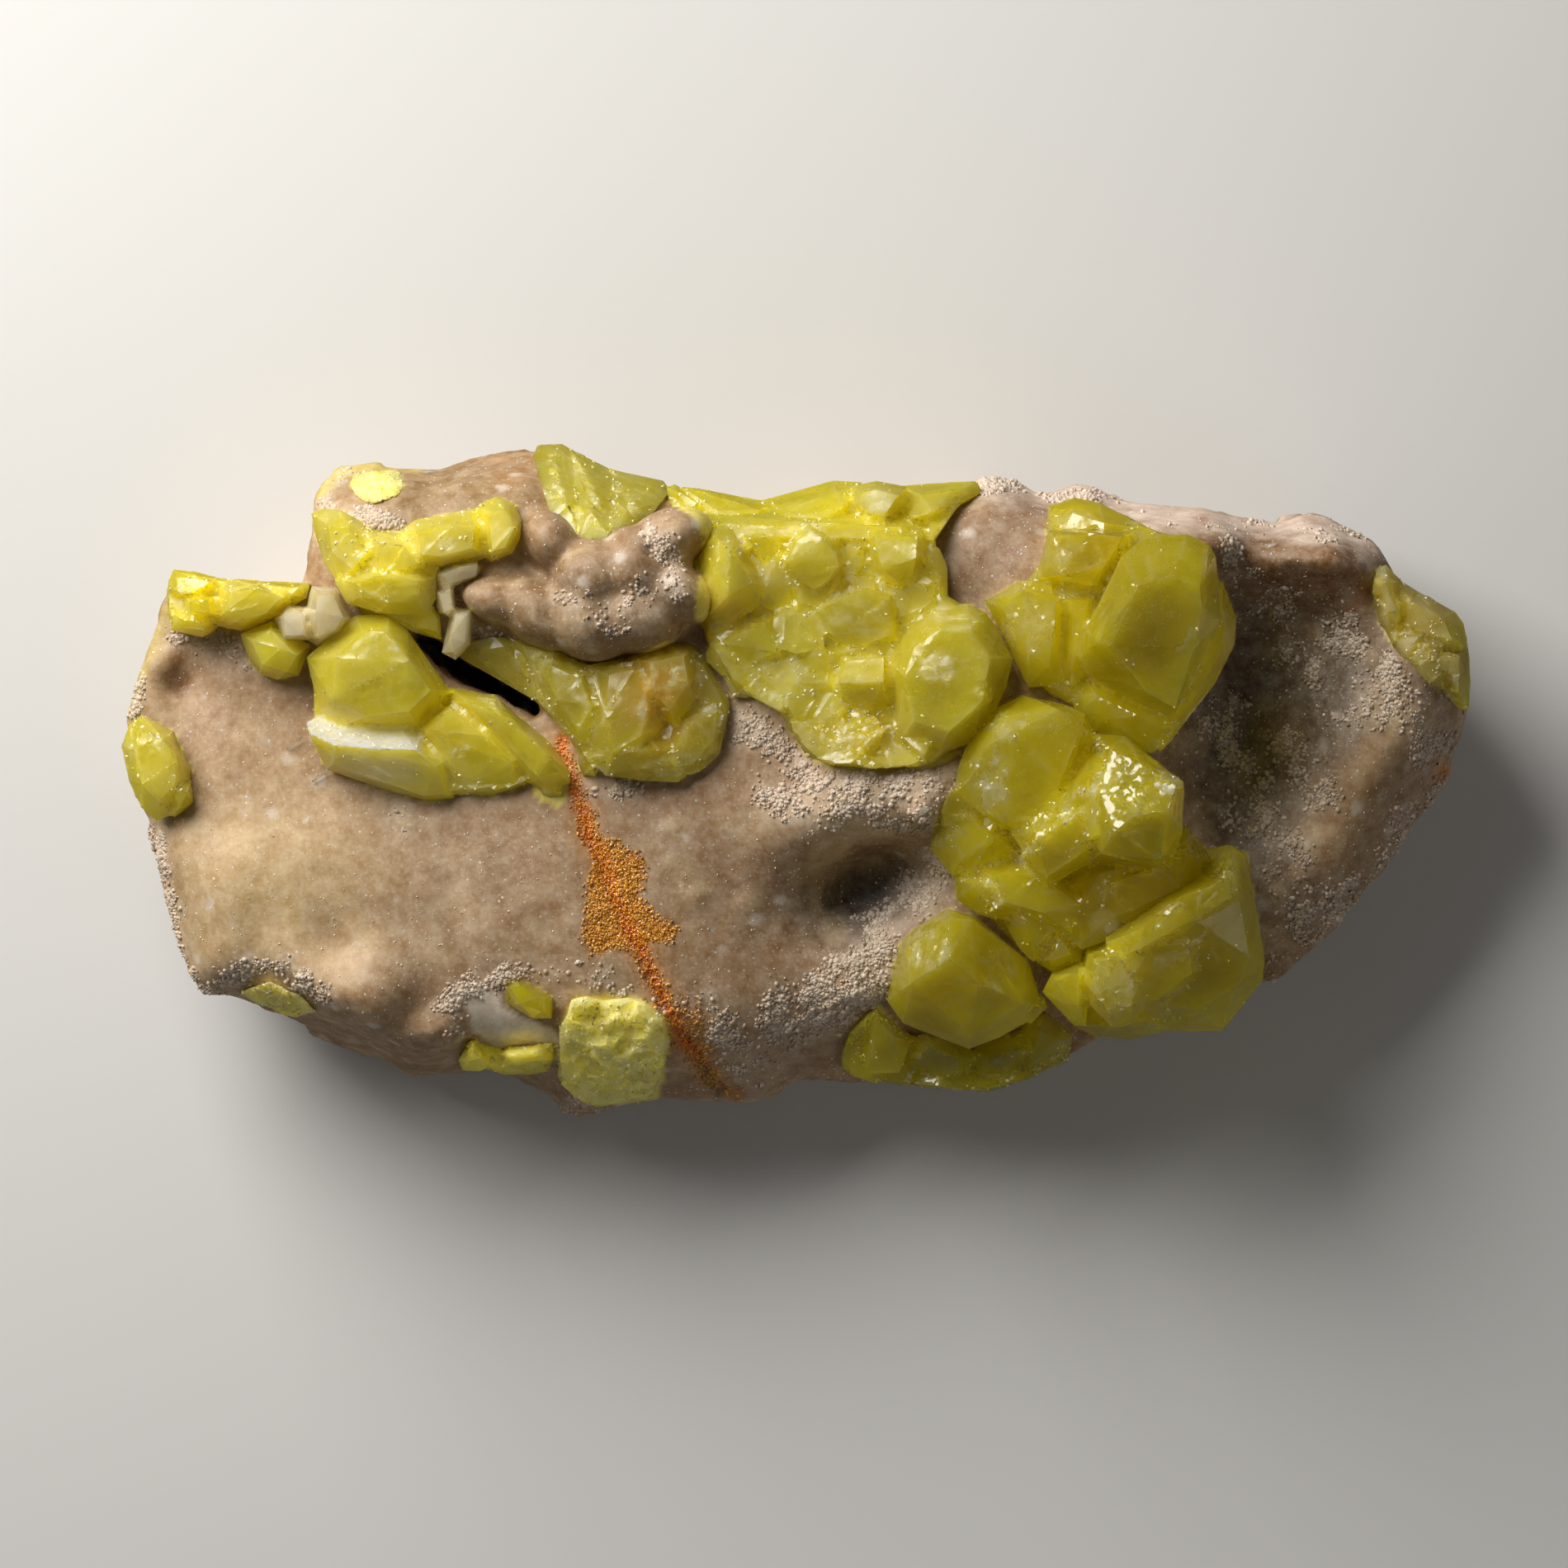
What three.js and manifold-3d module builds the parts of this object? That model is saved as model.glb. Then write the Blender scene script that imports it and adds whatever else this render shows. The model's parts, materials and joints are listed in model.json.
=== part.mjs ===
// Sulfur specimen: a loose slab of druse-coated rock with sulfur and calcite crystals on its front.
// Millimetres, +Z up. The slab lies on its back: +X runs along its length, +Y towards its upper edge,
// and the crystals face up. The origin is the middle of the bounding box on the underside.
import * as THREE from "three";
import { ConvexGeometry } from "three/addons/geometries/ConvexGeometry.js";
import { mergeVertices } from "three/addons/utils/BufferGeometryUtils.js";
import Module from "manifold-3d";

// Driving dimensions
const UNITS_PER_MM = 10; // outline units in one millimetre, at the reference height
const CENTRE_U = 950; // outline units of the middle of the layout, in both directions
const REFERENCE_Z = 30; // height at which the outline units hold
const EYE_DISTANCE = 800; // distance from which the outline was laid out
const CELL = 5.8; // spacing of the rock's front grid
const GAP = 0.3; // gap between touching pieces
const BASE_SCALE = 0.885; // size of the flat underside against the outline
const MID_SCALE = 0.982; // size of the rock a third of the way down its edge
const LOW_SCALE = 0.945; // and two thirds of the way down
const ROOT_SCALE = 0.8; // size of a crystal's root against its rim
const SHIFT = [-1.67, -0.51, 0]; // moves the model so that its origin is the middle of its box, at the bottom

// Outline of the rock as seen from the front, clockwise from its top left corner, then the height of its edge.
const OUTLINE = [
  [207,699,26],[358,712,27],[368,702,27],[373,680,27],[383,600,25],[390,586,24],[407,571,22],[452,564,20],[531,567,20],[570,554,20],
  [625,546,20],[681,548,19],[720,570,19],[763,585,19],[900,617,23],[969,610,23],[1011,590,21],[1086,596,21],[1217,577,20],[1257,598,20],
  [1322,587,18],[1347,603,18],[1414,614,18],[1453,614,18],[1547,633,18],[1587,622,17],[1665,654,19],[1695,705,20],[1761,746,20],[1771,760,20],
  [1778,824,19],[1770,895,18],[1758,938,18],[1712,999,20],[1700,1025,20],[1640,1100,20],[1552,1185,19],[1525,1190,18],[1474,1228,16],[1370,1244,16],
  [1294,1280,16],[1210,1312,16],[1163,1318,16],[990,1306,16],[962,1312,16],[905,1338,16],[801,1330,15],[725,1347,14],[688,1348,13],[664,1326,12],
  [628,1306,11],[592,1298,8],[498,1304,8],[463,1283,8],[377,1250,9],[347,1230,18],[285,1207,21],[244,1205,22],[220,1157,23],[198,1085,23],
  [182,997,23],[161,960,23],[152,905,23],[166,823,25],
];
// Heights of the rock's front surface inside that outline.
const RELIEF = [
  [240,790,25.5],[216,830,24.6],[190,850,27.5],[186,805,28],[262,830,27],[300,860,27.6],[210,1040,27],[245,1100,28.4],
  [330,1080,31],[420,1060,30.2],[520,1040,30.4],[600,1010,30.6],[650,1060,31],[680,1120,30.6],[600,1120,30.4],[500,1130,30],
  [400,1150,29.4],[300,1150,28.6],[270,1182,26.6],[350,1200,25.6],[400,1228,24.6],[450,1250,24],[495,1272,23.4],[540,1272,23.4],
  [500,1230,26.2],[560,1220,27.5],[620,1200,28.5],[640,1150,30],[350,960,28.8],[450,1000,29.5],[280,920,28.2],[260,1000,28.6],
  [420,820,28],[480,900,28.5],[560,930,29.5],[620,900,30],[560,830,29],[400,650,31],[450,680,33],[450,622,33],
  [520,640,34],[600,640,34.5],[560,590,31],[480,592,31],[422,604,30],[640,600,33],[610,580,30],[520,730,32],
  [580,700,34],[700,720,36],[780,700,36],[640,740,34],[830,680,34],[620,800,30],[700,830,31],[780,850,32],
  [850,870,33],[880,920,33.5],[690,585,27],[740,612,30],[790,604,27],[700,640,33],[860,630,28],[900,680,33],
  [900,760,33.5],[980,660,33],[980,760,33.5],[1060,625,29],[1060,680,32.5],[1100,720,33],[1060,800,33.5],[1000,860,33],
  [1100,870,33],[730,990,31.2],[760,1060,30.8],[820,980,32],[850,1040,31.6],[905,895,34],[920,960,34],[960,925,34],
  [900,1030,32],[1000,955,35.5],[1060,962,36],[1116,985,36.5],[1000,1000,35],[960,1020,33.5],[1050,1020,32],[1100,1030,29],
  [1050,1065,24.5],[1000,1080,26.5],[1120,1055,26],[1100,1080,27],[1110,1110,28.5],[1060,1120,27],[1040,1150,27],[1080,1170,27.5],
  [800,1120,30.2],[860,1130,29.6],[930,1110,28.8],[980,1130,27.4],[900,1190,28],[840,1200,28.5],[980,1200,27],[1010,1215,27.5],
  [1060,1200,27],[930,1260,24],[870,1260,25],[820,1240,26],[1000,1270,19],[950,1295,18],[880,1305,20],[1060,1260,19],
  [760,1180,29],[700,1190,28.5],[760,1240,25],[700,1270,22],[770,1300,18],[1180,620,30],[1200,680,33],[1160,700,33],
  [1250,640,32],[1300,660,33],[1200,800,33],[1300,780,33],[1350,740,32],[1400,800,28],[1400,640,33.5],[1480,650,33.5],
  [1560,668,32.5],[1620,665,32.5],[1650,690,31],[1480,700,28],[1560,720,25],[1620,730,26.5],[1500,760,20],[1530,800,17.5],
  [1500,860,18.5],[1460,840,22],[1560,860,20.5],[1600,800,22],[1650,800,25],[1690,780,27.5],[1730,760,28.5],[1740,820,28],
  [1700,850,27],[1640,900,27],[1660,950,27],[1600,960,25.5],[1560,940,22.5],[1480,940,21],[1530,1010,22.5],[1600,1020,26],
  [1640,1000,25.5],[1690,960,24],[1720,900,25.5],[1580,1080,24.5],[1540,1100,22],[1550,1150,18.5],[1480,1000,22],[1230,920,33],
  [1330,950,32],[1300,1050,29],[1400,1040,27],[1200,1050,30],[1180,1120,28],[1250,1130,26],[1350,1150,25],[1450,1130,23],
  [1450,1200,17],[1350,1220,16.5],[1150,1200,25],[1230,1210,20],[1100,1220,24],[1100,1280,15],[1200,1270,14]
];
// Lobes of the raised crust of fine druse: middle, then the three half widths in millimetres.
const LOBES = [
  [668,655,35,3.8,3.0,5.5],[722,698,35,5.4,4.8,7.6],[770,690,35,5.4,5.2,8.2],[812,655,34,3.8,5.6,7.2],
  [818,715,35,3.6,5.6,7.8],[772,745,35,5.8,4.6,7.6],[712,752,35,5.8,4.6,7.2],[652,742,34,5.8,3.8,6.2],[602,728,33,4.4,2.8,6.0]
];
// The open crevice: stations along it, with its two edges and the height of its floor.
const CREVICE = [
  [[478,752],[482,762],27],[[510,765],[510,784],20],[[540,783],[540,818],15],[[572,806],[566,832],13],
  [[606,822],[604,843],12],[[636,839],[634,862],12],[[657,856],[654,874],15],[[684,900],[679,904],28]
];
// Crusts that hold a group of crystals together: name, thickness over the rock, lowest height, outline.
const CRUSTS = [
  ["sulfur_tall_right_crystals",2.2,20,[[1215,745],[1240,712],[1262,690],[1268,652],[1276,616],[1305,606],[1345,618],[1400,645],[1460,668],[1474,720],[1478,790],[1440,850],[1415,890],[1370,892],[1310,858],[1262,832],[1240,800]]],
  ["sulfur_glittery_stack",2.0,16,[[1140,982],[1168,940],[1188,900],[1240,862],[1310,884],[1400,925],[1425,1000],[1455,1045],[1400,1100],[1340,1140],[1306,1160],[1262,1172],[1232,1146],[1200,1112],[1172,1086],[1160,1070],[1160,1046],[1136,1026]]],
  ["sulfur_lower_right_cluster",1.8,13,[[1316,1170],[1392,1130],[1452,1078],[1484,1052],[1506,1062],[1516,1150],[1500,1196],[1466,1222],[1400,1232],[1350,1236],[1302,1232],[1272,1204],[1282,1186]]],
  ["sulfur_main_band",2.8,16,[[812,606],[836,600],[870,612],[930,622],[985,606],[1020,594],[1090,600],[1150,594],[1180,590],[1150,618],[1128,650],[1136,690],[1134,728],[1180,742],[1206,770],[1218,800],[1208,846],[1178,888],[1140,906],[1130,924],[1060,932],[1006,928],[978,906],[960,876],[934,856],[892,838],[878,812],[862,786],[852,748],[850,690],[856,650],[838,628]]],
  ["sulfur_cluster_below_ridge",2.6,18,[[640,794],[672,792],[712,812],[762,803],[806,784],[842,790],[856,800],[870,826],[884,850],[880,880],[872,912],[852,930],[820,941],[776,940],[736,934],[712,932],[700,906],[670,866],[654,826]]],
  ["sulfur_centre_left_cluster",1.8,20,[[380,800],[424,766],[440,752],[470,752],[500,780],[526,818],[548,838],[598,848],[648,892],[680,930],[682,944],[640,945],[600,958],[552,960],[500,958],[440,940],[398,922],[382,884],[388,856]]],
  ["sulfur_upper_left_cluster",1.6,22,[[386,624],[412,624],[440,642],[480,650],[506,636],[560,626],[580,612],[602,607],[624,618],[626,648],[614,668],[588,674],[536,684],[524,700],[522,738],[488,738],[430,728],[410,700],[392,670]]],
  ["sulfur_top_left_ledge",2.2,24,[[208,696],[232,696],[262,702],[310,706],[356,709],[348,728],[334,744],[292,760],[270,757],[252,762],[240,768],[212,762],[204,744],[203,716]]],
  ["sulfur_right_edge_patch",1.3,17,[[1672,682],[1697,706],[1738,731],[1764,746],[1774,784],[1779,824],[1774,866],[1755,843],[1731,829],[1700,796],[1672,752],[1662,716]]],
  ["sulfur_lower_edge_crust",1.6,12,[[1030,1250],[1062,1222],[1090,1250],[1146,1268],[1174,1280],[1212,1266],[1250,1246],[1272,1240],[1290,1256],[1296,1280],[1260,1297],[1225,1312],[1194,1322],[1163,1321],[1122,1316],[1064,1312],[1020,1296]]],
  ["sulfur_bottom_patch",1.6,11,[[678,1246],[692,1212],[712,1207],[773,1211],[806,1232],[812,1262],[798,1294],[794,1326],[752,1336],[724,1342],[700,1330],[676,1306]]],
  ["sulfur_bottom_edge_strip",1.4,12,[[560,1280],[571,1260],[588,1266],[608,1272],[648,1268],[670,1262],[672,1282],[664,1298],[628,1302],[592,1294],[566,1294]]],
  ["sulfur_lower_left_patch",1.1,15,[[289,1204],[306,1196],[327,1190],[352,1202],[374,1216],[386,1226],[362,1232],[347,1228],[311,1216]]],
  ["sulfur_top_left_patch",0.9,18,[[424,590],[430,574],[455,571],[488,575],[491,590],[470,605],[442,608]]]
];
// Crystals: name, group, height of the rim, depth of the root, rim (with its own height where given), then the corners of the upper faces.
const CRYSTALS = [
  ["s2","sulfur_tall_right_crystals",38,24,[[1384,654,43],[1404,648,43],[1439,648,43],[1465,660,43],[1473,674,42],[1476,703,42],[1479,752,40],[1459,786,40],[1445,813,39],[1422,870,38],[1390,854,38],[1363,844,38],[1335,829,38],[1314,815,38],[1306,795,39],[1314,764,41],[1331,733,43],[1355,695,43.6],[1359,674,43]],[[1380,712,49.6],[1398,703,50],[1421,701,50],[1454,712,49.4],[1457,735,49],[1446,786,46.4],[1424,858,42],[1388,838,43],[1345,784,46],[1330,779,45.4]]],
  ["s1","sulfur_tall_right_crystals",36,26,[[1271,642],[1326,638],[1373,644],[1349,689],[1329,714],[1282,703],[1254,700],[1263,678]],[[1322,646,42.5],[1360,650,42],[1338,686,41.4],[1322,706,39.4],[1286,697,40.6],[1276,650,38.4]]],
  ["pale_mass","sulfur_tall_right_crystals",31,24,[[1271,613],[1302,603],[1333,609],[1361,629],[1394,642],[1330,655],[1266,650]],[[1300,622,35],[1338,634,37],[1288,640,35.4]],[0,20,0.7]],
  ["r1","sulfur_tall_right_crystals",35,26,[[1193,728],[1234,704],[1291,720],[1295,751],[1281,792],[1285,831],[1246,833],[1230,798],[1209,757]],[[1214,736,38.6],[1240,716,39.6],[1280,730,40],[1276,770,40],[1272,806,38.6],[1248,794,38.6]]],
  ["r2","sulfur_tall_right_crystals",35,26,[[1281,722],[1330,716],[1331,733],[1314,764],[1306,795],[1314,815],[1296,838],[1281,820],[1280,770]],[[1300,730,39],[1316,734,39.4],[1300,780,38.4],[1298,812,37.4]]],
  ["s3","sulfur_tall_right_crystals",35,24,[[1470,700],[1482,706],[1498,750],[1496,782],[1472,829],[1440,866],[1420,895],[1406,914],[1398,884],[1432,800]],[[1482,740,38],[1482,786,37.4],[1450,836,36],[1416,888,35]],[-30,0,0.6]],
  ["s4","sulfur_tall_right_crystals",34,24,[[1297,840],[1314,818],[1363,844],[1422,870],[1436,868],[1420,898],[1395,913],[1363,898],[1325,890],[1304,866]],[[1330,844,37.4],[1376,866,37.4],[1410,884,36.4],[1340,872,36]]],
  ["t2b","sulfur_glittery_stack",38,24,[[1329,889],[1363,892],[1387,913],[1435,949,45],[1433,1009,42],[1418,1054,40],[1370,1048],[1323,1044],[1308,1000],[1318,940]],[[1345,908,45.4],[1384,926,47.4],[1424,954,48.4],[1415,984,49],[1381,984,49.4],[1352,1006,48.4],[1332,960,46.6],[1406,1042,44.6],[1334,1034,44]]],
  ["t1","sulfur_glittery_stack",37,26,[[1184,885],[1208,858],[1239,842],[1260,847],[1291,854],[1315,865],[1329,896],[1304,960],[1270,1012],[1232,1008],[1208,1001],[1158,960],[1160,934],[1170,906]],[[1229,886,45],[1284,860,44.4],[1312,878,44.6],[1284,950,43.4],[1266,992,40.6],[1218,996,39.4],[1194,906,42],[1176,944,39.4],[1214,868,42.4]]],
  ["t2a","sulfur_glittery_stack",37,24,[[1236,1037],[1250,1010],[1300,975],[1332,958],[1326,1010],[1324,1044],[1267,1075]],[[1256,1020,42.4],[1308,986,45],[1318,1026,43],[1270,1062,40.4]]],
  ["t3","sulfur_glittery_stack",33,20,[[1280,1082],[1322,1040],[1411,1050],[1439,1002],[1470,1040],[1440,1090],[1370,1130],[1310,1151],[1285,1120]],[[1330,1060,37.6],[1400,1064,38],[1438,1026,37.6],[1360,1112,34.6],[1306,1110,35.4]]],
  ["tl","sulfur_glittery_stack",32,24,[[1137,976],[1160,962],[1200,998],[1234,1012],[1237,1037],[1205,1052],[1175,1063],[1152,1060],[1152,1040],[1127,1028],[1129,1000]],[[1162,984,36],[1206,1014,37],[1166,1042,34.6],[1142,1000,34.6]]],
  ["tm","sulfur_glittery_stack",31,22,[[1157,1066],[1195,1056],[1240,1066],[1238,1095],[1206,1114],[1183,1106],[1159,1090]],[[1180,1072,34.6],[1216,1076,35],[1200,1100,33]]],
  ["tn","sulfur_glittery_stack",30,20,[[1216,1118],[1238,1092],[1275,1080],[1297,1115],[1277,1150],[1252,1166],[1235,1150]],[[1240,1106,34.4],[1270,1098,35],[1278,1124,34],[1252,1150,32]]],
  ["to","sulfur_glittery_stack",29,20,[[1285,1122],[1313,1149],[1309,1166],[1274,1178],[1254,1164],[1270,1138]],[[1286,1138,32.6],[1298,1156,32],[1272,1164,31.4]]],
  ["u1","sulfur_lower_right_cluster",31,12,[[1490,1023,35],[1511,1035,35],[1521,1095,34],[1533,1164,33],[1530,1188,30],[1482,1249,26],[1442,1250,26],[1416,1249,26],[1372,1222],[1385,1150],[1450,1105],[1480,1060]],[[1492,1048,40],[1502,1092,39.6],[1514,1160,36.6],[1498,1196,34.6],[1450,1226,33.6],[1400,1212,35.4],[1402,1152,39.4],[1452,1118,40.6]],[-60,-50,0.45]],
  ["u2","sulfur_lower_right_cluster",36,20,[[1340,1142],[1366,1126],[1422,1085],[1463,1061],[1494,1058],[1501,1089],[1450,1119],[1384,1160],[1344,1164]],[[1386,1124,41.4],[1425,1094,42.4],[1456,1078,42.6],[1488,1064,42.2],[1492,1084,41.6],[1448,1112,42],[1382,1150,41]],[-20,-30,0.7]],
  ["u3","sulfur_lower_right_cluster",34,14,[[1318,1157],[1350,1145],[1384,1182],[1390,1215],[1373,1240],[1349,1247],[1322,1219],[1312,1190]],[[1334,1168,39.6],[1356,1160,40.6],[1374,1190,40],[1370,1218,38.6],[1346,1228,37.4],[1328,1206,38.6]],[-10,-50,0.5]],
  ["u4","sulfur_lower_right_cluster",31,14,[[1263,1202],[1273,1182],[1308,1168],[1320,1190],[1316,1243],[1301,1243],[1287,1226]],[[1280,1190,35],[1306,1178,36.4],[1308,1220,34.6],[1292,1216,34]],[10,-40,0.5]],
  ["u5","sulfur_lower_right_cluster",26,12,[[1320,1216],[1349,1240],[1416,1236],[1425,1247,24],[1370,1259,24],[1329,1257,24],[1301,1243,24]],[[1350,1242,31],[1390,1238,31.4]],[0,-60,0.5]],
  ["v1","sulfur_lower_crystal",27,16,[[1148,1101,31],[1180,1109,31],[1215,1140,30],[1246,1164,29],[1263,1219],[1246,1237],[1211,1257],[1174,1271],[1146,1257],[1094,1240],[1075,1213],[1086,1147],[1105,1126,29]],[[1150,1162,40],[1149,1112,36.6],[1178,1114,36],[1186,1192,38],[1240,1216,32.6],[1104,1192,36.4],[1098,1150,34],[1176,1256,31.6]],[0,-30,0.6]],
  ["v2","sulfur_lower_crystal",26,16,[[1244,1212],[1266,1210],[1268,1222],[1250,1240],[1236,1238]],[[1254,1219,30],[1246,1228,29.4]],[-10,-20,0.6]],
  ["q1","sulfur_main_band",36,26,[[1072,798],[1099,755],[1136,737],[1172,731],[1193,741],[1213,767],[1228,798],[1219,833],[1201,873],[1181,898],[1138,915],[1111,910],[1085,906],[1081,873],[1079,816]],[[1108,784,42.4],[1140,762,43.6],[1176,762,43.8],[1200,798,43.8],[1190,850,43],[1150,886,41.6],[1108,874,41.4],[1096,820,42.6]]],
  ["m1","sulfur_main_band",35,26,[[980,631],[1002,646],[1018,664],[1024,686],[1008,711],[988,723],[967,715],[947,693],[945,674],[961,646]],[[982,643,40],[1001,655,41],[1013,672,41],[1016,686,40.6],[1002,704,39.4],[986,714,38.6],[966,702,39],[954,682,39.8],[966,656,40]]],
  ["k1","sulfur_main_band",35,26,[[861,642],[873,635],[888,638],[896,662],[922,691],[935,711],[933,727],[914,746],[882,764],[861,766],[841,750],[840,742],[843,711],[849,682],[849,658]],[[886,668,42.4],[867,690,41],[882,723,41.6],[912,706,40.4],[905,732,38.6],[862,744,38.4],[868,652,39]]],
  ["tz","sulfur_main_band",35,26,[[1018,797],[1073,791],[1080,830],[1079,862],[1050,872],[1020,862],[1011,830]],[[1024,801,37.4],[1071,797,38],[1070,826,40],[1018,828,39.4],[1070,858,36],[1030,860,35.8]]],
  ["y1","sulfur_main_band",34.6,26,[[1047,640],[1120,642],[1126,670],[1100,726],[1075,721],[1051,682]],[[1058,650,38],[1112,650,39],[1110,676,39.4],[1088,706,37.6],[1070,690,38.4]]],
  ["hx","sulfur_main_band",30,24,[[1033,590],[1062,583],[1100,590],[1096,615],[1076,636],[1048,634],[1033,612]],[[1044,598,34.6],[1061,594,34.4],[1088,600,34.8],[1071,626,36],[1053,623,36],[1040,609,35.4]],[0,20,0.8]],
  ["sl","sulfur_main_band",35,26,[[986,728],[1045,707],[1082,717],[1096,748],[1088,786],[1035,797],[1012,782],[971,756]],[[998,736,38],[1045,715,39],[1076,728,39.4],[1082,768,38],[1036,786,36.6],[1008,768,37.2]]],
  ["tri","sulfur_main_band",34.6,26,[[894,640],[922,638],[954,655],[948,690],[930,702],[902,668]],[[903,650,37],[922,648,37.4],[944,660,37],[931,684,36.4]]],
  ["o1","sulfur_main_band",34.6,26,[[1112,668],[1137,664],[1148,690],[1148,735],[1120,742],[1100,718]],[[1128,676,37],[1138,700,37],[1128,728,36]]],
  ["gap1","sulfur_main_band",34.2,26,[[1012,634],[1050,640],[1060,690],[1044,712],[1014,706],[1020,660]],[[1034,650,36],[1046,680,36],[1030,700,36]]],
  ["n1","sulfur_main_band",25,20,[[808,590],[818,587],[861,612],[850,622],[830,624],[810,608]],[[822,596,29],[848,612,30],[832,616,30]],[0,25,0.7]],
  ["n2","sulfur_main_band",26,20,[[828,590],[847,592],[876,606],[900,609],[938,609],[936,640],[900,650],[864,642],[838,626]],[[868,618,31],[920,618,31],[916,636,33],[870,632,32]],[0,25,0.7]],
  ["n3","sulfur_main_band",26,20,[[905,611],[933,609],[953,606],[980,593],[1005,593],[1011,582],[1044,584],[1042,612],[1002,642],[960,642],[922,640]],[[976,608,31],[1014,596,30],[1022,614,33],[990,630,34],[946,628,33]],[0,30,0.7]],
  ["n4","sulfur_main_band",26,20,[[1090,589],[1120,586],[1157,584],[1184,583],[1190,596],[1155,615],[1128,646],[1090,634]],[[1116,600,31],[1156,594,29.4],[1130,620,34],[1104,628,34]],[0,30,0.7]],
  ["o2","sulfur_main_band",34.6,26,[[855,791],[867,766],[902,756],[926,740],[951,744],[953,805],[920,803],[875,819],[857,803]],[[878,780,37],[926,753,38],[942,790,37.4],[905,794,36.6]]],
  ["o3","sulfur_main_band",34.2,26,[[875,819],[914,801],[949,807],[935,831],[904,846],[888,844]],[[900,818,35.6],[932,816,35.8],[904,836,34.8]]],
  ["o4","sulfur_main_band",34.6,26,[[949,744],[988,758],[1014,785],[1018,830],[992,847],[950,842],[938,808]],[[966,766,36.8],[1000,792,37.2],[1002,826,36.4],[960,828,36]]],
  ["b1","sulfur_main_band",34.2,26,[[938,852],[990,845],[1012,880],[1003,932],[976,914],[956,882]],[[968,866,35.4],[996,880,36],[990,908,35]]],
  ["b2","sulfur_main_band",34.2,26,[[998,862],[1046,866],[1062,900],[1044,938],[1002,932],[993,900]],[[1014,876,36.4],[1042,882,36.6],[1036,922,35],[1010,914,35.4]]],
  ["b3","sulfur_main_band",34.2,26,[[1044,866],[1086,870],[1100,910],[1080,934],[1042,938],[1050,900]],[[1064,880,36],[1084,896,36],[1072,922,34.6]]],
  ["b4","sulfur_main_band",33.4,26,[[1084,904],[1111,910],[1140,912],[1174,906],[1152,925],[1112,935],[1086,930]],[[1108,916,34],[1140,916,34]]],
  ["d3","sulfur_cluster_below_ridge",34,26,[[761,797],[806,775],[838,780],[848,790],[856,815],[846,856],[820,884],[785,856]],[[790,802,38.6],[828,794,38.8],[834,828,39],[812,860,38],[786,836,38.4]]],
  ["d2","sulfur_cluster_below_ridge",34,26,[[712,806],[761,797],[800,820],[804,880],[772,920],[735,938],[713,900],[720,850]],[[738,818,37],[768,812,38],[786,852,38.2],[776,892,37.4],[742,912,36.4],[734,868,37.4]]],
  ["d1","sulfur_cluster_below_ridge",33,24,[[640,790],[672,786],[712,806],[737,850],[724,902],[700,900],[664,863],[650,822]],[[668,806,35.6],[704,824,36.4],[716,856,36.6],[702,884,35.4],[676,848,36]]],
  ["d4","sulfur_cluster_below_ridge",34,26,[[818,872],[846,856],[866,848],[880,850],[880,880],[872,914],[852,932],[821,943],[800,920]],[[842,874,37],[868,864,36.6],[866,896,36.4],[840,924,35.4],[816,912,36]]],
  ["d5","sulfur_cluster_below_ridge",34,26,[[730,898],[780,888],[830,900],[836,938],[821,948],[777,946],[733,940],[716,918]],[[752,912,36.4],[800,908,36.8],[816,928,35.8],[770,932,35.4]]],
  ["d6","sulfur_cluster_below_ridge",31,26,[[700,904],[714,908],[727,926],[722,942],[706,940],[700,924]],[[710,914,34],[718,930,34]]],
  ["d0","sulfur_cluster_below_ridge",28,20,[[566,792],[603,780],[640,786],[662,800],[652,838],[630,832]],[[600,792,31],[636,798,33],[640,820,32]]],
  ["a1","sulfur_centre_left_cluster",32,24,[[371,797],[395,778],[419,761],[431,745],[471,745],[495,765],[516,797],[544,837],[532,853],[504,878],[459,880],[411,882],[387,861]],[[408,796,37.4],[440,764,37.6],[470,766,38.2],[496,800,38.6],[522,836,37],[496,862,36.4],[444,868,36],[404,848,36.6]]],
  ["tab","sulfur_centre_left_cluster",31,22,[[371,876,31.5],[385,868,30.5],[411,878,31],[483,876,31],[509,892,32],[536,924,33],[554,969,29],[516,972,29],[463,956,29.5],[395,932,30]],[[375,890,34.6],[407,904,36],[439,906,36.4],[504,909,36.8],[528,930,35.4],[540,962,32.4],[512,964,32.2],[464,948,32.8],[404,926,33.4]]],
  ["d8","sulfur_centre_left_cluster",31,24,[[546,833],[570,839],[599,841],[615,859],[633,873],[660,894],[676,912],[691,935],[691,949],[664,961],[640,949],[629,916],[601,892],[570,869],[546,851]],[[566,850,36.6],[602,862,37.4],[640,892,37.6],[668,918,37],[680,940,34.6],[652,942,35],[612,888,36.4]]],
  ["dg","sulfur_centre_left_cluster",30,24,[[499,882],[544,851],[570,868],[603,892],[630,914],[640,953],[591,967],[556,961],[521,896]],[[520,884,35],[546,860,35.6],[588,892,35.4],[620,924,34.4],[622,948,32.6],[564,950,32.4]]],
  ["bit1","sulfur_centre_left_cluster",28,25,[[640,950],[690,945],[692,962],[680,980],[652,972]],[[660,960,32],[680,962,31.6]]],
  ["c_round","sulfur_upper_left_cluster",35,28,[[586,632],[576,614],[601,601],[623,610],[632,630],[632,650],[621,671],[595,681],[586,675]],[[594,620,39.4],[612,616,40],[624,638,40.4],[612,664,39.6],[596,668,39.4]]],
  ["ul_c","sulfur_upper_left_cluster",35,28,[[482,646],[503,630],[544,622],[572,616],[588,632],[588,673],[535,685],[505,686]],[[506,644,39],[548,636,40],[574,640,40],[572,664,39.6],[532,674,39.4],[510,672,39]]],
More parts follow.
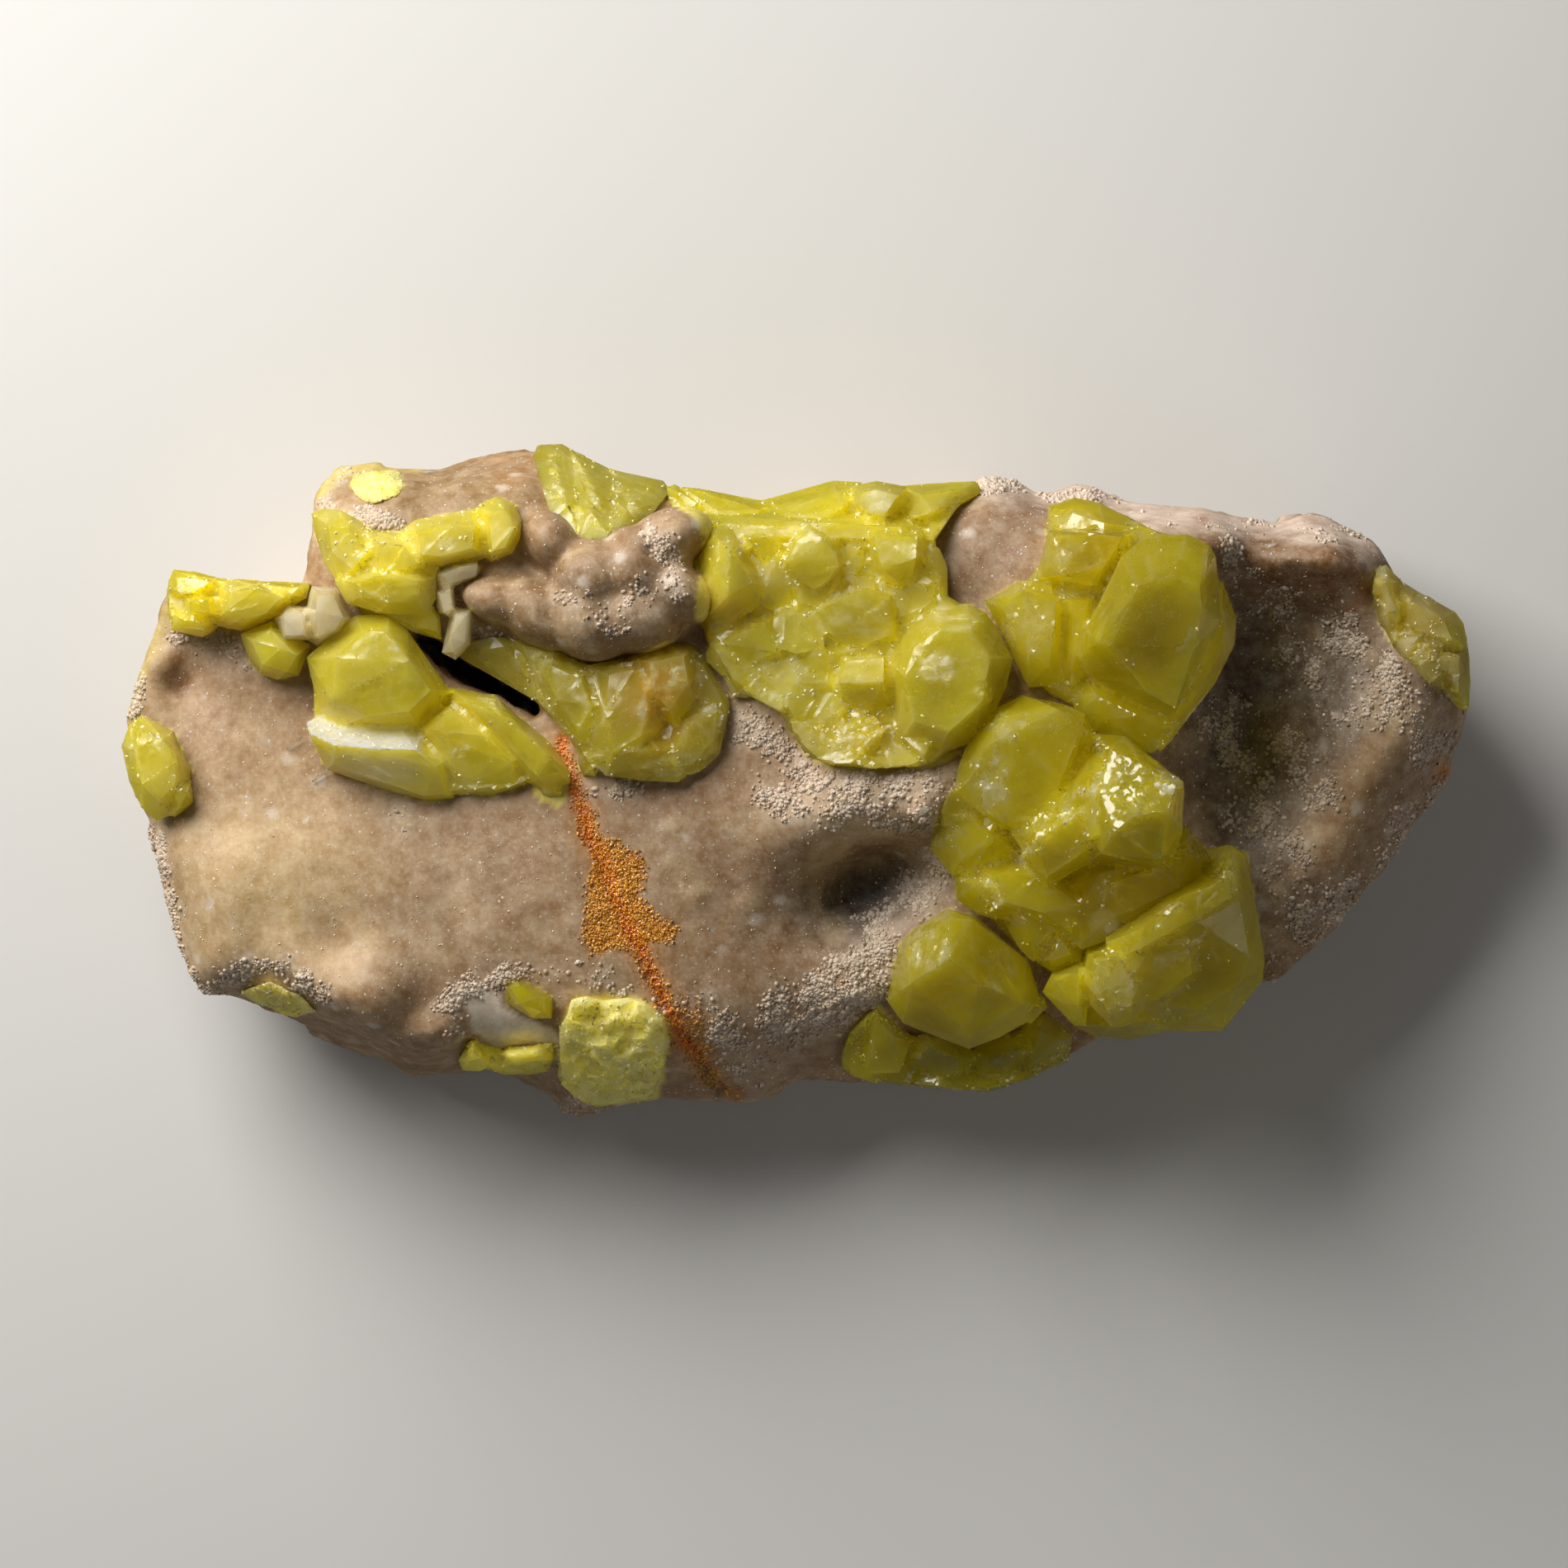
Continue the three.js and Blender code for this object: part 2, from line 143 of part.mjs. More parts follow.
  ["ul_b","sulfur_upper_left_cluster",34,24,[[405,702],[440,686],[500,684],[530,700],[529,724],[517,746],[486,744],[458,742],[421,732]],[[428,706,37.4],[462,698,38.6],[506,704,38.8],[506,728,37.2],[470,730,36.8],[436,724,36.4]]],
  ["ul_a","sulfur_upper_left_cluster",33,24,[[377,622,29],[391,616,30],[413,618],[444,636],[470,660],[452,700],[410,706],[393,683,30],[380,642,29]],[[398,636,36],[424,640,37],[446,668,37.4],[426,690,36.6],[402,668,36]],[20,0,0.7]],
  ["ul_d","sulfur_upper_left_cluster",34,26,[[438,640],[482,644],[522,660],[525,693],[480,708],[440,702],[428,670]],[[456,656,38],[490,662,38.6],[506,682,38.4],[470,694,37.6]]],
  ["c2","calcite_pair",31,25,[[378,710],[407,713],[426,748],[415,768],[385,783],[374,776],[372,735],[375,719]],[[386,720,37.6],[404,722,38],[416,748,38],[406,764,36.6],[386,770,36.4],[382,742,37.6]]],
  ["c1","calcite_pair",31,25,[[332,750],[348,733],[371,735],[376,776],[342,778],[336,762]],[[344,746,36.4],[366,742,37],[368,770,36],[346,770,35.4]]],
  ["sm1","sulfur_small_crystals_by_calcite",29,25,[[291,768],[330,752],[342,778],[377,782],[366,803],[362,819],[336,824],[315,817],[303,801],[295,782]],[[304,776,33],[328,764,34],[340,786,34.4],[360,794,34],[348,814,32.6],[318,806,32.8]]],
  ["l1","sulfur_top_left_ledge",30,23,[[262,713],[286,701],[313,703],[352,721],[351,731],[336,746],[291,764],[273,761],[260,754]],[[278,716,35.6],[312,712,36.4],[338,726,36],[324,742,35],[288,752,34.6],[272,742,35.2]],[0,10,0.7]],
  ["l2","sulfur_top_left_ledge",30,22,[[222,723],[240,719],[262,721],[264,748],[242,750],[224,748]],[[230,728,34.6],[252,727,35],[254,742,34.6],[232,742,34.2]]],
  ["l3","sulfur_top_left_ledge",29,24,[[211,744],[242,746],[260,752],[255,766],[246,772],[207,764]],[[218,750,33],[246,754,33.4],[246,764,32.4],[218,760,32]],[20,-5,0.7]],
  ["l4","sulfur_top_left_ledge",28,22,[[204,704],[210,690],[232,692],[262,699],[262,722],[224,726],[204,722]],[[214,700,32],[238,700,32.6],[254,706,33],[240,716,33.4],[214,716,32.6]],[15,20,0.55]],
  ["l5","sulfur_top_left_ledge",28,23,[[309,704],[336,704.5],[376,707],[372,724],[350,732],[318,716]],[[330,710,33.4],[362,712,33.4],[352,722,33.8]],[0,20,0.7]],
  ["e1","sulfur_left_edge_crystal",27,18,[[171,866],[185,874],[210,886],[222,909],[233,933],[231,950],[222,976],[206,989],[190,995],[171,978],[156,946],[147,905],[156,880]],[[172,884,31],[198,894,32],[214,924,32.4],[212,950,31.8],[192,972,30.6],[172,950,31],[162,908,30.8]],[30,0,0.6]],
  ["e2","sulfur_left_edge_crystal",27,20,[[206,950],[232,944],[234,974],[212,990],[196,988]],[[214,956,31.4],[228,960,31],[216,980,30]],[10,-10,0.6]],
  ["cs1","calcite_small_crystal",32,27,[[545,746],[554,736],[574,734],[571,781],[552,800],[535,791],[542,770]],[[552,746,37],[566,744,37.4],[563,778,36],[550,790,35],[546,772,36.4]]],
  ["plate1","sulfur_top_edge_plate",22,15,[[646,553,25],[651,539,22],[681,538,21],[700,549,21],[706,600,30],[702,659,37],[669,630,35.6],[657,591,32]],[[690,612,35.4],[672,575,29.6]],[0,40,0.6]],
  ["plate2","sulfur_top_edge_plate",22,15,[[690,544,21],[720,561,21],[742,570,21],[748,600,29],[740,652,38.4],[716,661,39],[700,656,37.4],[688,606,32]],[[716,620,36.4],[712,580,28.6]],[0,45,0.6]],
  ["plate3","sulfur_top_edge_plate",22,15,[[738,568,21],[763,575,21],[804,583,21],[812,594,23],[800,610,29],[776,642,35.4],[746,651,38],[736,648,37.8],[734,600,29]],[[760,618,34],[776,600,29]],[0,45,0.6]],
  ["re1","sulfur_right_edge_patch",25,17,[[1690,704],[1717,716],[1764,742],[1774,756],[1779,784],[1740,790],[1700,770],[1682,730]],[[1708,728,30.4],[1748,748,30.4],[1760,776,30.2],[1712,762,30.6]],[-30,20,0.6]],
  ["re2","sulfur_right_edge_patch",24,16,[[1722,784],[1779,784],[1782,824],[1780,862],[1758,842],[1734,828]],[[1742,794,30],[1768,796,29.4],[1768,840,28.4]],[-50,0,0.5]],
  ["re3","sulfur_right_edge_patch",26,20,[[1664,690],[1680,684],[1700,706],[1704,764],[1690,790],[1668,750],[1660,716]],[[1678,706,32],[1692,740,31.4],[1680,740,31.2]],[-10,10,0.7]],
  ["le1","sulfur_lower_edge_crust",18,9,[[1100,1258],[1146,1264],[1182,1284],[1170,1318,12],[1130,1317,12],[1102,1290]],[[1126,1270,23],[1160,1284,22],[1140,1304,18]],[0,-55,0.5]],
  ["le2","sulfur_lower_edge_crust",18,9,[[1180,1278],[1230,1256],[1252,1270],[1250,1300,13],[1225,1315,12],[1194,1324,12],[1172,1320,12]],[[1200,1284,22],[1232,1272,22.6],[1222,1300,18]],[0,-55,0.5]],
  ["le3","sulfur_lower_edge_crust",18,10,[[1238,1250],[1268,1226],[1300,1256],[1294,1287,14],[1262,1297,12],[1246,1296]],[[1260,1244,24],[1280,1260,22.6],[1270,1284,18]],[-20,-50,0.5]],
  ["le4","sulfur_lower_edge_crust",20,10,[[1036,1246],[1064,1214],[1090,1240],[1104,1262],[1090,1300],[1050,1300]],[[1064,1234,26],[1084,1256,24.6],[1066,1280,21]],[0,-40,0.6]],
  ["bp1","sulfur_bottom_patch",23,14,[[676,1240],[694,1208],[740,1203],[764,1240],[732,1288],[690,1282]],[[702,1224,30],[736,1220,30],[738,1256,28],[704,1262,27]],[0,-20,0.7]],
  ["bp2","sulfur_bottom_patch",23,14,[[736,1204],[778,1208],[815,1240],[812,1280],[766,1292],[744,1252]],[[762,1218,30],[796,1242,29],[790,1268,27],[762,1262,28]],[0,-20,0.7]],
  ["bp3","sulfur_bottom_patch",18,9,[[716,1284],[800,1272],[808,1300],[798,1332,12],[752,1340,11],[716,1340,11]],[[740,1296,25],[792,1288,25.4],[782,1316,20],[738,1322,19]],[0,-50,0.5]],
  ["bs1","sulfur_bottom_small_crystal",28,23,[[610,1193],[624,1185],[650,1194],[672,1209],[668,1234],[645,1234],[616,1218]],[[618,1198,31.6],[630,1194,32],[656,1208,32],[656,1226,31],[630,1216,31.4]]],
  ["st1","sulfur_bottom_edge_strip",20,12,[[555,1284],[570,1256],[584,1262],[593,1290],[584,1297,12],[560,1297,12]],[[572,1268,27],[582,1282,25],[568,1286,24]],[10,-35,0.5]],
  ["st2","sulfur_bottom_edge_strip",19,12,[[598,1276],[640,1266],[676,1260],[678,1286],[650,1300,14],[604,1297,13]],[[616,1278,26],[650,1274,27],[660,1284,25],[624,1288,24]],[0,-35,0.5]]
];

const wasm = await Module();
wasm.setup();

// A layout point, in outline units and millimetres of height, in the part's frame.
function place(u, v, z) {
  const k = (1 - (z - REFERENCE_Z) / EYE_DISTANCE) / UNITS_PER_MM;
  return new THREE.Vector3((u - CENTRE_U) * k, (CENTRE_U - v) * k, z);
}

// A closed geometry as a solid.
function solid(geometry) {
  const g = geometry.index ? geometry.toNonIndexed() : geometry.clone();
  g.deleteAttribute("normal");
  g.deleteAttribute("uv");
  const m = mergeVertices(g, 1e-4);
  return new wasm.Manifold(
    new wasm.Mesh({
      numProp: 3,
      vertProperties: new Float32Array(m.attributes.position.array),
      triVerts: new Uint32Array(m.index.array),
    }),
  );
}

// A convex solid round some points, each moved out from their middle by `grow`.
function hull(points, grow = 0) {
  const middle = points.reduce((a, p) => a.add(p), new THREE.Vector3()).divideScalar(points.length);
  return solid(new ConvexGeometry(points.map((p) => p.clone().add(p.clone().sub(middle).setLength(grow)))));
}

function joined(solids) {
  return solids.reduce((a, b) => a.add(b));
}

// Indexed vertices and triangles as a solid.
function meshSolid(vertices, triangles) {
  const g = new THREE.BufferGeometry();
  g.setAttribute("position", new THREE.BufferAttribute(new Float32Array(vertices.flat()), 3));
  g.setIndex(triangles.flat());
  return solid(g);
}

// Thin-plate spline through the edge and relief points: the height of the front surface.
const knots = [...OUTLINE, ...RELIEF].map(([u, v, z]) => place(u, v, z));
const weights = (() => {
  const n = knots.length,
    size = n + 3,
    a = [];
  const kernel = (r2) => (r2 > 1e-12 ? 0.5 * r2 * Math.log(r2) : 0);
  for (let i = 0; i < size; i++) a.push(new Float64Array(size + 1));
  for (let i = 0; i < n; i++) {
    for (let j = 0; j < n; j++)
      a[i][j] = kernel((knots[i].x - knots[j].x) ** 2 + (knots[i].y - knots[j].y) ** 2) + (i === j ? 2 : 0);
    a[i][n] = a[n][i] = 1;
    a[i][n + 1] = a[n + 1][i] = knots[i].x;
    a[i][n + 2] = a[n + 2][i] = knots[i].y;
    a[i][size] = knots[i].z;
  }
  for (let c = 0; c < size; c++) {
    let best = c;
    for (let r = c + 1; r < size; r++) if (Math.abs(a[r][c]) > Math.abs(a[best][c])) best = r;
    [a[c], a[best]] = [a[best], a[c]];
    for (let r = c + 1; r < size; r++) {
      const f = a[r][c] / a[c][c];
      if (f) for (let k = c; k <= size; k++) a[r][k] -= f * a[c][k];
    }
  }
  const w = new Float64Array(size);
  for (let r = size - 1; r >= 0; r--) {
    let s = a[r][size];
    for (let k = r + 1; k < size; k++) s -= a[r][k] * w[k];
    w[r] = s / a[r][r];
  }
  return w;
})();

function height(x, y) {
  const n = knots.length;
  let z = weights[n] + weights[n + 1] * x + weights[n + 2] * y;
  for (let i = 0; i < n; i++) {
    const r2 = (x - knots[i].x) ** 2 + (y - knots[i].y) ** 2;
    if (r2 > 1e-12) z += weights[i] * 0.5 * r2 * Math.log(r2);
  }
  return Math.min(46, Math.max(5, z));
}

// The front surface as the top of a block, raised by `offset`.
const X0 = -84,
  X1 = 87,
  Y0 = -43.6,
  Y1 = 44.4;
const NX = Math.round((X1 - X0) / CELL),
  NY = Math.round((Y1 - Y0) / CELL);
const gridHeights = [];
for (let j = 0; j <= NY; j++)
  for (let i = 0; i <= NX; i++)
    gridHeights.push(height(X0 + ((X1 - X0) * i) / NX, Y0 + ((Y1 - Y0) * j) / NY));

function block(offset) {
  const vertices = [],
    triangles = [],
    row = NX + 1,
    layer = row * (NY + 1);
  for (const top of [1, 0])
    for (let j = 0; j <= NY; j++)
      for (let i = 0; i <= NX; i++)
        vertices.push([
          X0 + ((X1 - X0) * i) / NX,
          Y0 + ((Y1 - Y0) * j) / NY,
          top ? gridHeights[j * row + i] + offset : -3,
        ]);
  for (let j = 0; j < NY; j++)
    for (let i = 0; i < NX; i++) {
      const a = j * row + i,
        b = a + 1,
        c = a + row + 1,
        d = a + row;
      if ((i + j) % 2) triangles.push([a, b, c], [a, c, d]);
      else triangles.push([a, b, d], [b, c, d]);
      const [e, f, g, h] = [a + layer, b + layer, c + layer, d + layer];
      triangles.push([e, g, f], [e, h, g]);
    }
  const wall = (a, b) => triangles.push([a, a + layer, b], [b, a + layer, b + layer]);
  for (let i = 0; i < NX; i++) {
    wall(i, i + 1);
    wall(NY * row + i + 1, NY * row + i);
  }
  for (let j = 0; j < NY; j++) {
    wall((j + 1) * row, j * row);
    wall(j * row + NX, (j + 1) * row + NX);
  }
  return meshSolid(vertices, triangles);
}

// The rock's sides: the outline from above the front down to its edge, then in towards the flat underside.
function sides(grow) {
  const n = OUTLINE.length,
    vertices = [],
    triangles = [];
  const rings = [
    (z, i) => [70, 1],
    (z, i) => [Math.max(4, z - 3), 1],
    (z, i) => [Math.max(2.6, 0.62 * z - 1 + 1.2 * Math.sin(i * 1.3)), MID_SCALE + 0.01 * Math.sin(i * 2.1) + 0.009 * Math.sin(i * 0.7 + 1)],
    (z, i) => [Math.max(1.4, 0.3 * z - 1 + Math.sin(i * 0.9 + 2)), LOW_SCALE + 0.012 * Math.sin(i * 0.8 + 4) + 0.006 * Math.sin(i * 2.6)],
    (z, i) => [grow ? -3 : 0, BASE_SCALE + 0.014 * Math.sin(i * 0.55 + 2)],
  ];
  rings.forEach((ring) =>
    OUTLINE.forEach(([u, v, z], i) => {
      const p = place(u, v, z),
        r = Math.hypot(p.x, p.y),
        [level, scale] = ring(z, i), // the broken edge is uneven
        s = scale + grow / r;
      vertices.push([p.x * s, p.y * s, level]);
    }),
  );
  for (let k = 0; k < rings.length - 1; k++)
    for (let i = 0; i < n; i++) {
      const a = k * n + i,
        b = k * n + ((i + 1) % n),
        c = b + n,
        d = a + n;
      triangles.push([a, b, c], [a, c, d]);
    }
  vertices.push([0, 0, 70], [0, 0, vertices[4 * n][2]]);
  for (let i = 0; i < n; i++) {
    triangles.push([5 * n, (i + 1) % n, i]);
    triangles.push([5 * n + 1, 4 * n + i, 4 * n + ((i + 1) % n)]);
  }
  return meshSolid(vertices, triangles);
}

function lobe([u, v, z, rx, ry, rz], grow) {
  const g = new THREE.SphereGeometry(1, 8, 5);
  g.scale(rx + grow, ry + grow, rz + grow);
  g.rotateZ(u * 0.37);
  const p = place(u, v, z);
  g.translate(p.x, p.y, p.z);
  return solid(g);
}

// The open crevice, as a run of wedges that narrow downwards.
const crevice = joined(
  CREVICE.slice(1).map((end, i) => {
    const points = [];
    for (const [a, b, floor] of [CREVICE[i], end]) {
      const top = [place(...a, 30), place(...b, 30)],
        mid = top[0].clone().lerp(top[1], 0.5);
      for (const t of top) {
        const up = mid.clone().lerp(t, 1.15),
          low = mid.clone().lerp(t, 0.45);
        points.push(new THREE.Vector3(up.x, up.y, 44), new THREE.Vector3(low.x, low.y, floor));
      }
    }
    return hull(points);
  }),
);

const rock = joined([block(0).intersect(sides(0)), ...LOBES.map((l) => lobe(l, 0))]).subtract(crevice);
const grownRock = joined([block(GAP).intersect(sides(GAP)), ...LOBES.map((l) => lobe(l, GAP))]);

// The corners of one crystal, with its root drawn in below its rim.
function corners([, , rimHeight, rootHeight, rim, top, [du, dv, rootScale] = [0, 0, ROOT_SCALE]]) {
  const rimPoints = rim.map(([u, v, z]) => place(u, v, z ?? rimHeight)),
    middle = rimPoints.reduce((a, b) => a.add(b), new THREE.Vector3()).divideScalar(rimPoints.length);
  const root = rimPoints
    .filter((p, i) => rimPoints.length < 6 || i % 2 === 0)
    .map(
      (p) =>
        new THREE.Vector3(
          middle.x + du / UNITS_PER_MM + (p.x - middle.x) * rootScale,
          middle.y - dv / UNITS_PER_MM + (p.y - middle.y) * rootScale,
          rootHeight,
        ),
    );
  return [...rimPoints, ...root, ...top.map((p) => place(...p))];
}

// The crust under a group: its outline, cut to a skin of the given thickness over the rock.
function crust([, thickness, lowest, outline], grow) {
  const points = outline.map(([u, v]) => place(u, v, REFERENCE_Z)),
    n = points.length;
  const area = points.reduce((s, p, i) => s + p.x * points[(i + 1) % n].y - points[(i + 1) % n].x * p.y, 0);
  const moved = points.map((p, i) => {
    const a = points[(i + n - 1) % n],
      b = points[(i + 1) % n],
      t = new THREE.Vector3().subVectors(b, a).normalize(),
      side = Math.sign(area);
    return new THREE.Vector2(p.x + t.y * side * grow, p.y - t.x * side * grow);
  });
  const g = new THREE.ExtrudeGeometry(new THREE.Shape(moved), { depth: 70 - lowest, bevelEnabled: false });
  g.translate(0, 0, lowest - (grow ? GAP : 0));
  return solid(g).intersect(block(thickness + (grow ? GAP : 0))).intersect(sides(0.9));
}

const group = new THREE.Group();
group.position.set(...SHIFT);

const LOOKS = {
  matrix_rock: [0xa48f7b, 0.85],
  calcite_pair: [0xb5ab97, 0.35],
  calcite_small_crystal: [0xd8d2c2, 0.35],
};

function addMesh(name, s) {
  const m = s.getMesh(),
    k = m.numProp,
    positions = new Float32Array(m.numVert * 3);
  for (let i = 0; i < m.numVert; i++) positions.set(m.vertProperties.subarray(i * k, i * k + 3), i * 3);
  const g = new THREE.BufferGeometry();
  g.setAttribute("position", new THREE.BufferAttribute(positions, 3));
  g.setIndex(new THREE.BufferAttribute(new Uint32Array(m.triVerts), 1));
  const [color, roughness] = LOOKS[name] ?? [0xc2b62e, 0.35];
  const mesh = new THREE.Mesh(g, new THREE.MeshStandardMaterial({ color, roughness, metalness: 0, flatShading: true }));
  mesh.name = name;
  group.add(mesh);
}

// A solid with its corners on a fine raster, so that cuts leave no slivers: corners that meet are one.
const RASTER = 0.01;
function rastered(s) {
  const m = s.getMesh(),
    k = m.numProp,
    ids = new Map(),
    vertices = [],
    triangles = [],
    seen = new Set();
  const index = (i) => {
    const q = [0, 1, 2].map((a) => Math.round(m.vertProperties[i * k + a] / RASTER)),
      key = q.join();
    if (!ids.has(key)) {
      ids.set(key, vertices.length);
      vertices.push(q.map((v) => v * RASTER));
    }
    return ids.get(key);
  };
  for (let t = 0; t < m.triVerts.length; t += 3) {
    const [a, b, c] = [0, 1, 2].map((o) => index(m.triVerts[t + o]));
    if (a === b || b === c || a === c) continue;
    // two faces back to back are a fin with no thickness
    const low = Math.min(a, b, c),
      key = low === a ? [a, b, c] : low === b ? [b, c, a] : [c, a, b],
      back = [key[0], key[2], key[1]].join();
    if (seen.has(back)) seen.delete(back);
    else seen.add(key.join());
  }
  for (const f of seen) triangles.push(f.split(",").map(Number));
  return meshSolid(vertices, triangles);
}

// The largest body of a solid, when a cut leaves a chip beside it.
function largest(s) {
  const body = (x) => x.decompose().reduce((a, b) => (b.volume() > a.volume() ? b : a));
  return body(rastered(body(s)));
}

addMesh("matrix_rock", largest(rock));

// Each group is joined in one solid, then cut back where an earlier group or the rock already stands.
const order = [...new Set(CRYSTALS.map((c) => c[1])), ...CRUSTS.map((c) => c[0]).filter((c) => !CRYSTALS.some((x) => x[1] === c))];
let standing = grownRock;
for (const name of order) {
  const crystals = CRYSTALS.filter((c) => c[1] === name).map(corners),
    crusts = CRUSTS.filter((c) => c[0] === name);
  const own = joined([...crystals.map((p) => hull(p)), ...crusts.map((c) => crust(c, 0))]);
  addMesh(name, largest(own.subtract(standing)));
  standing = joined([standing, ...crystals.map((p) => hull(p, 0.5)), ...crusts.map((c) => crust(c, GAP))]);
}

export default group;
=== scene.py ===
"""Sulfur specimen, the looks: a slab of druse-coated rock with sulfur and calcite crystals, lying on its back.

Lengths are in millimetres until a mesh is made, then in metres. +X runs along the slab, +Y towards its upper
edge, +Z out of the front. Layout points are in outline units, seen from straight above.
"""

import json
import math

import bmesh
import bpy
import numpy as np
from mathutils import Matrix, Vector

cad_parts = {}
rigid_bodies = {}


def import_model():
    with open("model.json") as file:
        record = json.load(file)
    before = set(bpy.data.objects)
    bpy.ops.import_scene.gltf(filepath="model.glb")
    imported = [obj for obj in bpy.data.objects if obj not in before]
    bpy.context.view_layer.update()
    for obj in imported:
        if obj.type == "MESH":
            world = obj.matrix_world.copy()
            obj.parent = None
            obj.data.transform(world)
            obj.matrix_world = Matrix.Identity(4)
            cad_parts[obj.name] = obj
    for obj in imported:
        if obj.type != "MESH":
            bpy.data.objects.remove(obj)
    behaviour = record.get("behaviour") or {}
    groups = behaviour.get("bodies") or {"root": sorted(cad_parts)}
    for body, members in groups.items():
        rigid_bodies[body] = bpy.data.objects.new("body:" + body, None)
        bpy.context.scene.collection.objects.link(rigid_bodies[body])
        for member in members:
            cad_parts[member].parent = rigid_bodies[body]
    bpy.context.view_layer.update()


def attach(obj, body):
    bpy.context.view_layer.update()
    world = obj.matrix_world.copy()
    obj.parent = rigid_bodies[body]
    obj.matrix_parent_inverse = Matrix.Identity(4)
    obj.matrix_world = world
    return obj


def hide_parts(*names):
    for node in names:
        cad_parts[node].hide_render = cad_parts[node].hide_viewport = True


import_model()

UNITS_PER_MM = 10.0
CENTRE_U = 950.0
REFERENCE_Z = 30.0
EYE_DISTANCE = 800.0
SHIFT = (-1.67, -0.51)
RNG = np.random.default_rng(2214)

# Outline of the rock as seen from the front, clockwise from its top left corner, then the height of its edge.
OUTLINE = [
  [207,699,26],[232,699,26],[256,705,27],[286,707,27],[309,709,27],[336,711,27],[358,712,27],[368,702,27],[373,680,27],[379,650,27],
  [379,628,26],[383,600,25],[390,586,24],[407,571,22],[427,566,21],[452,564,20],[474,567,20],[503,566,20],[531,567,20],[554,559,20],
  [570,554,20],[605,549,20],[625,546,20],[648,547,20],[681,548,19],[720,570,19],[763,585,19],[804,593,20],[828,597,21],[860,608,22],
  [900,617,23],[933,617,23],[969,610,23],[985,601,22],[1011,590,21],[1040,589,21],[1086,596,21],[1120,592,21],[1157,588,21],[1194,579,21],
  [1217,577,20],[1241,586,20],[1257,598,20],[1293,591,19],[1322,587,18],[1347,603,18],[1382,609,18],[1414,614,18],[1453,614,18],[1486,623,18],
  [1514,628,18],[1547,633,18],[1566,626,17],[1587,622,17],[1613,631,17],[1642,645,18],[1665,654,19],[1675,668,20],[1695,705,20],[1716,719,20],
  [1740,731,20],[1761,746,20],[1771,760,20],[1775,784,20],[1778,824,19],[1777,862,19],[1770,895,18],[1762,912,18],[1758,938,18],[1745,956,18],
  [1734,975,19],[1712,999,20],[1700,1025,20],[1670,1065,20],[1640,1100,20],[1600,1142,19],[1576,1164,18],[1552,1185,19],[1525,1190,18],[1500,1208,17],
  [1474,1228,16],[1430,1234,16],[1370,1244,16],[1330,1260,16],[1294,1280,16],[1250,1298,16],[1210,1312,16],[1163,1318,16],[1122,1314,16],[1054,1312,16],
  [990,1306,16],[962,1312,16],[933,1328,16],[905,1338,16],[877,1333,16],[841,1334,16],[801,1330,15],[761,1338,15],[725,1347,14],[688,1348,13],
  [664,1326,12],[628,1306,11],[592,1298,8],[552,1300,8],[498,1304,8],[463,1283,8],[419,1267,8],[377,1250,9],[362,1236,15],[347,1230,18],
  [311,1218,20],[285,1207,21],[244,1205,22],[228,1177,23],[220,1157,23],[210,1121,23],[198,1085,23],[190,1041,23],[182,997,23],[171,977,23],
  [161,960,23],[155,930,23],[152,905,23],[156,874,24],[160,846,25],[166,823,25],[175,793,25],[184,769,25],[192,748,26],[200,727,26],
  [203,712,26],
]
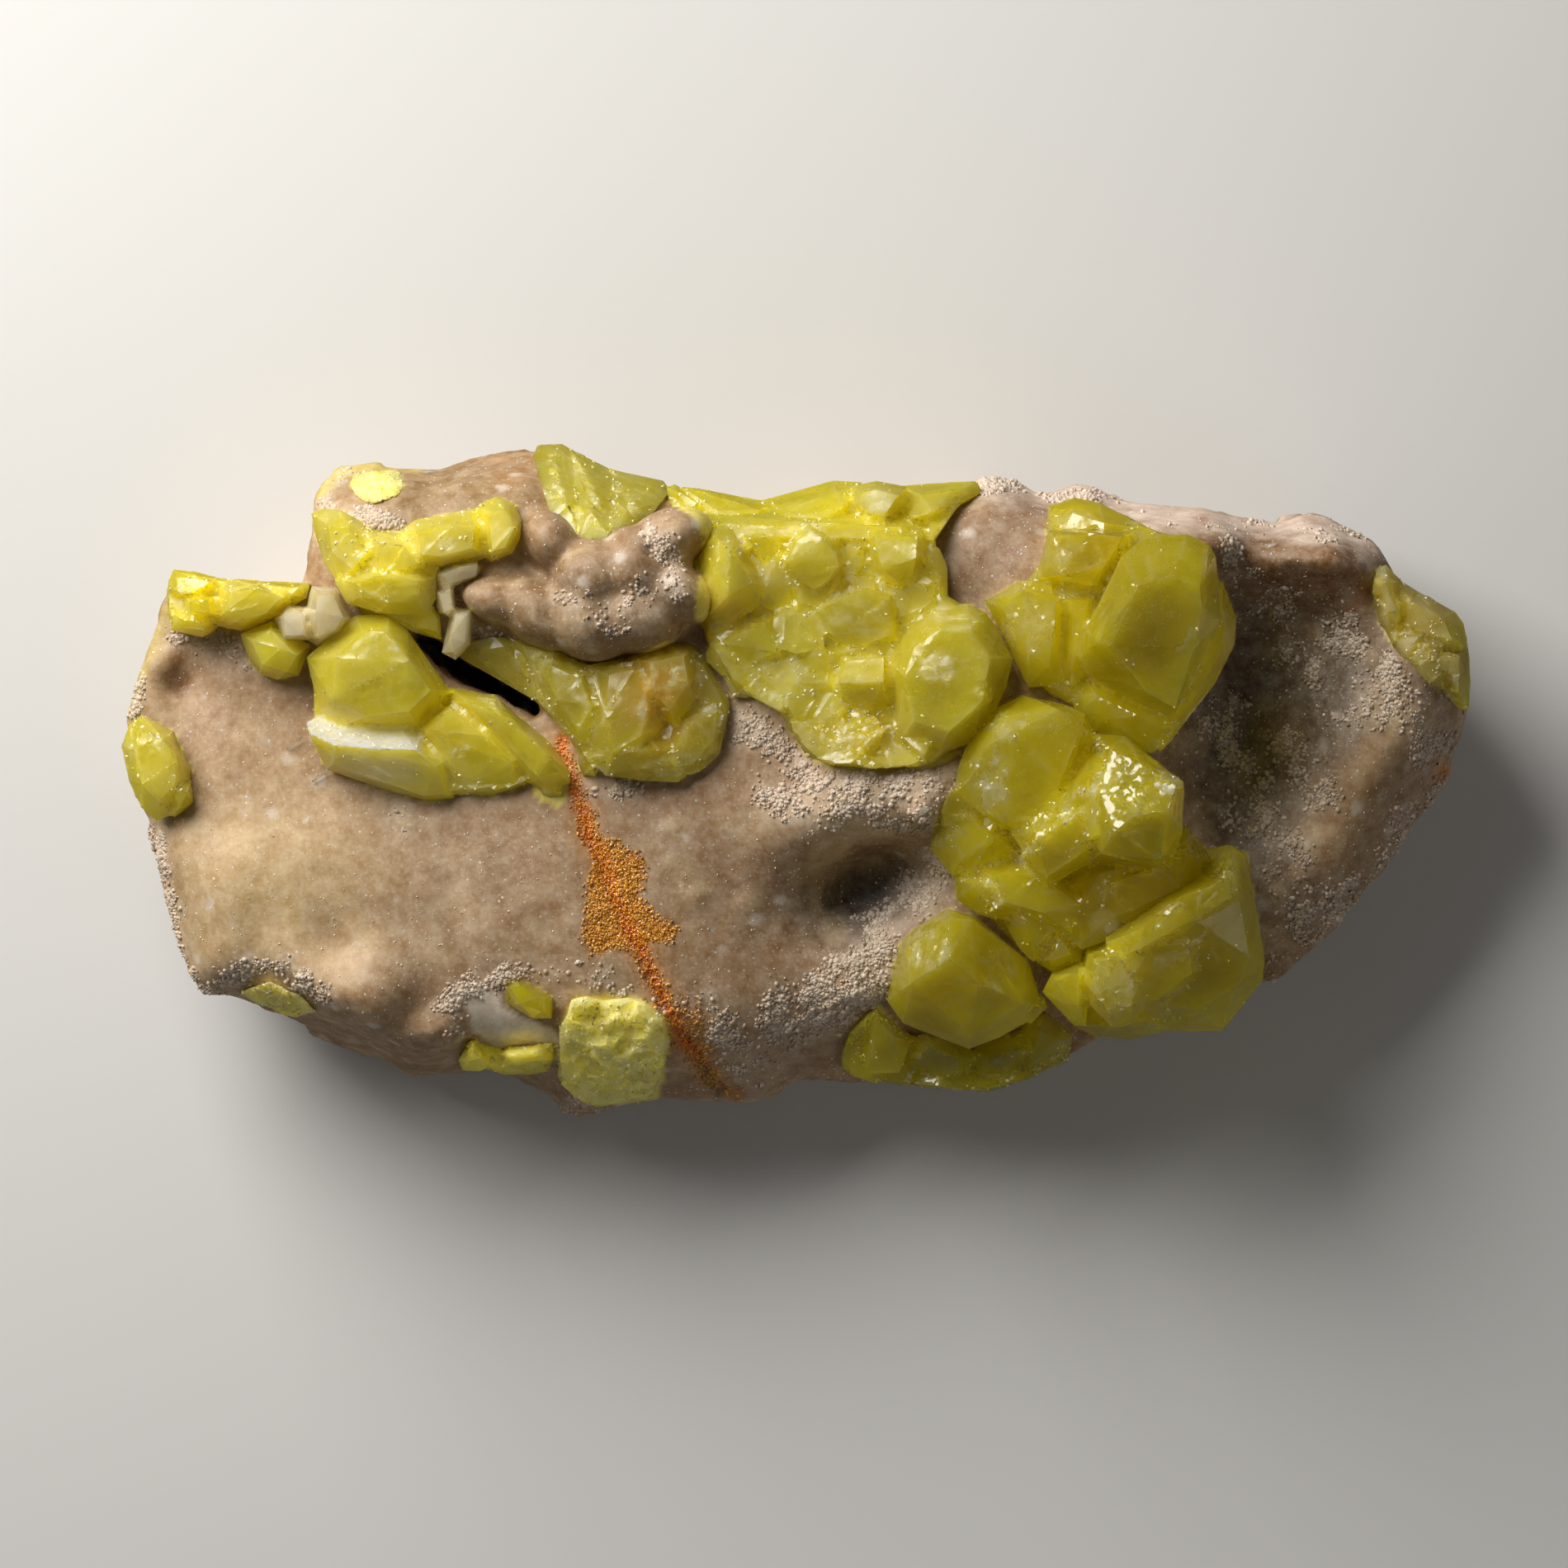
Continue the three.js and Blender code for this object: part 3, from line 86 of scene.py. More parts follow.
# Heights of the rock's front surface inside that outline.
RELIEF = [
  [240,790,25.5],[216,830,24.6],[190,850,27.5],[186,805,28],[262,830,27],[300,860,27.6],[210,1040,27],[245,1100,28.4],
  [330,1080,31],[420,1060,30.2],[520,1040,30.4],[600,1010,30.6],[650,1060,31],[680,1120,30.6],[600,1120,30.4],[500,1130,30],
  [400,1150,29.4],[300,1150,28.6],[270,1182,26.6],[350,1200,25.6],[400,1228,24.6],[450,1250,24],[495,1272,23.4],[540,1272,23.4],
  [500,1230,26.2],[560,1220,27.5],[620,1200,28.5],[640,1150,30],[350,960,28.8],[450,1000,29.5],[280,920,28.2],[260,1000,28.6],
  [420,820,28],[480,900,28.5],[560,930,29.5],[620,900,30],[560,830,29],[400,650,31],[450,680,33],[450,622,33],
  [520,640,34],[600,640,34.5],[560,590,31],[480,592,31],[422,604,30],[640,600,33],[610,580,30],[520,730,32],
  [580,700,34],[700,720,36],[780,700,36],[640,740,34],[830,680,34],[620,800,30],[700,830,31],[780,850,32],
  [850,870,33],[880,920,33.5],[690,585,27],[740,612,30],[790,604,27],[700,640,33],[860,630,28],[900,680,33],
  [900,760,33.5],[980,660,33],[980,760,33.5],[1060,625,29],[1060,680,32.5],[1100,720,33],[1060,800,33.5],[1000,860,33],
  [1100,870,33],[730,990,31.2],[760,1060,30.8],[820,980,32],[850,1040,31.6],[905,895,34],[920,960,34],[960,925,34],
  [900,1030,32],[1000,955,35.5],[1060,962,36],[1116,985,36.5],[1000,1000,35],[960,1020,33.5],[1050,1020,32],[1100,1030,29],
  [1050,1065,24.5],[1000,1080,26.5],[1120,1055,26],[1100,1080,27],[1110,1110,28.5],[1060,1120,27],[1040,1150,27],[1080,1170,27.5],
  [800,1120,30.2],[860,1130,29.6],[930,1110,28.8],[980,1130,27.4],[900,1190,28],[840,1200,28.5],[980,1200,27],[1010,1215,27.5],
  [1060,1200,27],[930,1260,24],[870,1260,25],[820,1240,26],[1000,1270,19],[950,1295,18],[880,1305,20],[1060,1260,19],
  [760,1180,29],[700,1190,28.5],[760,1240,25],[700,1270,22],[770,1300,18],[1180,620,30],[1200,680,33],[1160,700,33],
  [1250,640,32],[1300,660,33],[1200,800,33],[1300,780,33],[1350,740,32],[1400,800,28],[1400,640,33.5],[1480,650,33.5],
  [1560,668,32.5],[1620,665,32.5],[1650,690,31],[1480,700,28],[1560,720,25],[1620,730,26.5],[1500,760,20],[1530,800,17.5],
  [1500,860,18.5],[1460,840,22],[1560,860,20.5],[1600,800,22],[1650,800,25],[1690,780,27.5],[1730,760,28.5],[1740,820,28],
  [1700,850,27],[1640,900,27],[1660,950,27],[1600,960,25.5],[1560,940,22.5],[1480,940,21],[1530,1010,22.5],[1600,1020,26],
  [1640,1000,25.5],[1690,960,24],[1720,900,25.5],[1580,1080,24.5],[1540,1100,22],[1550,1150,18.5],[1480,1000,22],[1230,920,33],
  [1330,950,32],[1300,1050,29],[1400,1040,27],[1200,1050,30],[1180,1120,28],[1250,1130,26],[1350,1150,25],[1450,1130,23],
  [1450,1200,17],[1350,1220,16.5],[1150,1200,25],[1230,1210,20],[1100,1220,24],[1100,1280,15],[1200,1270,14]
]
# Lobes of the raised crust of fine druse: middle, then the three half widths in millimetres.
LOBES = [
  [668,655,35,3.8,3.0,5.5],[722,698,35,5.4,4.8,7.6],[770,690,35,5.4,5.2,8.2],[812,655,34,3.8,5.6,7.2],
  [818,715,35,3.6,5.6,7.8],[772,745,35,5.8,4.6,7.6],[712,752,35,5.8,4.6,7.2],[652,742,34,5.8,3.8,6.2],[602,728,33,4.4,2.8,6.0]
]
# The open crevice: stations along it, with its two edges and the height of its floor.
CREVICE = [
  [[478,752],[482,762],27],[[510,765],[510,784],20],[[540,783],[540,818],15],[[572,806],[566,832],13],
  [[606,822],[604,843],12],[[636,839],[634,862],12],[[657,856],[654,874],15],[[684,900],[679,904],28]
]
# Crusts that hold a group of crystals together: name, thickness over the rock, lowest height, outline.
CRUSTS = [
  ["sulfur_tall_right_crystals",2.2,20,[[1215,745],[1240,712],[1262,690],[1268,652],[1276,616],[1305,606],[1345,618],[1400,645],[1460,668],[1474,720],[1478,790],[1440,850],[1415,890],[1370,892],[1310,858],[1262,832],[1240,800]]],
  ["sulfur_glittery_stack",2.0,16,[[1140,982],[1168,940],[1188,900],[1240,862],[1310,884],[1400,925],[1425,1000],[1455,1045],[1400,1100],[1340,1140],[1306,1160],[1262,1172],[1232,1146],[1200,1112],[1172,1086],[1160,1070],[1160,1046],[1136,1026]]],
  ["sulfur_lower_right_cluster",1.8,13,[[1316,1170],[1392,1130],[1452,1078],[1484,1052],[1506,1062],[1516,1150],[1500,1196],[1466,1222],[1400,1232],[1350,1236],[1302,1232],[1272,1204],[1282,1186]]],
  ["sulfur_main_band",2.8,16,[[812,606],[836,600],[870,612],[930,622],[985,606],[1020,594],[1090,600],[1150,594],[1180,590],[1150,618],[1128,650],[1136,690],[1134,728],[1180,742],[1206,770],[1218,800],[1208,846],[1178,888],[1140,906],[1130,924],[1060,932],[1006,928],[978,906],[960,876],[934,856],[892,838],[878,812],[862,786],[852,748],[850,690],[856,650],[838,628]]],
  ["sulfur_cluster_below_ridge",2.6,18,[[640,794],[672,792],[712,812],[762,803],[806,784],[842,790],[856,800],[870,826],[884,850],[880,880],[872,912],[852,930],[820,941],[776,940],[736,934],[712,932],[700,906],[670,866],[654,826]]],
  ["sulfur_centre_left_cluster",1.8,20,[[380,800],[424,766],[440,752],[470,752],[500,780],[526,818],[548,838],[598,848],[648,892],[680,930],[682,944],[640,945],[600,958],[552,960],[500,958],[440,940],[398,922],[382,884],[388,856]]],
  ["sulfur_upper_left_cluster",1.6,22,[[386,624],[412,624],[440,642],[480,650],[506,636],[560,626],[580,612],[602,607],[624,618],[626,648],[614,668],[588,674],[536,684],[524,700],[522,738],[488,738],[430,728],[410,700],[392,670]]],
  ["sulfur_top_left_ledge",2.2,24,[[208,696],[232,696],[262,702],[310,706],[356,709],[348,728],[334,744],[292,760],[270,757],[252,762],[240,768],[212,762],[204,744],[203,716]]],
  ["sulfur_right_edge_patch",1.3,17,[[1672,682],[1697,706],[1738,731],[1764,746],[1774,784],[1779,824],[1774,866],[1755,843],[1731,829],[1700,796],[1672,752],[1662,716]]],
  ["sulfur_lower_edge_crust",1.6,12,[[1030,1250],[1062,1222],[1090,1250],[1146,1268],[1174,1280],[1212,1266],[1250,1246],[1272,1240],[1290,1256],[1296,1280],[1260,1297],[1225,1312],[1194,1322],[1163,1321],[1122,1316],[1064,1312],[1020,1296]]],
  ["sulfur_bottom_patch",1.6,11,[[678,1246],[692,1212],[712,1207],[773,1211],[806,1232],[812,1262],[798,1294],[794,1326],[752,1336],[724,1342],[700,1330],[676,1306]]],
  ["sulfur_bottom_edge_strip",1.4,12,[[560,1280],[571,1260],[588,1266],[608,1272],[648,1268],[670,1262],[672,1282],[664,1298],[628,1302],[592,1294],[566,1294]]],
  ["sulfur_lower_left_patch",1.1,15,[[289,1204],[306,1196],[327,1190],[352,1202],[374,1216],[386,1226],[362,1232],[347,1228],[311,1216]]],
  ["sulfur_top_left_patch",0.9,18,[[424,590],[430,574],[455,571],[488,575],[491,590],[470,605],[442,608]]]
]
# Crystals: name, group, height of the rim, depth of the root, rim (with its own height where given), then the corners of the upper faces.
CRYSTALS = [
  ["s2","sulfur_tall_right_crystals",38,24,[[1384,654,43],[1404,648,43],[1439,648,43],[1465,660,43],[1473,674,42],[1476,703,42],[1479,752,40],[1459,786,40],[1445,813,39],[1422,870,38],[1390,854,38],[1363,844,38],[1335,829,38],[1314,815,38],[1306,795,39],[1314,764,41],[1331,733,43],[1355,695,43.6],[1359,674,43]],[[1380,712,49.6],[1398,703,50],[1421,701,50],[1454,712,49.4],[1457,735,49],[1446,786,46.4],[1424,858,42],[1388,838,43],[1345,784,46],[1330,779,45.4]]],
  ["s1","sulfur_tall_right_crystals",36,26,[[1271,642],[1326,638],[1373,644],[1349,689],[1329,714],[1282,703],[1254,700],[1263,678]],[[1322,646,42.5],[1360,650,42],[1338,686,41.4],[1322,706,39.4],[1286,697,40.6],[1276,650,38.4]]],
  ["pale_mass","sulfur_tall_right_crystals",31,24,[[1271,613],[1302,603],[1333,609],[1361,629],[1394,642],[1330,655],[1266,650]],[[1300,622,35],[1338,634,37],[1288,640,35.4]],[0,20,0.7]],
  ["r1","sulfur_tall_right_crystals",35,26,[[1193,728],[1234,704],[1291,720],[1295,751],[1281,792],[1285,831],[1246,833],[1230,798],[1209,757]],[[1214,736,38.6],[1240,716,39.6],[1280,730,40],[1276,770,40],[1272,806,38.6],[1248,794,38.6]]],
  ["r2","sulfur_tall_right_crystals",35,26,[[1281,722],[1330,716],[1331,733],[1314,764],[1306,795],[1314,815],[1296,838],[1281,820],[1280,770]],[[1300,730,39],[1316,734,39.4],[1300,780,38.4],[1298,812,37.4]]],
  ["s3","sulfur_tall_right_crystals",35,24,[[1470,700],[1482,706],[1498,750],[1496,782],[1472,829],[1440,866],[1420,895],[1406,914],[1398,884],[1432,800]],[[1482,740,38],[1482,786,37.4],[1450,836,36],[1416,888,35]],[-30,0,0.6]],
  ["s4","sulfur_tall_right_crystals",34,24,[[1297,840],[1314,818],[1363,844],[1422,870],[1436,868],[1420,898],[1395,913],[1363,898],[1325,890],[1304,866]],[[1330,844,37.4],[1376,866,37.4],[1410,884,36.4],[1340,872,36]]],
  ["t2b","sulfur_glittery_stack",38,24,[[1329,889],[1363,892],[1387,913],[1435,949,45],[1433,1009,42],[1418,1054,40],[1370,1048],[1323,1044],[1308,1000],[1318,940]],[[1345,908,45.4],[1384,926,47.4],[1424,954,48.4],[1415,984,49],[1381,984,49.4],[1352,1006,48.4],[1332,960,46.6],[1406,1042,44.6],[1334,1034,44]]],
  ["t1","sulfur_glittery_stack",37,26,[[1184,885],[1208,858],[1239,842],[1260,847],[1291,854],[1315,865],[1329,896],[1304,960],[1270,1012],[1232,1008],[1208,1001],[1158,960],[1160,934],[1170,906]],[[1229,886,45],[1284,860,44.4],[1312,878,44.6],[1284,950,43.4],[1266,992,40.6],[1218,996,39.4],[1194,906,42],[1176,944,39.4],[1214,868,42.4]]],
  ["t2a","sulfur_glittery_stack",37,24,[[1236,1037],[1250,1010],[1300,975],[1332,958],[1326,1010],[1324,1044],[1267,1075]],[[1256,1020,42.4],[1308,986,45],[1318,1026,43],[1270,1062,40.4]]],
  ["t3","sulfur_glittery_stack",33,20,[[1280,1082],[1322,1040],[1411,1050],[1439,1002],[1470,1040],[1440,1090],[1370,1130],[1310,1151],[1285,1120]],[[1330,1060,37.6],[1400,1064,38],[1438,1026,37.6],[1360,1112,34.6],[1306,1110,35.4]]],
  ["tl","sulfur_glittery_stack",32,24,[[1137,976],[1160,962],[1200,998],[1234,1012],[1237,1037],[1205,1052],[1175,1063],[1152,1060],[1152,1040],[1127,1028],[1129,1000]],[[1162,984,36],[1206,1014,37],[1166,1042,34.6],[1142,1000,34.6]]],
  ["tm","sulfur_glittery_stack",31,22,[[1157,1066],[1195,1056],[1240,1066],[1238,1095],[1206,1114],[1183,1106],[1159,1090]],[[1180,1072,34.6],[1216,1076,35],[1200,1100,33]]],
  ["tn","sulfur_glittery_stack",30,20,[[1216,1118],[1238,1092],[1275,1080],[1297,1115],[1277,1150],[1252,1166],[1235,1150]],[[1240,1106,34.4],[1270,1098,35],[1278,1124,34],[1252,1150,32]]],
  ["to","sulfur_glittery_stack",29,20,[[1285,1122],[1313,1149],[1309,1166],[1274,1178],[1254,1164],[1270,1138]],[[1286,1138,32.6],[1298,1156,32],[1272,1164,31.4]]],
  ["u1","sulfur_lower_right_cluster",31,12,[[1490,1023,35],[1511,1035,35],[1521,1095,34],[1533,1164,33],[1530,1188,30],[1482,1249,26],[1442,1250,26],[1416,1249,26],[1372,1222],[1385,1150],[1450,1105],[1480,1060]],[[1492,1048,40],[1502,1092,39.6],[1514,1160,36.6],[1498,1196,34.6],[1450,1226,33.6],[1400,1212,35.4],[1402,1152,39.4],[1452,1118,40.6]],[-60,-50,0.45]],
  ["u2","sulfur_lower_right_cluster",36,20,[[1340,1142],[1366,1126],[1422,1085],[1463,1061],[1494,1058],[1501,1089],[1450,1119],[1384,1160],[1344,1164]],[[1386,1124,41.4],[1425,1094,42.4],[1456,1078,42.6],[1488,1064,42.2],[1492,1084,41.6],[1448,1112,42],[1382,1150,41]],[-20,-30,0.7]],
  ["u3","sulfur_lower_right_cluster",34,14,[[1318,1157],[1350,1145],[1384,1182],[1390,1215],[1373,1240],[1349,1247],[1322,1219],[1312,1190]],[[1334,1168,39.6],[1356,1160,40.6],[1374,1190,40],[1370,1218,38.6],[1346,1228,37.4],[1328,1206,38.6]],[-10,-50,0.5]],
  ["u4","sulfur_lower_right_cluster",31,14,[[1263,1202],[1273,1182],[1308,1168],[1320,1190],[1316,1243],[1301,1243],[1287,1226]],[[1280,1190,35],[1306,1178,36.4],[1308,1220,34.6],[1292,1216,34]],[10,-40,0.5]],
  ["u5","sulfur_lower_right_cluster",26,12,[[1320,1216],[1349,1240],[1416,1236],[1425,1247,24],[1370,1259,24],[1329,1257,24],[1301,1243,24]],[[1350,1242,31],[1390,1238,31.4]],[0,-60,0.5]],
  ["v1","sulfur_lower_crystal",27,16,[[1148,1101,31],[1180,1109,31],[1215,1140,30],[1246,1164,29],[1263,1219],[1246,1237],[1211,1257],[1174,1271],[1146,1257],[1094,1240],[1075,1213],[1086,1147],[1105,1126,29]],[[1150,1162,40],[1149,1112,36.6],[1178,1114,36],[1186,1192,38],[1240,1216,32.6],[1104,1192,36.4],[1098,1150,34],[1176,1256,31.6]],[0,-30,0.6]],
  ["v2","sulfur_lower_crystal",26,16,[[1244,1212],[1266,1210],[1268,1222],[1250,1240],[1236,1238]],[[1254,1219,30],[1246,1228,29.4]],[-10,-20,0.6]],
  ["q1","sulfur_main_band",36,26,[[1072,798],[1099,755],[1136,737],[1172,731],[1193,741],[1213,767],[1228,798],[1219,833],[1201,873],[1181,898],[1138,915],[1111,910],[1085,906],[1081,873],[1079,816]],[[1108,784,42.4],[1140,762,43.6],[1176,762,43.8],[1200,798,43.8],[1190,850,43],[1150,886,41.6],[1108,874,41.4],[1096,820,42.6]]],
  ["m1","sulfur_main_band",35,26,[[980,631],[1002,646],[1018,664],[1024,686],[1008,711],[988,723],[967,715],[947,693],[945,674],[961,646]],[[982,643,40],[1001,655,41],[1013,672,41],[1016,686,40.6],[1002,704,39.4],[986,714,38.6],[966,702,39],[954,682,39.8],[966,656,40]]],
  ["k1","sulfur_main_band",35,26,[[861,642],[873,635],[888,638],[896,662],[922,691],[935,711],[933,727],[914,746],[882,764],[861,766],[841,750],[840,742],[843,711],[849,682],[849,658]],[[886,668,42.4],[867,690,41],[882,723,41.6],[912,706,40.4],[905,732,38.6],[862,744,38.4],[868,652,39]]],
  ["tz","sulfur_main_band",35,26,[[1018,797],[1073,791],[1080,830],[1079,862],[1050,872],[1020,862],[1011,830]],[[1024,801,37.4],[1071,797,38],[1070,826,40],[1018,828,39.4],[1070,858,36],[1030,860,35.8]]],
  ["y1","sulfur_main_band",34.6,26,[[1047,640],[1120,642],[1126,670],[1100,726],[1075,721],[1051,682]],[[1058,650,38],[1112,650,39],[1110,676,39.4],[1088,706,37.6],[1070,690,38.4]]],
  ["hx","sulfur_main_band",30,24,[[1033,590],[1062,583],[1100,590],[1096,615],[1076,636],[1048,634],[1033,612]],[[1044,598,34.6],[1061,594,34.4],[1088,600,34.8],[1071,626,36],[1053,623,36],[1040,609,35.4]],[0,20,0.8]],
  ["sl","sulfur_main_band",35,26,[[986,728],[1045,707],[1082,717],[1096,748],[1088,786],[1035,797],[1012,782],[971,756]],[[998,736,38],[1045,715,39],[1076,728,39.4],[1082,768,38],[1036,786,36.6],[1008,768,37.2]]],
  ["tri","sulfur_main_band",34.6,26,[[894,640],[922,638],[954,655],[948,690],[930,702],[902,668]],[[903,650,37],[922,648,37.4],[944,660,37],[931,684,36.4]]],
  ["o1","sulfur_main_band",34.6,26,[[1112,668],[1137,664],[1148,690],[1148,735],[1120,742],[1100,718]],[[1128,676,37],[1138,700,37],[1128,728,36]]],
  ["gap1","sulfur_main_band",34.2,26,[[1012,634],[1050,640],[1060,690],[1044,712],[1014,706],[1020,660]],[[1034,650,36],[1046,680,36],[1030,700,36]]],
  ["n1","sulfur_main_band",25,20,[[808,590],[818,587],[861,612],[850,622],[830,624],[810,608]],[[822,596,29],[848,612,30],[832,616,30]],[0,25,0.7]],
  ["n2","sulfur_main_band",26,20,[[828,590],[847,592],[876,606],[900,609],[938,609],[936,640],[900,650],[864,642],[838,626]],[[868,618,31],[920,618,31],[916,636,33],[870,632,32]],[0,25,0.7]],
  ["n3","sulfur_main_band",26,20,[[905,611],[933,609],[953,606],[980,593],[1005,593],[1011,582],[1044,584],[1042,612],[1002,642],[960,642],[922,640]],[[976,608,31],[1014,596,30],[1022,614,33],[990,630,34],[946,628,33]],[0,30,0.7]],
  ["n4","sulfur_main_band",26,20,[[1090,589],[1120,586],[1157,584],[1184,583],[1190,596],[1155,615],[1128,646],[1090,634]],[[1116,600,31],[1156,594,29.4],[1130,620,34],[1104,628,34]],[0,30,0.7]],
  ["o2","sulfur_main_band",34.6,26,[[855,791],[867,766],[902,756],[926,740],[951,744],[953,805],[920,803],[875,819],[857,803]],[[878,780,37],[926,753,38],[942,790,37.4],[905,794,36.6]]],
  ["o3","sulfur_main_band",34.2,26,[[875,819],[914,801],[949,807],[935,831],[904,846],[888,844]],[[900,818,35.6],[932,816,35.8],[904,836,34.8]]],
  ["o4","sulfur_main_band",34.6,26,[[949,744],[988,758],[1014,785],[1018,830],[992,847],[950,842],[938,808]],[[966,766,36.8],[1000,792,37.2],[1002,826,36.4],[960,828,36]]],
  ["b1","sulfur_main_band",34.2,26,[[938,852],[990,845],[1012,880],[1003,932],[976,914],[956,882]],[[968,866,35.4],[996,880,36],[990,908,35]]],
  ["b2","sulfur_main_band",34.2,26,[[998,862],[1046,866],[1062,900],[1044,938],[1002,932],[993,900]],[[1014,876,36.4],[1042,882,36.6],[1036,922,35],[1010,914,35.4]]],
  ["b3","sulfur_main_band",34.2,26,[[1044,866],[1086,870],[1100,910],[1080,934],[1042,938],[1050,900]],[[1064,880,36],[1084,896,36],[1072,922,34.6]]],
  ["b4","sulfur_main_band",33.4,26,[[1084,904],[1111,910],[1140,912],[1174,906],[1152,925],[1112,935],[1086,930]],[[1108,916,34],[1140,916,34]]],
  ["d3","sulfur_cluster_below_ridge",34,26,[[761,797],[806,775],[838,780],[848,790],[856,815],[846,856],[820,884],[785,856]],[[790,802,38.6],[828,794,38.8],[834,828,39],[812,860,38],[786,836,38.4]]],
  ["d2","sulfur_cluster_below_ridge",34,26,[[712,806],[761,797],[800,820],[804,880],[772,920],[735,938],[713,900],[720,850]],[[738,818,37],[768,812,38],[786,852,38.2],[776,892,37.4],[742,912,36.4],[734,868,37.4]]],
  ["d1","sulfur_cluster_below_ridge",33,24,[[640,790],[672,786],[712,806],[737,850],[724,902],[700,900],[664,863],[650,822]],[[668,806,35.6],[704,824,36.4],[716,856,36.6],[702,884,35.4],[676,848,36]]],
  ["d4","sulfur_cluster_below_ridge",34,26,[[818,872],[846,856],[866,848],[880,850],[880,880],[872,914],[852,932],[821,943],[800,920]],[[842,874,37],[868,864,36.6],[866,896,36.4],[840,924,35.4],[816,912,36]]],
  ["d5","sulfur_cluster_below_ridge",34,26,[[730,898],[780,888],[830,900],[836,938],[821,948],[777,946],[733,940],[716,918]],[[752,912,36.4],[800,908,36.8],[816,928,35.8],[770,932,35.4]]],
  ["d6","sulfur_cluster_below_ridge",31,26,[[700,904],[714,908],[727,926],[722,942],[706,940],[700,924]],[[710,914,34],[718,930,34]]],
  ["d0","sulfur_cluster_below_ridge",28,20,[[566,792],[603,780],[640,786],[662,800],[652,838],[630,832]],[[600,792,31],[636,798,33],[640,820,32]]],
  ["a1","sulfur_centre_left_cluster",32,24,[[371,797],[395,778],[419,761],[431,745],[471,745],[495,765],[516,797],[544,837],[532,853],[504,878],[459,880],[411,882],[387,861]],[[408,796,37.4],[440,764,37.6],[470,766,38.2],[496,800,38.6],[522,836,37],[496,862,36.4],[444,868,36],[404,848,36.6]]],
  ["tab","sulfur_centre_left_cluster",31,22,[[371,876,31.5],[385,868,30.5],[411,878,31],[483,876,31],[509,892,32],[536,924,33],[554,969,29],[516,972,29],[463,956,29.5],[395,932,30]],[[375,890,34.6],[407,904,36],[439,906,36.4],[504,909,36.8],[528,930,35.4],[540,962,32.4],[512,964,32.2],[464,948,32.8],[404,926,33.4]]],
  ["d8","sulfur_centre_left_cluster",31,24,[[546,833],[570,839],[599,841],[615,859],[633,873],[660,894],[676,912],[691,935],[691,949],[664,961],[640,949],[629,916],[601,892],[570,869],[546,851]],[[566,850,36.6],[602,862,37.4],[640,892,37.6],[668,918,37],[680,940,34.6],[652,942,35],[612,888,36.4]]],
  ["dg","sulfur_centre_left_cluster",30,24,[[499,882],[544,851],[570,868],[603,892],[630,914],[640,953],[591,967],[556,961],[521,896]],[[520,884,35],[546,860,35.6],[588,892,35.4],[620,924,34.4],[622,948,32.6],[564,950,32.4]]],
  ["bit1","sulfur_centre_left_cluster",28,25,[[640,950],[690,945],[692,962],[680,980],[652,972]],[[660,960,32],[680,962,31.6]]],
  ["c_round","sulfur_upper_left_cluster",35,28,[[586,632],[576,614],[601,601],[623,610],[632,630],[632,650],[621,671],[595,681],[586,675]],[[594,620,39.4],[612,616,40],[624,638,40.4],[612,664,39.6],[596,668,39.4]]],
  ["ul_c","sulfur_upper_left_cluster",35,28,[[482,646],[503,630],[544,622],[572,616],[588,632],[588,673],[535,685],[505,686]],[[506,644,39],[548,636,40],[574,640,40],[572,664,39.6],[532,674,39.4],[510,672,39]]],
  ["ul_b","sulfur_upper_left_cluster",34,24,[[405,702],[440,686],[500,684],[530,700],[529,724],[517,746],[486,744],[458,742],[421,732]],[[428,706,37.4],[462,698,38.6],[506,704,38.8],[506,728,37.2],[470,730,36.8],[436,724,36.4]]],
  ["ul_a","sulfur_upper_left_cluster",33,24,[[377,622,29],[391,616,30],[413,618],[444,636],[470,660],[452,700],[410,706],[393,683,30],[380,642,29]],[[398,636,36],[424,640,37],[446,668,37.4],[426,690,36.6],[402,668,36]],[20,0,0.7]],
  ["ul_d","sulfur_upper_left_cluster",34,26,[[438,640],[482,644],[522,660],[525,693],[480,708],[440,702],[428,670]],[[456,656,38],[490,662,38.6],[506,682,38.4],[470,694,37.6]]],
  ["c2","calcite_pair",31,25,[[378,710],[407,713],[426,748],[415,768],[385,783],[374,776],[372,735],[375,719]],[[386,720,37.6],[404,722,38],[416,748,38],[406,764,36.6],[386,770,36.4],[382,742,37.6]]],
  ["c1","calcite_pair",31,25,[[332,750],[348,733],[371,735],[376,776],[342,778],[336,762]],[[344,746,36.4],[366,742,37],[368,770,36],[346,770,35.4]]],
  ["sm1","sulfur_small_crystals_by_calcite",29,25,[[291,768],[330,752],[342,778],[377,782],[366,803],[362,819],[336,824],[315,817],[303,801],[295,782]],[[304,776,33],[328,764,34],[340,786,34.4],[360,794,34],[348,814,32.6],[318,806,32.8]]],
  ["l1","sulfur_top_left_ledge",30,23,[[262,713],[286,701],[313,703],[352,721],[351,731],[336,746],[291,764],[273,761],[260,754]],[[278,716,35.6],[312,712,36.4],[338,726,36],[324,742,35],[288,752,34.6],[272,742,35.2]],[0,10,0.7]],
  ["l2","sulfur_top_left_ledge",30,22,[[222,723],[240,719],[262,721],[264,748],[242,750],[224,748]],[[230,728,34.6],[252,727,35],[254,742,34.6],[232,742,34.2]]],
  ["l3","sulfur_top_left_ledge",29,24,[[211,744],[242,746],[260,752],[255,766],[246,772],[207,764]],[[218,750,33],[246,754,33.4],[246,764,32.4],[218,760,32]],[20,-5,0.7]],
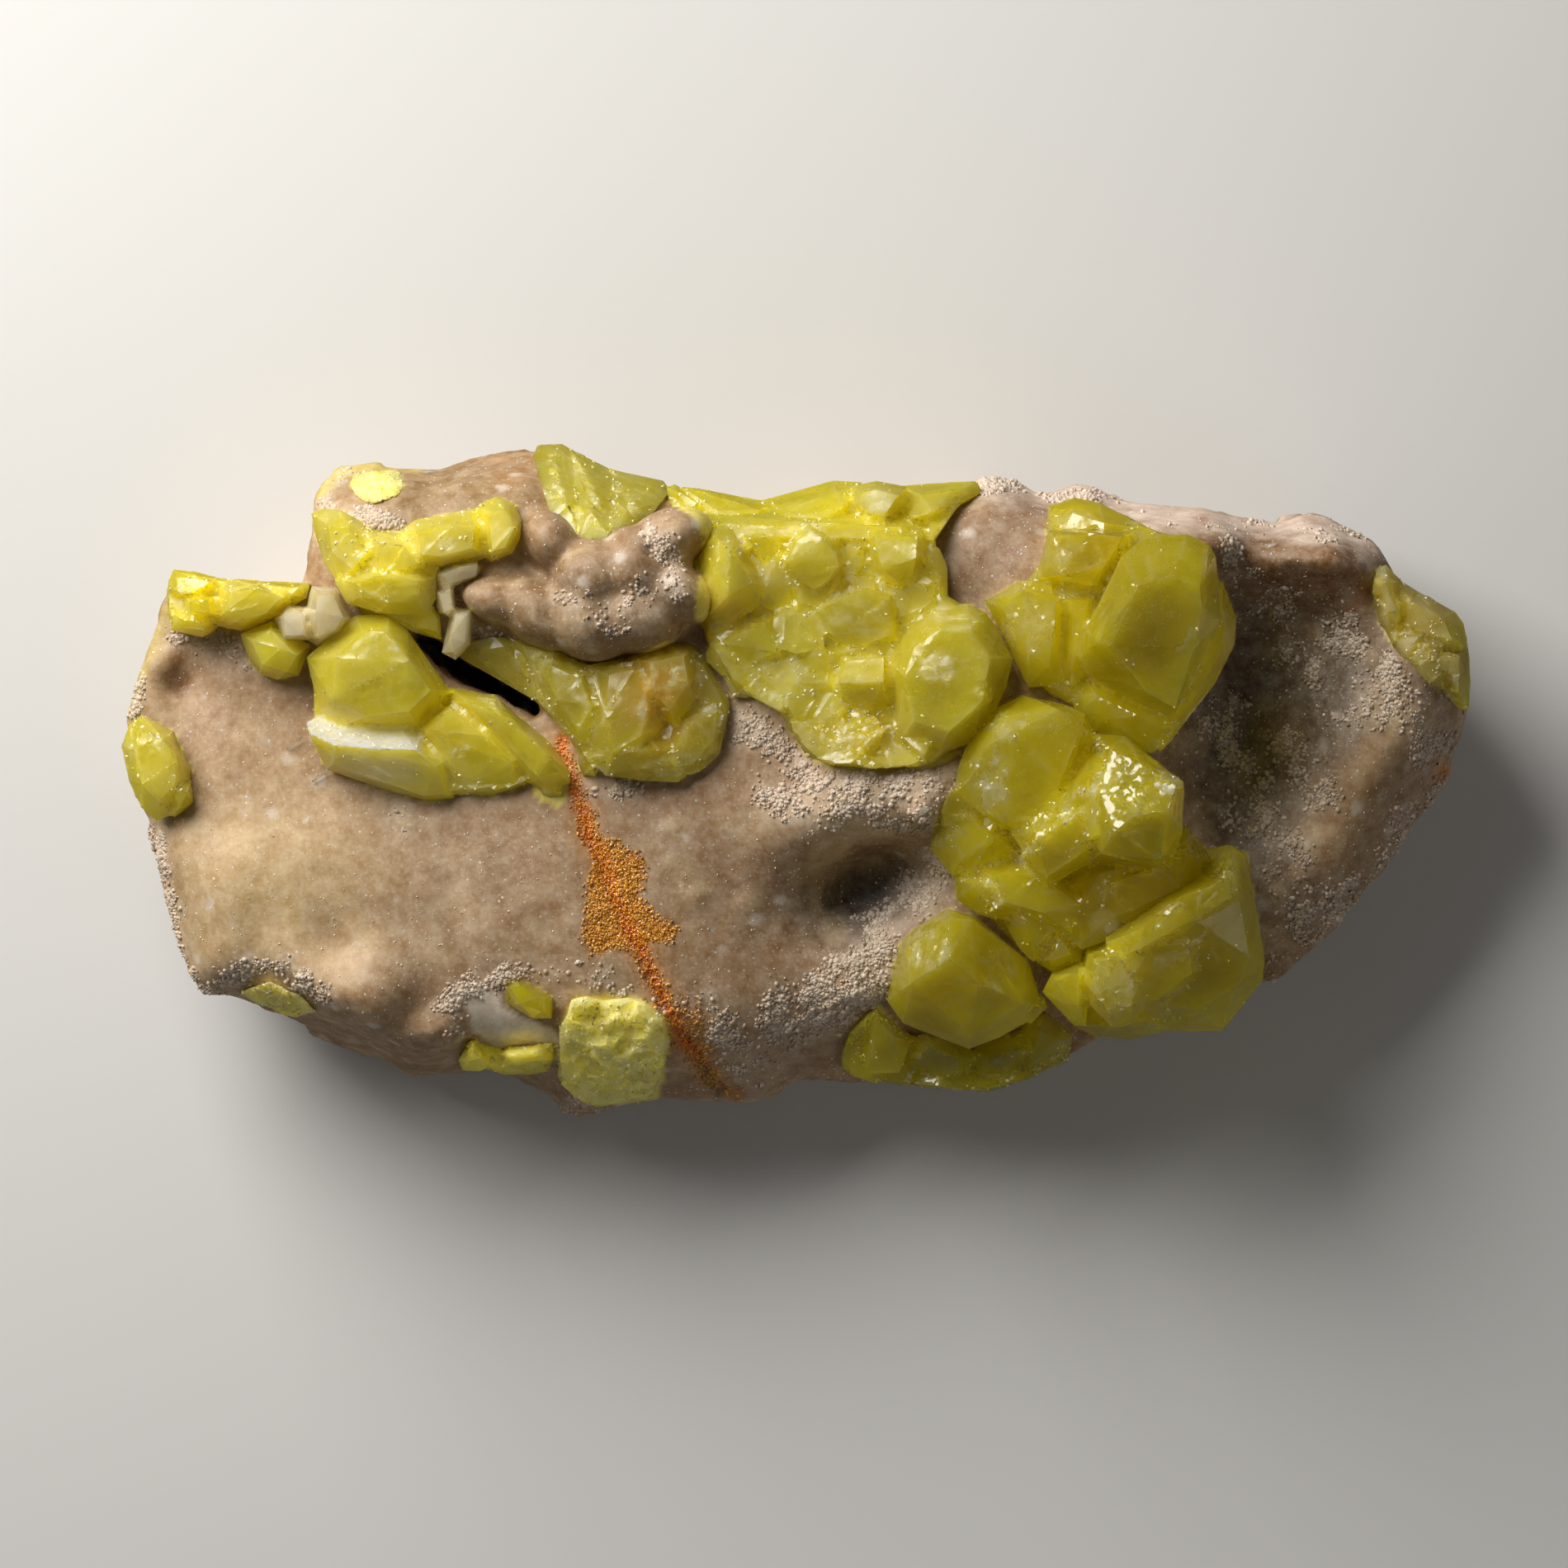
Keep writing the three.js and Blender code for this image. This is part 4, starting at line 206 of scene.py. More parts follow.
  ["l4","sulfur_top_left_ledge",28,22,[[204,704],[210,690],[232,692],[262,699],[262,722],[224,726],[204,722]],[[214,700,32],[238,700,32.6],[254,706,33],[240,716,33.4],[214,716,32.6]],[15,20,0.55]],
  ["l5","sulfur_top_left_ledge",28,23,[[309,704],[336,704.5],[376,707],[372,724],[350,732],[318,716]],[[330,710,33.4],[362,712,33.4],[352,722,33.8]],[0,20,0.7]],
  ["e1","sulfur_left_edge_crystal",27,18,[[171,866],[185,874],[210,886],[222,909],[233,933],[231,950],[222,976],[206,989],[190,995],[171,978],[156,946],[147,905],[156,880]],[[172,884,31],[198,894,32],[214,924,32.4],[212,950,31.8],[192,972,30.6],[172,950,31],[162,908,30.8]],[30,0,0.6]],
  ["e2","sulfur_left_edge_crystal",27,20,[[206,950],[232,944],[234,974],[212,990],[196,988]],[[214,956,31.4],[228,960,31],[216,980,30]],[10,-10,0.6]],
  ["cs1","calcite_small_crystal",32,27,[[545,746],[554,736],[574,734],[571,781],[552,800],[535,791],[542,770]],[[552,746,37],[566,744,37.4],[563,778,36],[550,790,35],[546,772,36.4]]],
  ["plate1","sulfur_top_edge_plate",22,15,[[646,553,25],[651,539,22],[681,538,21],[700,549,21],[706,600,30],[702,659,37],[669,630,35.6],[657,591,32]],[[690,612,35.4],[672,575,29.6]],[0,40,0.6]],
  ["plate2","sulfur_top_edge_plate",22,15,[[690,544,21],[720,561,21],[742,570,21],[748,600,29],[740,652,38.4],[716,661,39],[700,656,37.4],[688,606,32]],[[716,620,36.4],[712,580,28.6]],[0,45,0.6]],
  ["plate3","sulfur_top_edge_plate",22,15,[[738,568,21],[763,575,21],[804,583,21],[812,594,23],[800,610,29],[776,642,35.4],[746,651,38],[736,648,37.8],[734,600,29]],[[760,618,34],[776,600,29]],[0,45,0.6]],
  ["re1","sulfur_right_edge_patch",25,17,[[1690,704],[1717,716],[1764,742],[1774,756],[1779,784],[1740,790],[1700,770],[1682,730]],[[1708,728,30.4],[1748,748,30.4],[1760,776,30.2],[1712,762,30.6]],[-30,20,0.6]],
  ["re2","sulfur_right_edge_patch",24,16,[[1722,784],[1779,784],[1782,824],[1780,862],[1758,842],[1734,828]],[[1742,794,30],[1768,796,29.4],[1768,840,28.4]],[-50,0,0.5]],
  ["re3","sulfur_right_edge_patch",26,20,[[1664,690],[1680,684],[1700,706],[1704,764],[1690,790],[1668,750],[1660,716]],[[1678,706,32],[1692,740,31.4],[1680,740,31.2]],[-10,10,0.7]],
  ["le1","sulfur_lower_edge_crust",18,9,[[1100,1258],[1146,1264],[1182,1284],[1170,1318,12],[1130,1317,12],[1102,1290]],[[1126,1270,23],[1160,1284,22],[1140,1304,18]],[0,-55,0.5]],
  ["le2","sulfur_lower_edge_crust",18,9,[[1180,1278],[1230,1256],[1252,1270],[1250,1300,13],[1225,1315,12],[1194,1324,12],[1172,1320,12]],[[1200,1284,22],[1232,1272,22.6],[1222,1300,18]],[0,-55,0.5]],
  ["le3","sulfur_lower_edge_crust",18,10,[[1238,1250],[1268,1226],[1300,1256],[1294,1287,14],[1262,1297,12],[1246,1296]],[[1260,1244,24],[1280,1260,22.6],[1270,1284,18]],[-20,-50,0.5]],
  ["le4","sulfur_lower_edge_crust",20,10,[[1036,1246],[1064,1214],[1090,1240],[1104,1262],[1090,1300],[1050,1300]],[[1064,1234,26],[1084,1256,24.6],[1066,1280,21]],[0,-40,0.6]],
  ["bp1","sulfur_bottom_patch",23,14,[[676,1240],[694,1208],[740,1203],[764,1240],[732,1288],[690,1282]],[[702,1224,30],[736,1220,30],[738,1256,28],[704,1262,27]],[0,-20,0.7]],
  ["bp2","sulfur_bottom_patch",23,14,[[736,1204],[778,1208],[815,1240],[812,1280],[766,1292],[744,1252]],[[762,1218,30],[796,1242,29],[790,1268,27],[762,1262,28]],[0,-20,0.7]],
  ["bp3","sulfur_bottom_patch",18,9,[[716,1284],[800,1272],[808,1300],[798,1332,12],[752,1340,11],[716,1340,11]],[[740,1296,25],[792,1288,25.4],[782,1316,20],[738,1322,19]],[0,-50,0.5]],
  ["bs1","sulfur_bottom_small_crystal",28,23,[[610,1193],[624,1185],[650,1194],[672,1209],[668,1234],[645,1234],[616,1218]],[[618,1198,31.6],[630,1194,32],[656,1208,32],[656,1226,31],[630,1216,31.4]]],
  ["st1","sulfur_bottom_edge_strip",20,12,[[555,1284],[570,1256],[584,1262],[593,1290],[584,1297,12],[560,1297,12]],[[572,1268,27],[582,1282,25],[568,1286,24]],[10,-35,0.5]],
  ["st2","sulfur_bottom_edge_strip",19,12,[[598,1276],[640,1266],[676,1260],[678,1286],[650,1300,14],[604,1297,13]],[[616,1278,26],[650,1274,27],[660,1284,25],[624,1288,24]],[0,-35,0.5]]
]

# The lower edge stands a little higher in the looks, where the light reaches it
HIGHER = {
    (540, 1272): 25.6, (495, 1272): 25.6, (560, 1220): 28.4, (500, 1230): 27.8, (450, 1250): 26.4, (400, 1228): 26.8,
    (350, 1200): 27.2, (270, 1182): 27.2, (760, 1240): 27.0, (700, 1270): 25.0, (770, 1300): 21.5, (820, 1240): 27.4,
    (700, 1190): 29.2, (760, 1180): 29.4, (300, 1150): 28.8, (400, 1150): 29.3, (620, 1200): 28.8,
}
RELIEF = [[u, v, HIGHER.get((u, v), z)] for u, v, z in RELIEF]
# Low crystals and small pieces that the looks add, in the same form
CRUSTS += [
  ["sulfur_cluster_below_ridge",2.0,24,[[560,780],[600,772],[650,784],[690,800],[710,830],[700,884],[684,890],[660,856],[640,838],[608,820],[574,804],[552,790]]],
  ["sulfur_upper_left_cluster",1.6,24,[[430,722],[488,716],[522,730],[534,748],[536,776],[516,768],[494,758],[470,748],[440,744]]]
]
CRYSTALS += [
  ["g1","calcite_small_crystal",33,28,[[526,694],[544,684],[578,677],[586,690],[574,704],[548,712],[530,710]],[[536,696,37.8],[560,686,38.6],[578,684,38.0],[576,698,37.2],[544,707,37.2]]],
  ["g2","calcite_small_crystal",32,28,[[526,714],[540,708],[552,712],[554,736],[544,748],[530,742]],[[532,720,36.4],[546,716,37.0],[548,736,36.4],[538,742,35.8]]],
  ["tx1","sulfur_glittery_stack",37,24,[[1226,1012],[1256,1000],[1300,956],[1316,896],[1345,896],[1352,960],[1334,1040],[1290,1052],[1248,1044]],[[1250,1010,41.5],[1292,986,43.2],[1316,934,44.4],[1336,922,45],[1328,1012,44],[1284,1034,41.8]]],
  ["tx2","sulfur_glittery_stack",32,20,[[1176,1050],[1236,1036],[1300,1068],[1336,1100],[1316,1144],[1250,1124],[1196,1108]],[[1208,1062,36],[1260,1060,37.2],[1306,1096,36.6],[1264,1106,36],[1214,1092,35.4]]],
  ["tx3","sulfur_glittery_stack",34,22,[[1400,1040],[1436,1000],[1462,1044],[1440,1090],[1380,1120],[1330,1120],[1320,1060]],[[1412,1052,38.6],[1440,1034,38.2],[1430,1076,37.4],[1370,1104,36.8],[1344,1072,38.6]]],
  ["ux1","sulfur_lower_right_cluster",30,14,[[1326,1164],[1384,1128],[1452,1116],[1470,1180],[1420,1234],[1350,1240],[1318,1215]],[[1348,1176,37.6],[1396,1148,39.8],[1442,1142,40],[1444,1180,38.2],[1402,1212,36.2],[1352,1212,36.6]]],
  ["mx1","sulfur_main_band",31,24,[[838,622],[900,630],[960,630],[1036,620],[1100,622],[1134,640],[1104,664],[1000,654],[900,656],[850,652]],[[868,634,34.6],[940,638,36],[1010,634,36.2],[1092,638,36],[1092,654,36.4],[960,650,36.6],[880,650,36]]]
]

# ---------------------------------------------------------------- places


def place(u, v, z):
    k = (1 - (z - REFERENCE_Z) / EYE_DISTANCE) / UNITS_PER_MM
    return np.array([(u - CENTRE_U) * k + SHIFT[0], (CENTRE_U - v) * k + SHIFT[1], z], float)


def layout_of(points):
    """The outline units at which points of the part are seen from above."""
    k = (1 - (points[:, 2] - REFERENCE_Z) / EYE_DISTANCE) / UNITS_PER_MM
    return CENTRE_U + (points[:, 0] - SHIFT[0]) / k, CENTRE_U - (points[:, 1] - SHIFT[1]) / k


# ---------------------------------------------------------------- noise


def hashed(ix, iy, iz, seed):
    m = np.int64(0xFFFFFFFF)
    h = (ix * 374761393 + iy * 668265263 + iz * 1440662683 + seed * 362437) & m
    h = ((h ^ (h >> 13)) * 1274126177) & m
    h = ((h ^ (h >> 15)) * 668265263) & m
    return ((h ^ (h >> 16)) & m) / 4294967295.0


def noise(points, scale, seed=0):
    """Smooth value noise, -1 to 1."""
    q = points / scale
    i = np.floor(q).astype(np.int64)
    f = q - i
    f = f * f * (3 - 2 * f)
    out = np.zeros(len(points))
    for dx in (0, 1):
        wx = f[:, 0] if dx else 1 - f[:, 0]
        for dy in (0, 1):
            wy = f[:, 1] if dy else 1 - f[:, 1]
            for dz in (0, 1):
                wz = f[:, 2] if dz else 1 - f[:, 2]
                out += wx * wy * wz * hashed(i[:, 0] + dx, i[:, 1] + dy, i[:, 2] + dz, seed)
    return out * 2 - 1


def fbm(points, scale, seed=0, octaves=3, gain=0.5):
    total, amplitude = np.zeros(len(points)), 1.0
    for o in range(octaves):
        total += amplitude * noise(points, scale / 2**o, seed + 17 * o)
        amplitude *= gain
    return total


def cells(points, scale, seed=0):
    """Voronoi cells: distance to the nearest seed, the gap to the second one, and three numbers of the cell."""
    q = points / scale
    i = np.floor(q).astype(np.int64)
    best = np.full(len(points), 9.0)
    second = np.full(len(points), 9.0)
    ids = np.zeros((len(points), 3))
    for dx in (-1, 0, 1):
        for dy in (-1, 0, 1):
            for dz in (-1, 0, 1):
                c = [i[:, 0] + dx, i[:, 1] + dy, i[:, 2] + dz]
                o = [hashed(c[0], c[1], c[2], seed + n) for n in range(3)]
                d = np.sqrt(sum((c[n] + o[n] - q[:, n]) ** 2 for n in range(3)))
                nearer = d < best
                second = np.where(nearer, best, np.minimum(second, d))
                for n in range(3):
                    ids[:, n] = np.where(nearer, o[n], ids[:, n])
                best = np.where(nearer, d, best)
    return best * scale, (second - best) * scale, ids


def smooth_step(a, b, x):
    t = np.clip((x - a) / (b - a), 0, 1)
    return t * t * (3 - 2 * t)


# ---------------------------------------------------------------- masks in layout units


def line_distance(u, v, path):
    best = np.full(len(u), 1e9)
    for (ax, ay), (bx, by) in zip(path[:-1], path[1:]):
        dx, dy = bx - ax, by - ay
        t = np.clip(((u - ax) * dx + (v - ay) * dy) / max(dx * dx + dy * dy, 1e-9), 0, 1)
        best = np.minimum(best, np.hypot(u - ax - t * dx, v - ay - t * dy))
    return best


def near_line(u, v, path, width):
    """1 on the line, falling to 0 at about twice the width."""
    return np.exp(-((line_distance(u, v, path) / width) ** 2))


def blob(u, v, cu, cv, ru, rv, turn=0.0):
    a = math.radians(turn)
    x = (u - cu) * math.cos(a) + (v - cv) * math.sin(a)
    y = -(u - cu) * math.sin(a) + (v - cv) * math.cos(a)
    return np.exp(-((x / ru) ** 2 + (y / rv) ** 2))


def inside(u, v, polygon):
    r = np.zeros(len(u), bool)
    for (x1, y1), (x2, y2) in zip(polygon, polygon[1:] + polygon[:1]):
        if y1 == y2:
            continue
        r ^= ((y1 > v) != (y2 > v)) & (u < (x2 - x1) * (v - y1) / (y2 - y1) + x1)
    return r


def in_area(u, v, polygon, soft):
    """1 inside the polygon, 0 outside, with a soft edge of that width."""
    d = line_distance(u, v, polygon + polygon[:1])
    signed = np.where(inside(u, v, polygon), d, -d)
    return smooth_step(-soft, soft, signed)


# ---------------------------------------------------------------- the rock's front surface

KNOTS = np.array([place(*p) for p in OUTLINE + RELIEF])


def kernel(r2):
    return 0.5 * r2 * np.log(np.maximum(r2, 1e-12))


def spline_weights():
    n = len(KNOTS)
    a = np.zeros((n + 3, n + 3))
    d2 = ((KNOTS[:, None, :2] - KNOTS[None, :, :2]) ** 2).sum(2)
    a[:n, :n] = kernel(d2) + 2 * np.eye(n)
    a[:n, n] = a[n, :n] = 1
    a[:n, n + 1 :] = KNOTS[:, :2]
    a[n + 1 :, :n] = KNOTS[:, :2].T
    return np.linalg.solve(a, np.concatenate([KNOTS[:, 2], [0, 0, 0]]))


WEIGHTS = spline_weights()


def height(x, y):
    n = len(KNOTS)
    x, y = np.atleast_1d(x).astype(float), np.atleast_1d(y).astype(float)
    out = np.empty(len(x))
    for s in range(0, len(x), 20000):
        xs, ys = x[s : s + 20000], y[s : s + 20000]
        d2 = (xs[:, None] - KNOTS[None, :, 0]) ** 2 + (ys[:, None] - KNOTS[None, :, 1]) ** 2
        out[s : s + 20000] = kernel(d2) @ WEIGHTS[:n] + WEIGHTS[n] + WEIGHTS[n + 1] * xs + WEIGHTS[n + 2] * ys
    return np.clip(out, 5, 46)


def front_point(u, v):
    """The rock's front at a layout point."""
    z = 30.0
    for _ in range(3):
        p = place(u, v, z)
        z = float(height(p[0], p[1])[0])
    return place(u, v, z)


# ---------------------------------------------------------------- meshes


def mesh_object(name, vertices, faces):
    """A mesh object from millimetres."""
    me = bpy.data.meshes.new(name)
    me.from_pydata((np.asarray(vertices, float) * 0.001).tolist(), [], faces)
    me.update()
    ob = bpy.data.objects.new(name, me)
    bpy.context.scene.collection.objects.link(ob)
    return ob


def array_mesh(name, vertices, triangles):
    """The same, for large arrays of triangles."""
    me = bpy.data.meshes.new(name)
    n, t = len(vertices), len(triangles)
    me.vertices.add(n)
    me.vertices.foreach_set("co", (np.asarray(vertices, np.float32) * 0.001).ravel())
    me.loops.add(3 * t)
    me.loops.foreach_set("vertex_index", np.asarray(triangles, np.int32).ravel())
    me.polygons.add(t)
    me.polygons.foreach_set("loop_start", np.arange(0, 3 * t, 3, dtype=np.int32))
    me.update(calc_edges=True)
    ob = bpy.data.objects.new(name, me)
    bpy.context.scene.collection.objects.link(ob)
    return ob


def coordinates(ob):
    a = np.empty(len(ob.data.vertices) * 3, np.float32)
    ob.data.vertices.foreach_get("co", a)
    return a.reshape(-1, 3).astype(float) * 1000


def set_coordinates(ob, p):
    ob.data.vertices.foreach_set("co", (p * 0.001).astype(np.float32).ravel())
    ob.data.update()


def normals(ob):
    a = np.empty(len(ob.data.vertices) * 3, np.float32)
    ob.data.vertices.foreach_get("normal", a)
    return a.reshape(-1, 3).astype(float)


def smooth_shade(ob):
    ob.data.polygons.foreach_set("use_smooth", np.ones(len(ob.data.polygons), bool))


def baked_modifiers(ob):
    """Applies the modifiers of an object."""
    dg = bpy.context.evaluated_depsgraph_get()
    dg.update()
    me = bpy.data.meshes.new_from_object(ob.evaluated_get(dg))
    old = ob.data
    ob.modifiers.clear()
    ob.data = me
    bpy.data.meshes.remove(old)
    return ob


def remeshed(ob, size):
    m = ob.modifiers.new("remesh", "REMESH")
    m.mode = "VOXEL"
    m.voxel_size = size * 0.001
    m.adaptivity = 0
    return baked_modifiers(ob)


def boolean(ob, other, operation, solver="MANIFOLD"):
    m = ob.modifiers.new("cut", "BOOLEAN")
    m.operation = operation
    m.solver = solver
    m.object = other
    baked_modifiers(ob)
    bpy.data.objects.remove(other)
    return ob


def point_colours(ob, name, rgb):
    a = ob.data.color_attributes.new(name, "FLOAT_COLOR", "POINT")
    rgba = np.ones((len(rgb), 4), np.float32)
    rgba[:, :3] = rgb
    a.data.foreach_set("color", rgba.ravel())


def point_values(ob, name, values):
    a = ob.data.attributes.new(name, "FLOAT", "POINT")
    a.data.foreach_set("value", np.asarray(values, np.float32))


def linear(*srgb):
    return np.array([c / 12.92 if c <= 0.04045 else ((c + 0.055) / 1.055) ** 2.4 for c in srgb])


# ---------------------------------------------------------------- the rock


def block_object():
    x0, x1, y0, y1, step = -86.0, 86.0, -44.5, 44.5, 1.5
    nx, ny = round((x1 - x0) / step), round((y1 - y0) / step)
    xs, ys = np.linspace(x0, x1, nx + 1), np.linspace(y0, y1, ny + 1)
    gx, gy = np.meshgrid(xs, ys)
    z = height(gx.ravel(), gy.ravel())
    top = np.stack([gx.ravel(), gy.ravel(), z], 1)
    low = top.copy()
    low[:, 2] = -3
    row, layer = nx + 1, (nx + 1) * (ny + 1)
    faces = []
    for j in range(ny):
        for i in range(nx):
            a = j * row + i
            faces.append((a, a + 1, a + row + 1, a + row))
            faces.append((a + layer, a + row + layer, a + row + 1 + layer, a + 1 + layer))

    def wall(a, b):
        faces.append((a, a + layer, b + layer, b))

    for i in range(nx):
        wall(i, i + 1)
        wall(ny * row + i + 1, ny * row + i)
    for j in range(ny):
        wall((j + 1) * row, j * row)
        wall(j * row + nx, (j + 1) * row + nx)
    return mesh_object("block", np.concatenate([top, low]), faces)


def sides_object():
    rings = [
        lambda z, i: (70, 1.0),
        lambda z, i: (max(4, z - 3), 1.0),
        lambda z, i: (max(2.6, 0.62 * z - 1 + 1.2 * math.sin(i * 0.65)), 0.982 + 0.008 * math.sin(i * 1.05) + 0.007 * math.sin(i * 0.35 + 1)),
        lambda z, i: (max(1.4, 0.3 * z - 1 + math.sin(i * 0.45 + 2)), 0.945 + 0.01 * math.sin(i * 0.4 + 4) + 0.005 * math.sin(i * 1.3)),
        lambda z, i: (0.0, 0.885 + 0.012 * math.sin(i * 0.28 + 2)),
    ]
    n = len(OUTLINE)
    points, faces = [], []
    for ring in rings:
        for i, (u, v, z) in enumerate(OUTLINE):
            p = place(u, v, z)
            level, s = ring(z, i)
            points.append([(p[0] - SHIFT[0]) * s + SHIFT[0], (p[1] - SHIFT[1]) * s + SHIFT[1], level])
    for k in range(len(rings) - 1):
        for i in range(n):
            a, b = k * n + i, k * n + (i + 1) % n
            faces.append((a, b, b + n, a + n))
    points += [[SHIFT[0], SHIFT[1], 70], [SHIFT[0], SHIFT[1], 0]]
    for i in range(n):
        faces.append((5 * n, (i + 1) % n, i))
        faces.append((5 * n + 1, 4 * n + i, 4 * n + (i + 1) % n))
    return mesh_object("sides", points, faces)


def hull_mesh(points):
    """Vertices and triangles of the convex hull."""
    bm = bmesh.new()
    for p in points:
        bm.verts.new(p)
    r = bmesh.ops.convex_hull(bm, input=bm.verts)
    doomed = {g for g in r["geom_interior"] + r["geom_unused"] if isinstance(g, bmesh.types.BMVert)}
    bmesh.ops.delete(bm, geom=list(doomed), context="VERTS")
    bmesh.ops.recalc_face_normals(bm, faces=bm.faces)
    bm.verts.index_update()
    verts = [tuple(v.co) for v in bm.verts]
    tris = [tuple(v.index for v in f.verts) for f in bm.faces]
    bm.free()
    # faces out
    v = np.array(verts)
    c = v.mean(0)
    out = []
    for t in tris:
        a, b, d = v[t[0]], v[t[1]], v[t[2]]
        nn = np.cross(b - a, d - a)
        out.append(t if nn @ (a - c) > 0 else (t[0], t[2], t[1]))
    return v, out


def rock_object():
    rock = block_object()
    boolean(rock, sides_object(), "INTERSECT")
    for a, b in zip(CREVICE[:-1], CREVICE[1:]):
        points = []
        for up, low, floor in (a, b):
            tops = [place(*up, 30), place(*low, 30)]
            mid = (tops[0] + tops[1]) / 2
            for t in tops:
                wide, narrow = mid + (t - mid) * 1.5, mid + (t - mid) * 0.9
                points += [(wide[0], wide[1], 47), (narrow[0], narrow[1], floor)]
        v, t = hull_mesh(points)
        boolean(rock, mesh_object("wedge", v, t), "DIFFERENCE")
    parts = [rock]
    for u, v, z, rx, ry, rz in LOBES:
        bm = bmesh.new()
        bmesh.ops.create_icosphere(bm, subdivisions=3, radius=1)
        p = place(u, v, z)
        a = u * 0.37
        for w in bm.verts:
            x, y, zz = w.co.x * rx, w.co.y * ry, w.co.z * rz
            w.co = (x * math.cos(a) - y * math.sin(a) + p[0], x * math.sin(a) + y * math.cos(a) + p[1], zz + p[2])
        me = bpy.data.meshes.new("lobe")
        bm.to_mesh(me)
        bm.free()
        me.transform(Matrix.Scale(0.001, 4))
        ob = bpy.data.objects.new("lobe", me)
        bpy.context.scene.collection.objects.link(ob)
        parts.append(ob)
    return joined_objects(parts)


def joined_objects(objects):
    with bpy.context.temp_override(active_object=objects[0], selected_editable_objects=objects):
        bpy.ops.object.join()
    return objects[0]

# ---------------------------------------------------------------- where the rock's looks change

WARM = np.array([1.0, 0.87, 0.60])
VEIN_FAN = [(676, 894), (676, 914), (693, 935), (695, 971), (703, 1002), (708, 1009), (720, 1041), (708, 1097), (704, 1133), (720, 1157), (777, 1141), (813, 1137), (819, 1125), (793, 1109), (773, 1085), (781, 1061), (777, 1041), (733, 1013), (709, 973), (703, 945), (697, 925), (689, 904)]
VEIN_CORE = [(682, 896), (688, 930), (699, 965), (716, 1012), (730, 1040), (745, 1090), (765, 1130), (790, 1180), (815, 1235), (832, 1262), (846, 1282)]
BROWN_PATCH = [(1194, 582), (1216, 577), (1253, 593), (1273, 617), (1251, 644), (1245, 670), (1233, 697), (1204, 707), (1190, 729), (1139, 727), (1141, 686), (1131, 660), (1155, 615), (1180, 611), (1190, 586)]
TOP_BAND = [(1185, 588), (1240, 590), (1290, 596), (1330, 600), (1400, 622), (1470, 630), (1540, 640), (1600, 638), (1660, 662)]
FROST_LINES = [
    # path, width, strength
    ([(905, 880), (935, 900), (960, 930), (1010, 950), (1080, 955), (1150, 945)], 22, 1.0),
    ([(930, 950), (1000, 990), (1060, 985), (1130, 985)], 26, 0.75),
    ([(1150, 1040), (1110, 1075), (1085, 1110)], 28, 1.0),
    ([(1060, 1140), (1040, 1180), (960, 1215)], 34, 0.8),
    ([(1075, 1190), (1010, 1225), (940, 1250)], 26, 0.95),
    ([(793, 650), (810, 670), (822, 714)], 16, 0.9),
    ([(690, 720), (750, 750), (800, 700)], 30, 0.3),
    ([(1490, 652), (1498, 700)], 11, 0.9),
    ([(1530, 720), (1580, 800), (1640, 850), (1720, 870)], 40, 0.5),
    ([(1630, 770), (1680, 830), (1735, 900)], 30, 0.85),
    ([(1460, 870), (1500, 930), (1540, 1020), (1580, 1100)], 40, 0.62),
    ([(1490, 860), (1560, 900), (1600, 960)], 24, 0.5),
    ([(1540, 1180), (1600, 1130), (1680, 1040), (1735, 950)], 20, 0.6),
    ([(552, 1246), (556, 1212), (584, 1190), (612, 1180)], 8, 1.0),
    ([(540, 1222), (560, 1196)], 12, 0.7),
    ([(560, 1200), (600, 1182), (680, 1180), (760, 1195), (830, 1225)], 20, 0.6),
    ([(640, 1272), (690, 1290)], 13, 0.8),
    ([(682, 1340), (725, 1347)], 9, 1.0),
    ([(850, 1230), (900, 1270), (950, 1320)], 36, 0.6),
    ([(166, 830), (160, 860)], 10, 0.8),
    ([(190, 1000), (200, 1080), (215, 1140), (235, 1190)], 9, 0.75),
    ([(244, 1200), (290, 1175), (340, 1172), (386, 1210)], 11, 0.95),
    ([(390, 612), (430, 622), (482, 636)], 10, 0.9),
    ([(386, 590), (400, 575), (430, 568)], 7, 0.6),
    ([(545, 700), (560, 740), (590, 776)], 14, 0.6),
    ([(214, 770), (260, 778), (300, 800)], 16, 0.6),
    ([(480, 990), (490, 1000)], 14, 0.7),
    ([(700, 960), (760, 950)], 16, 0.5),
]


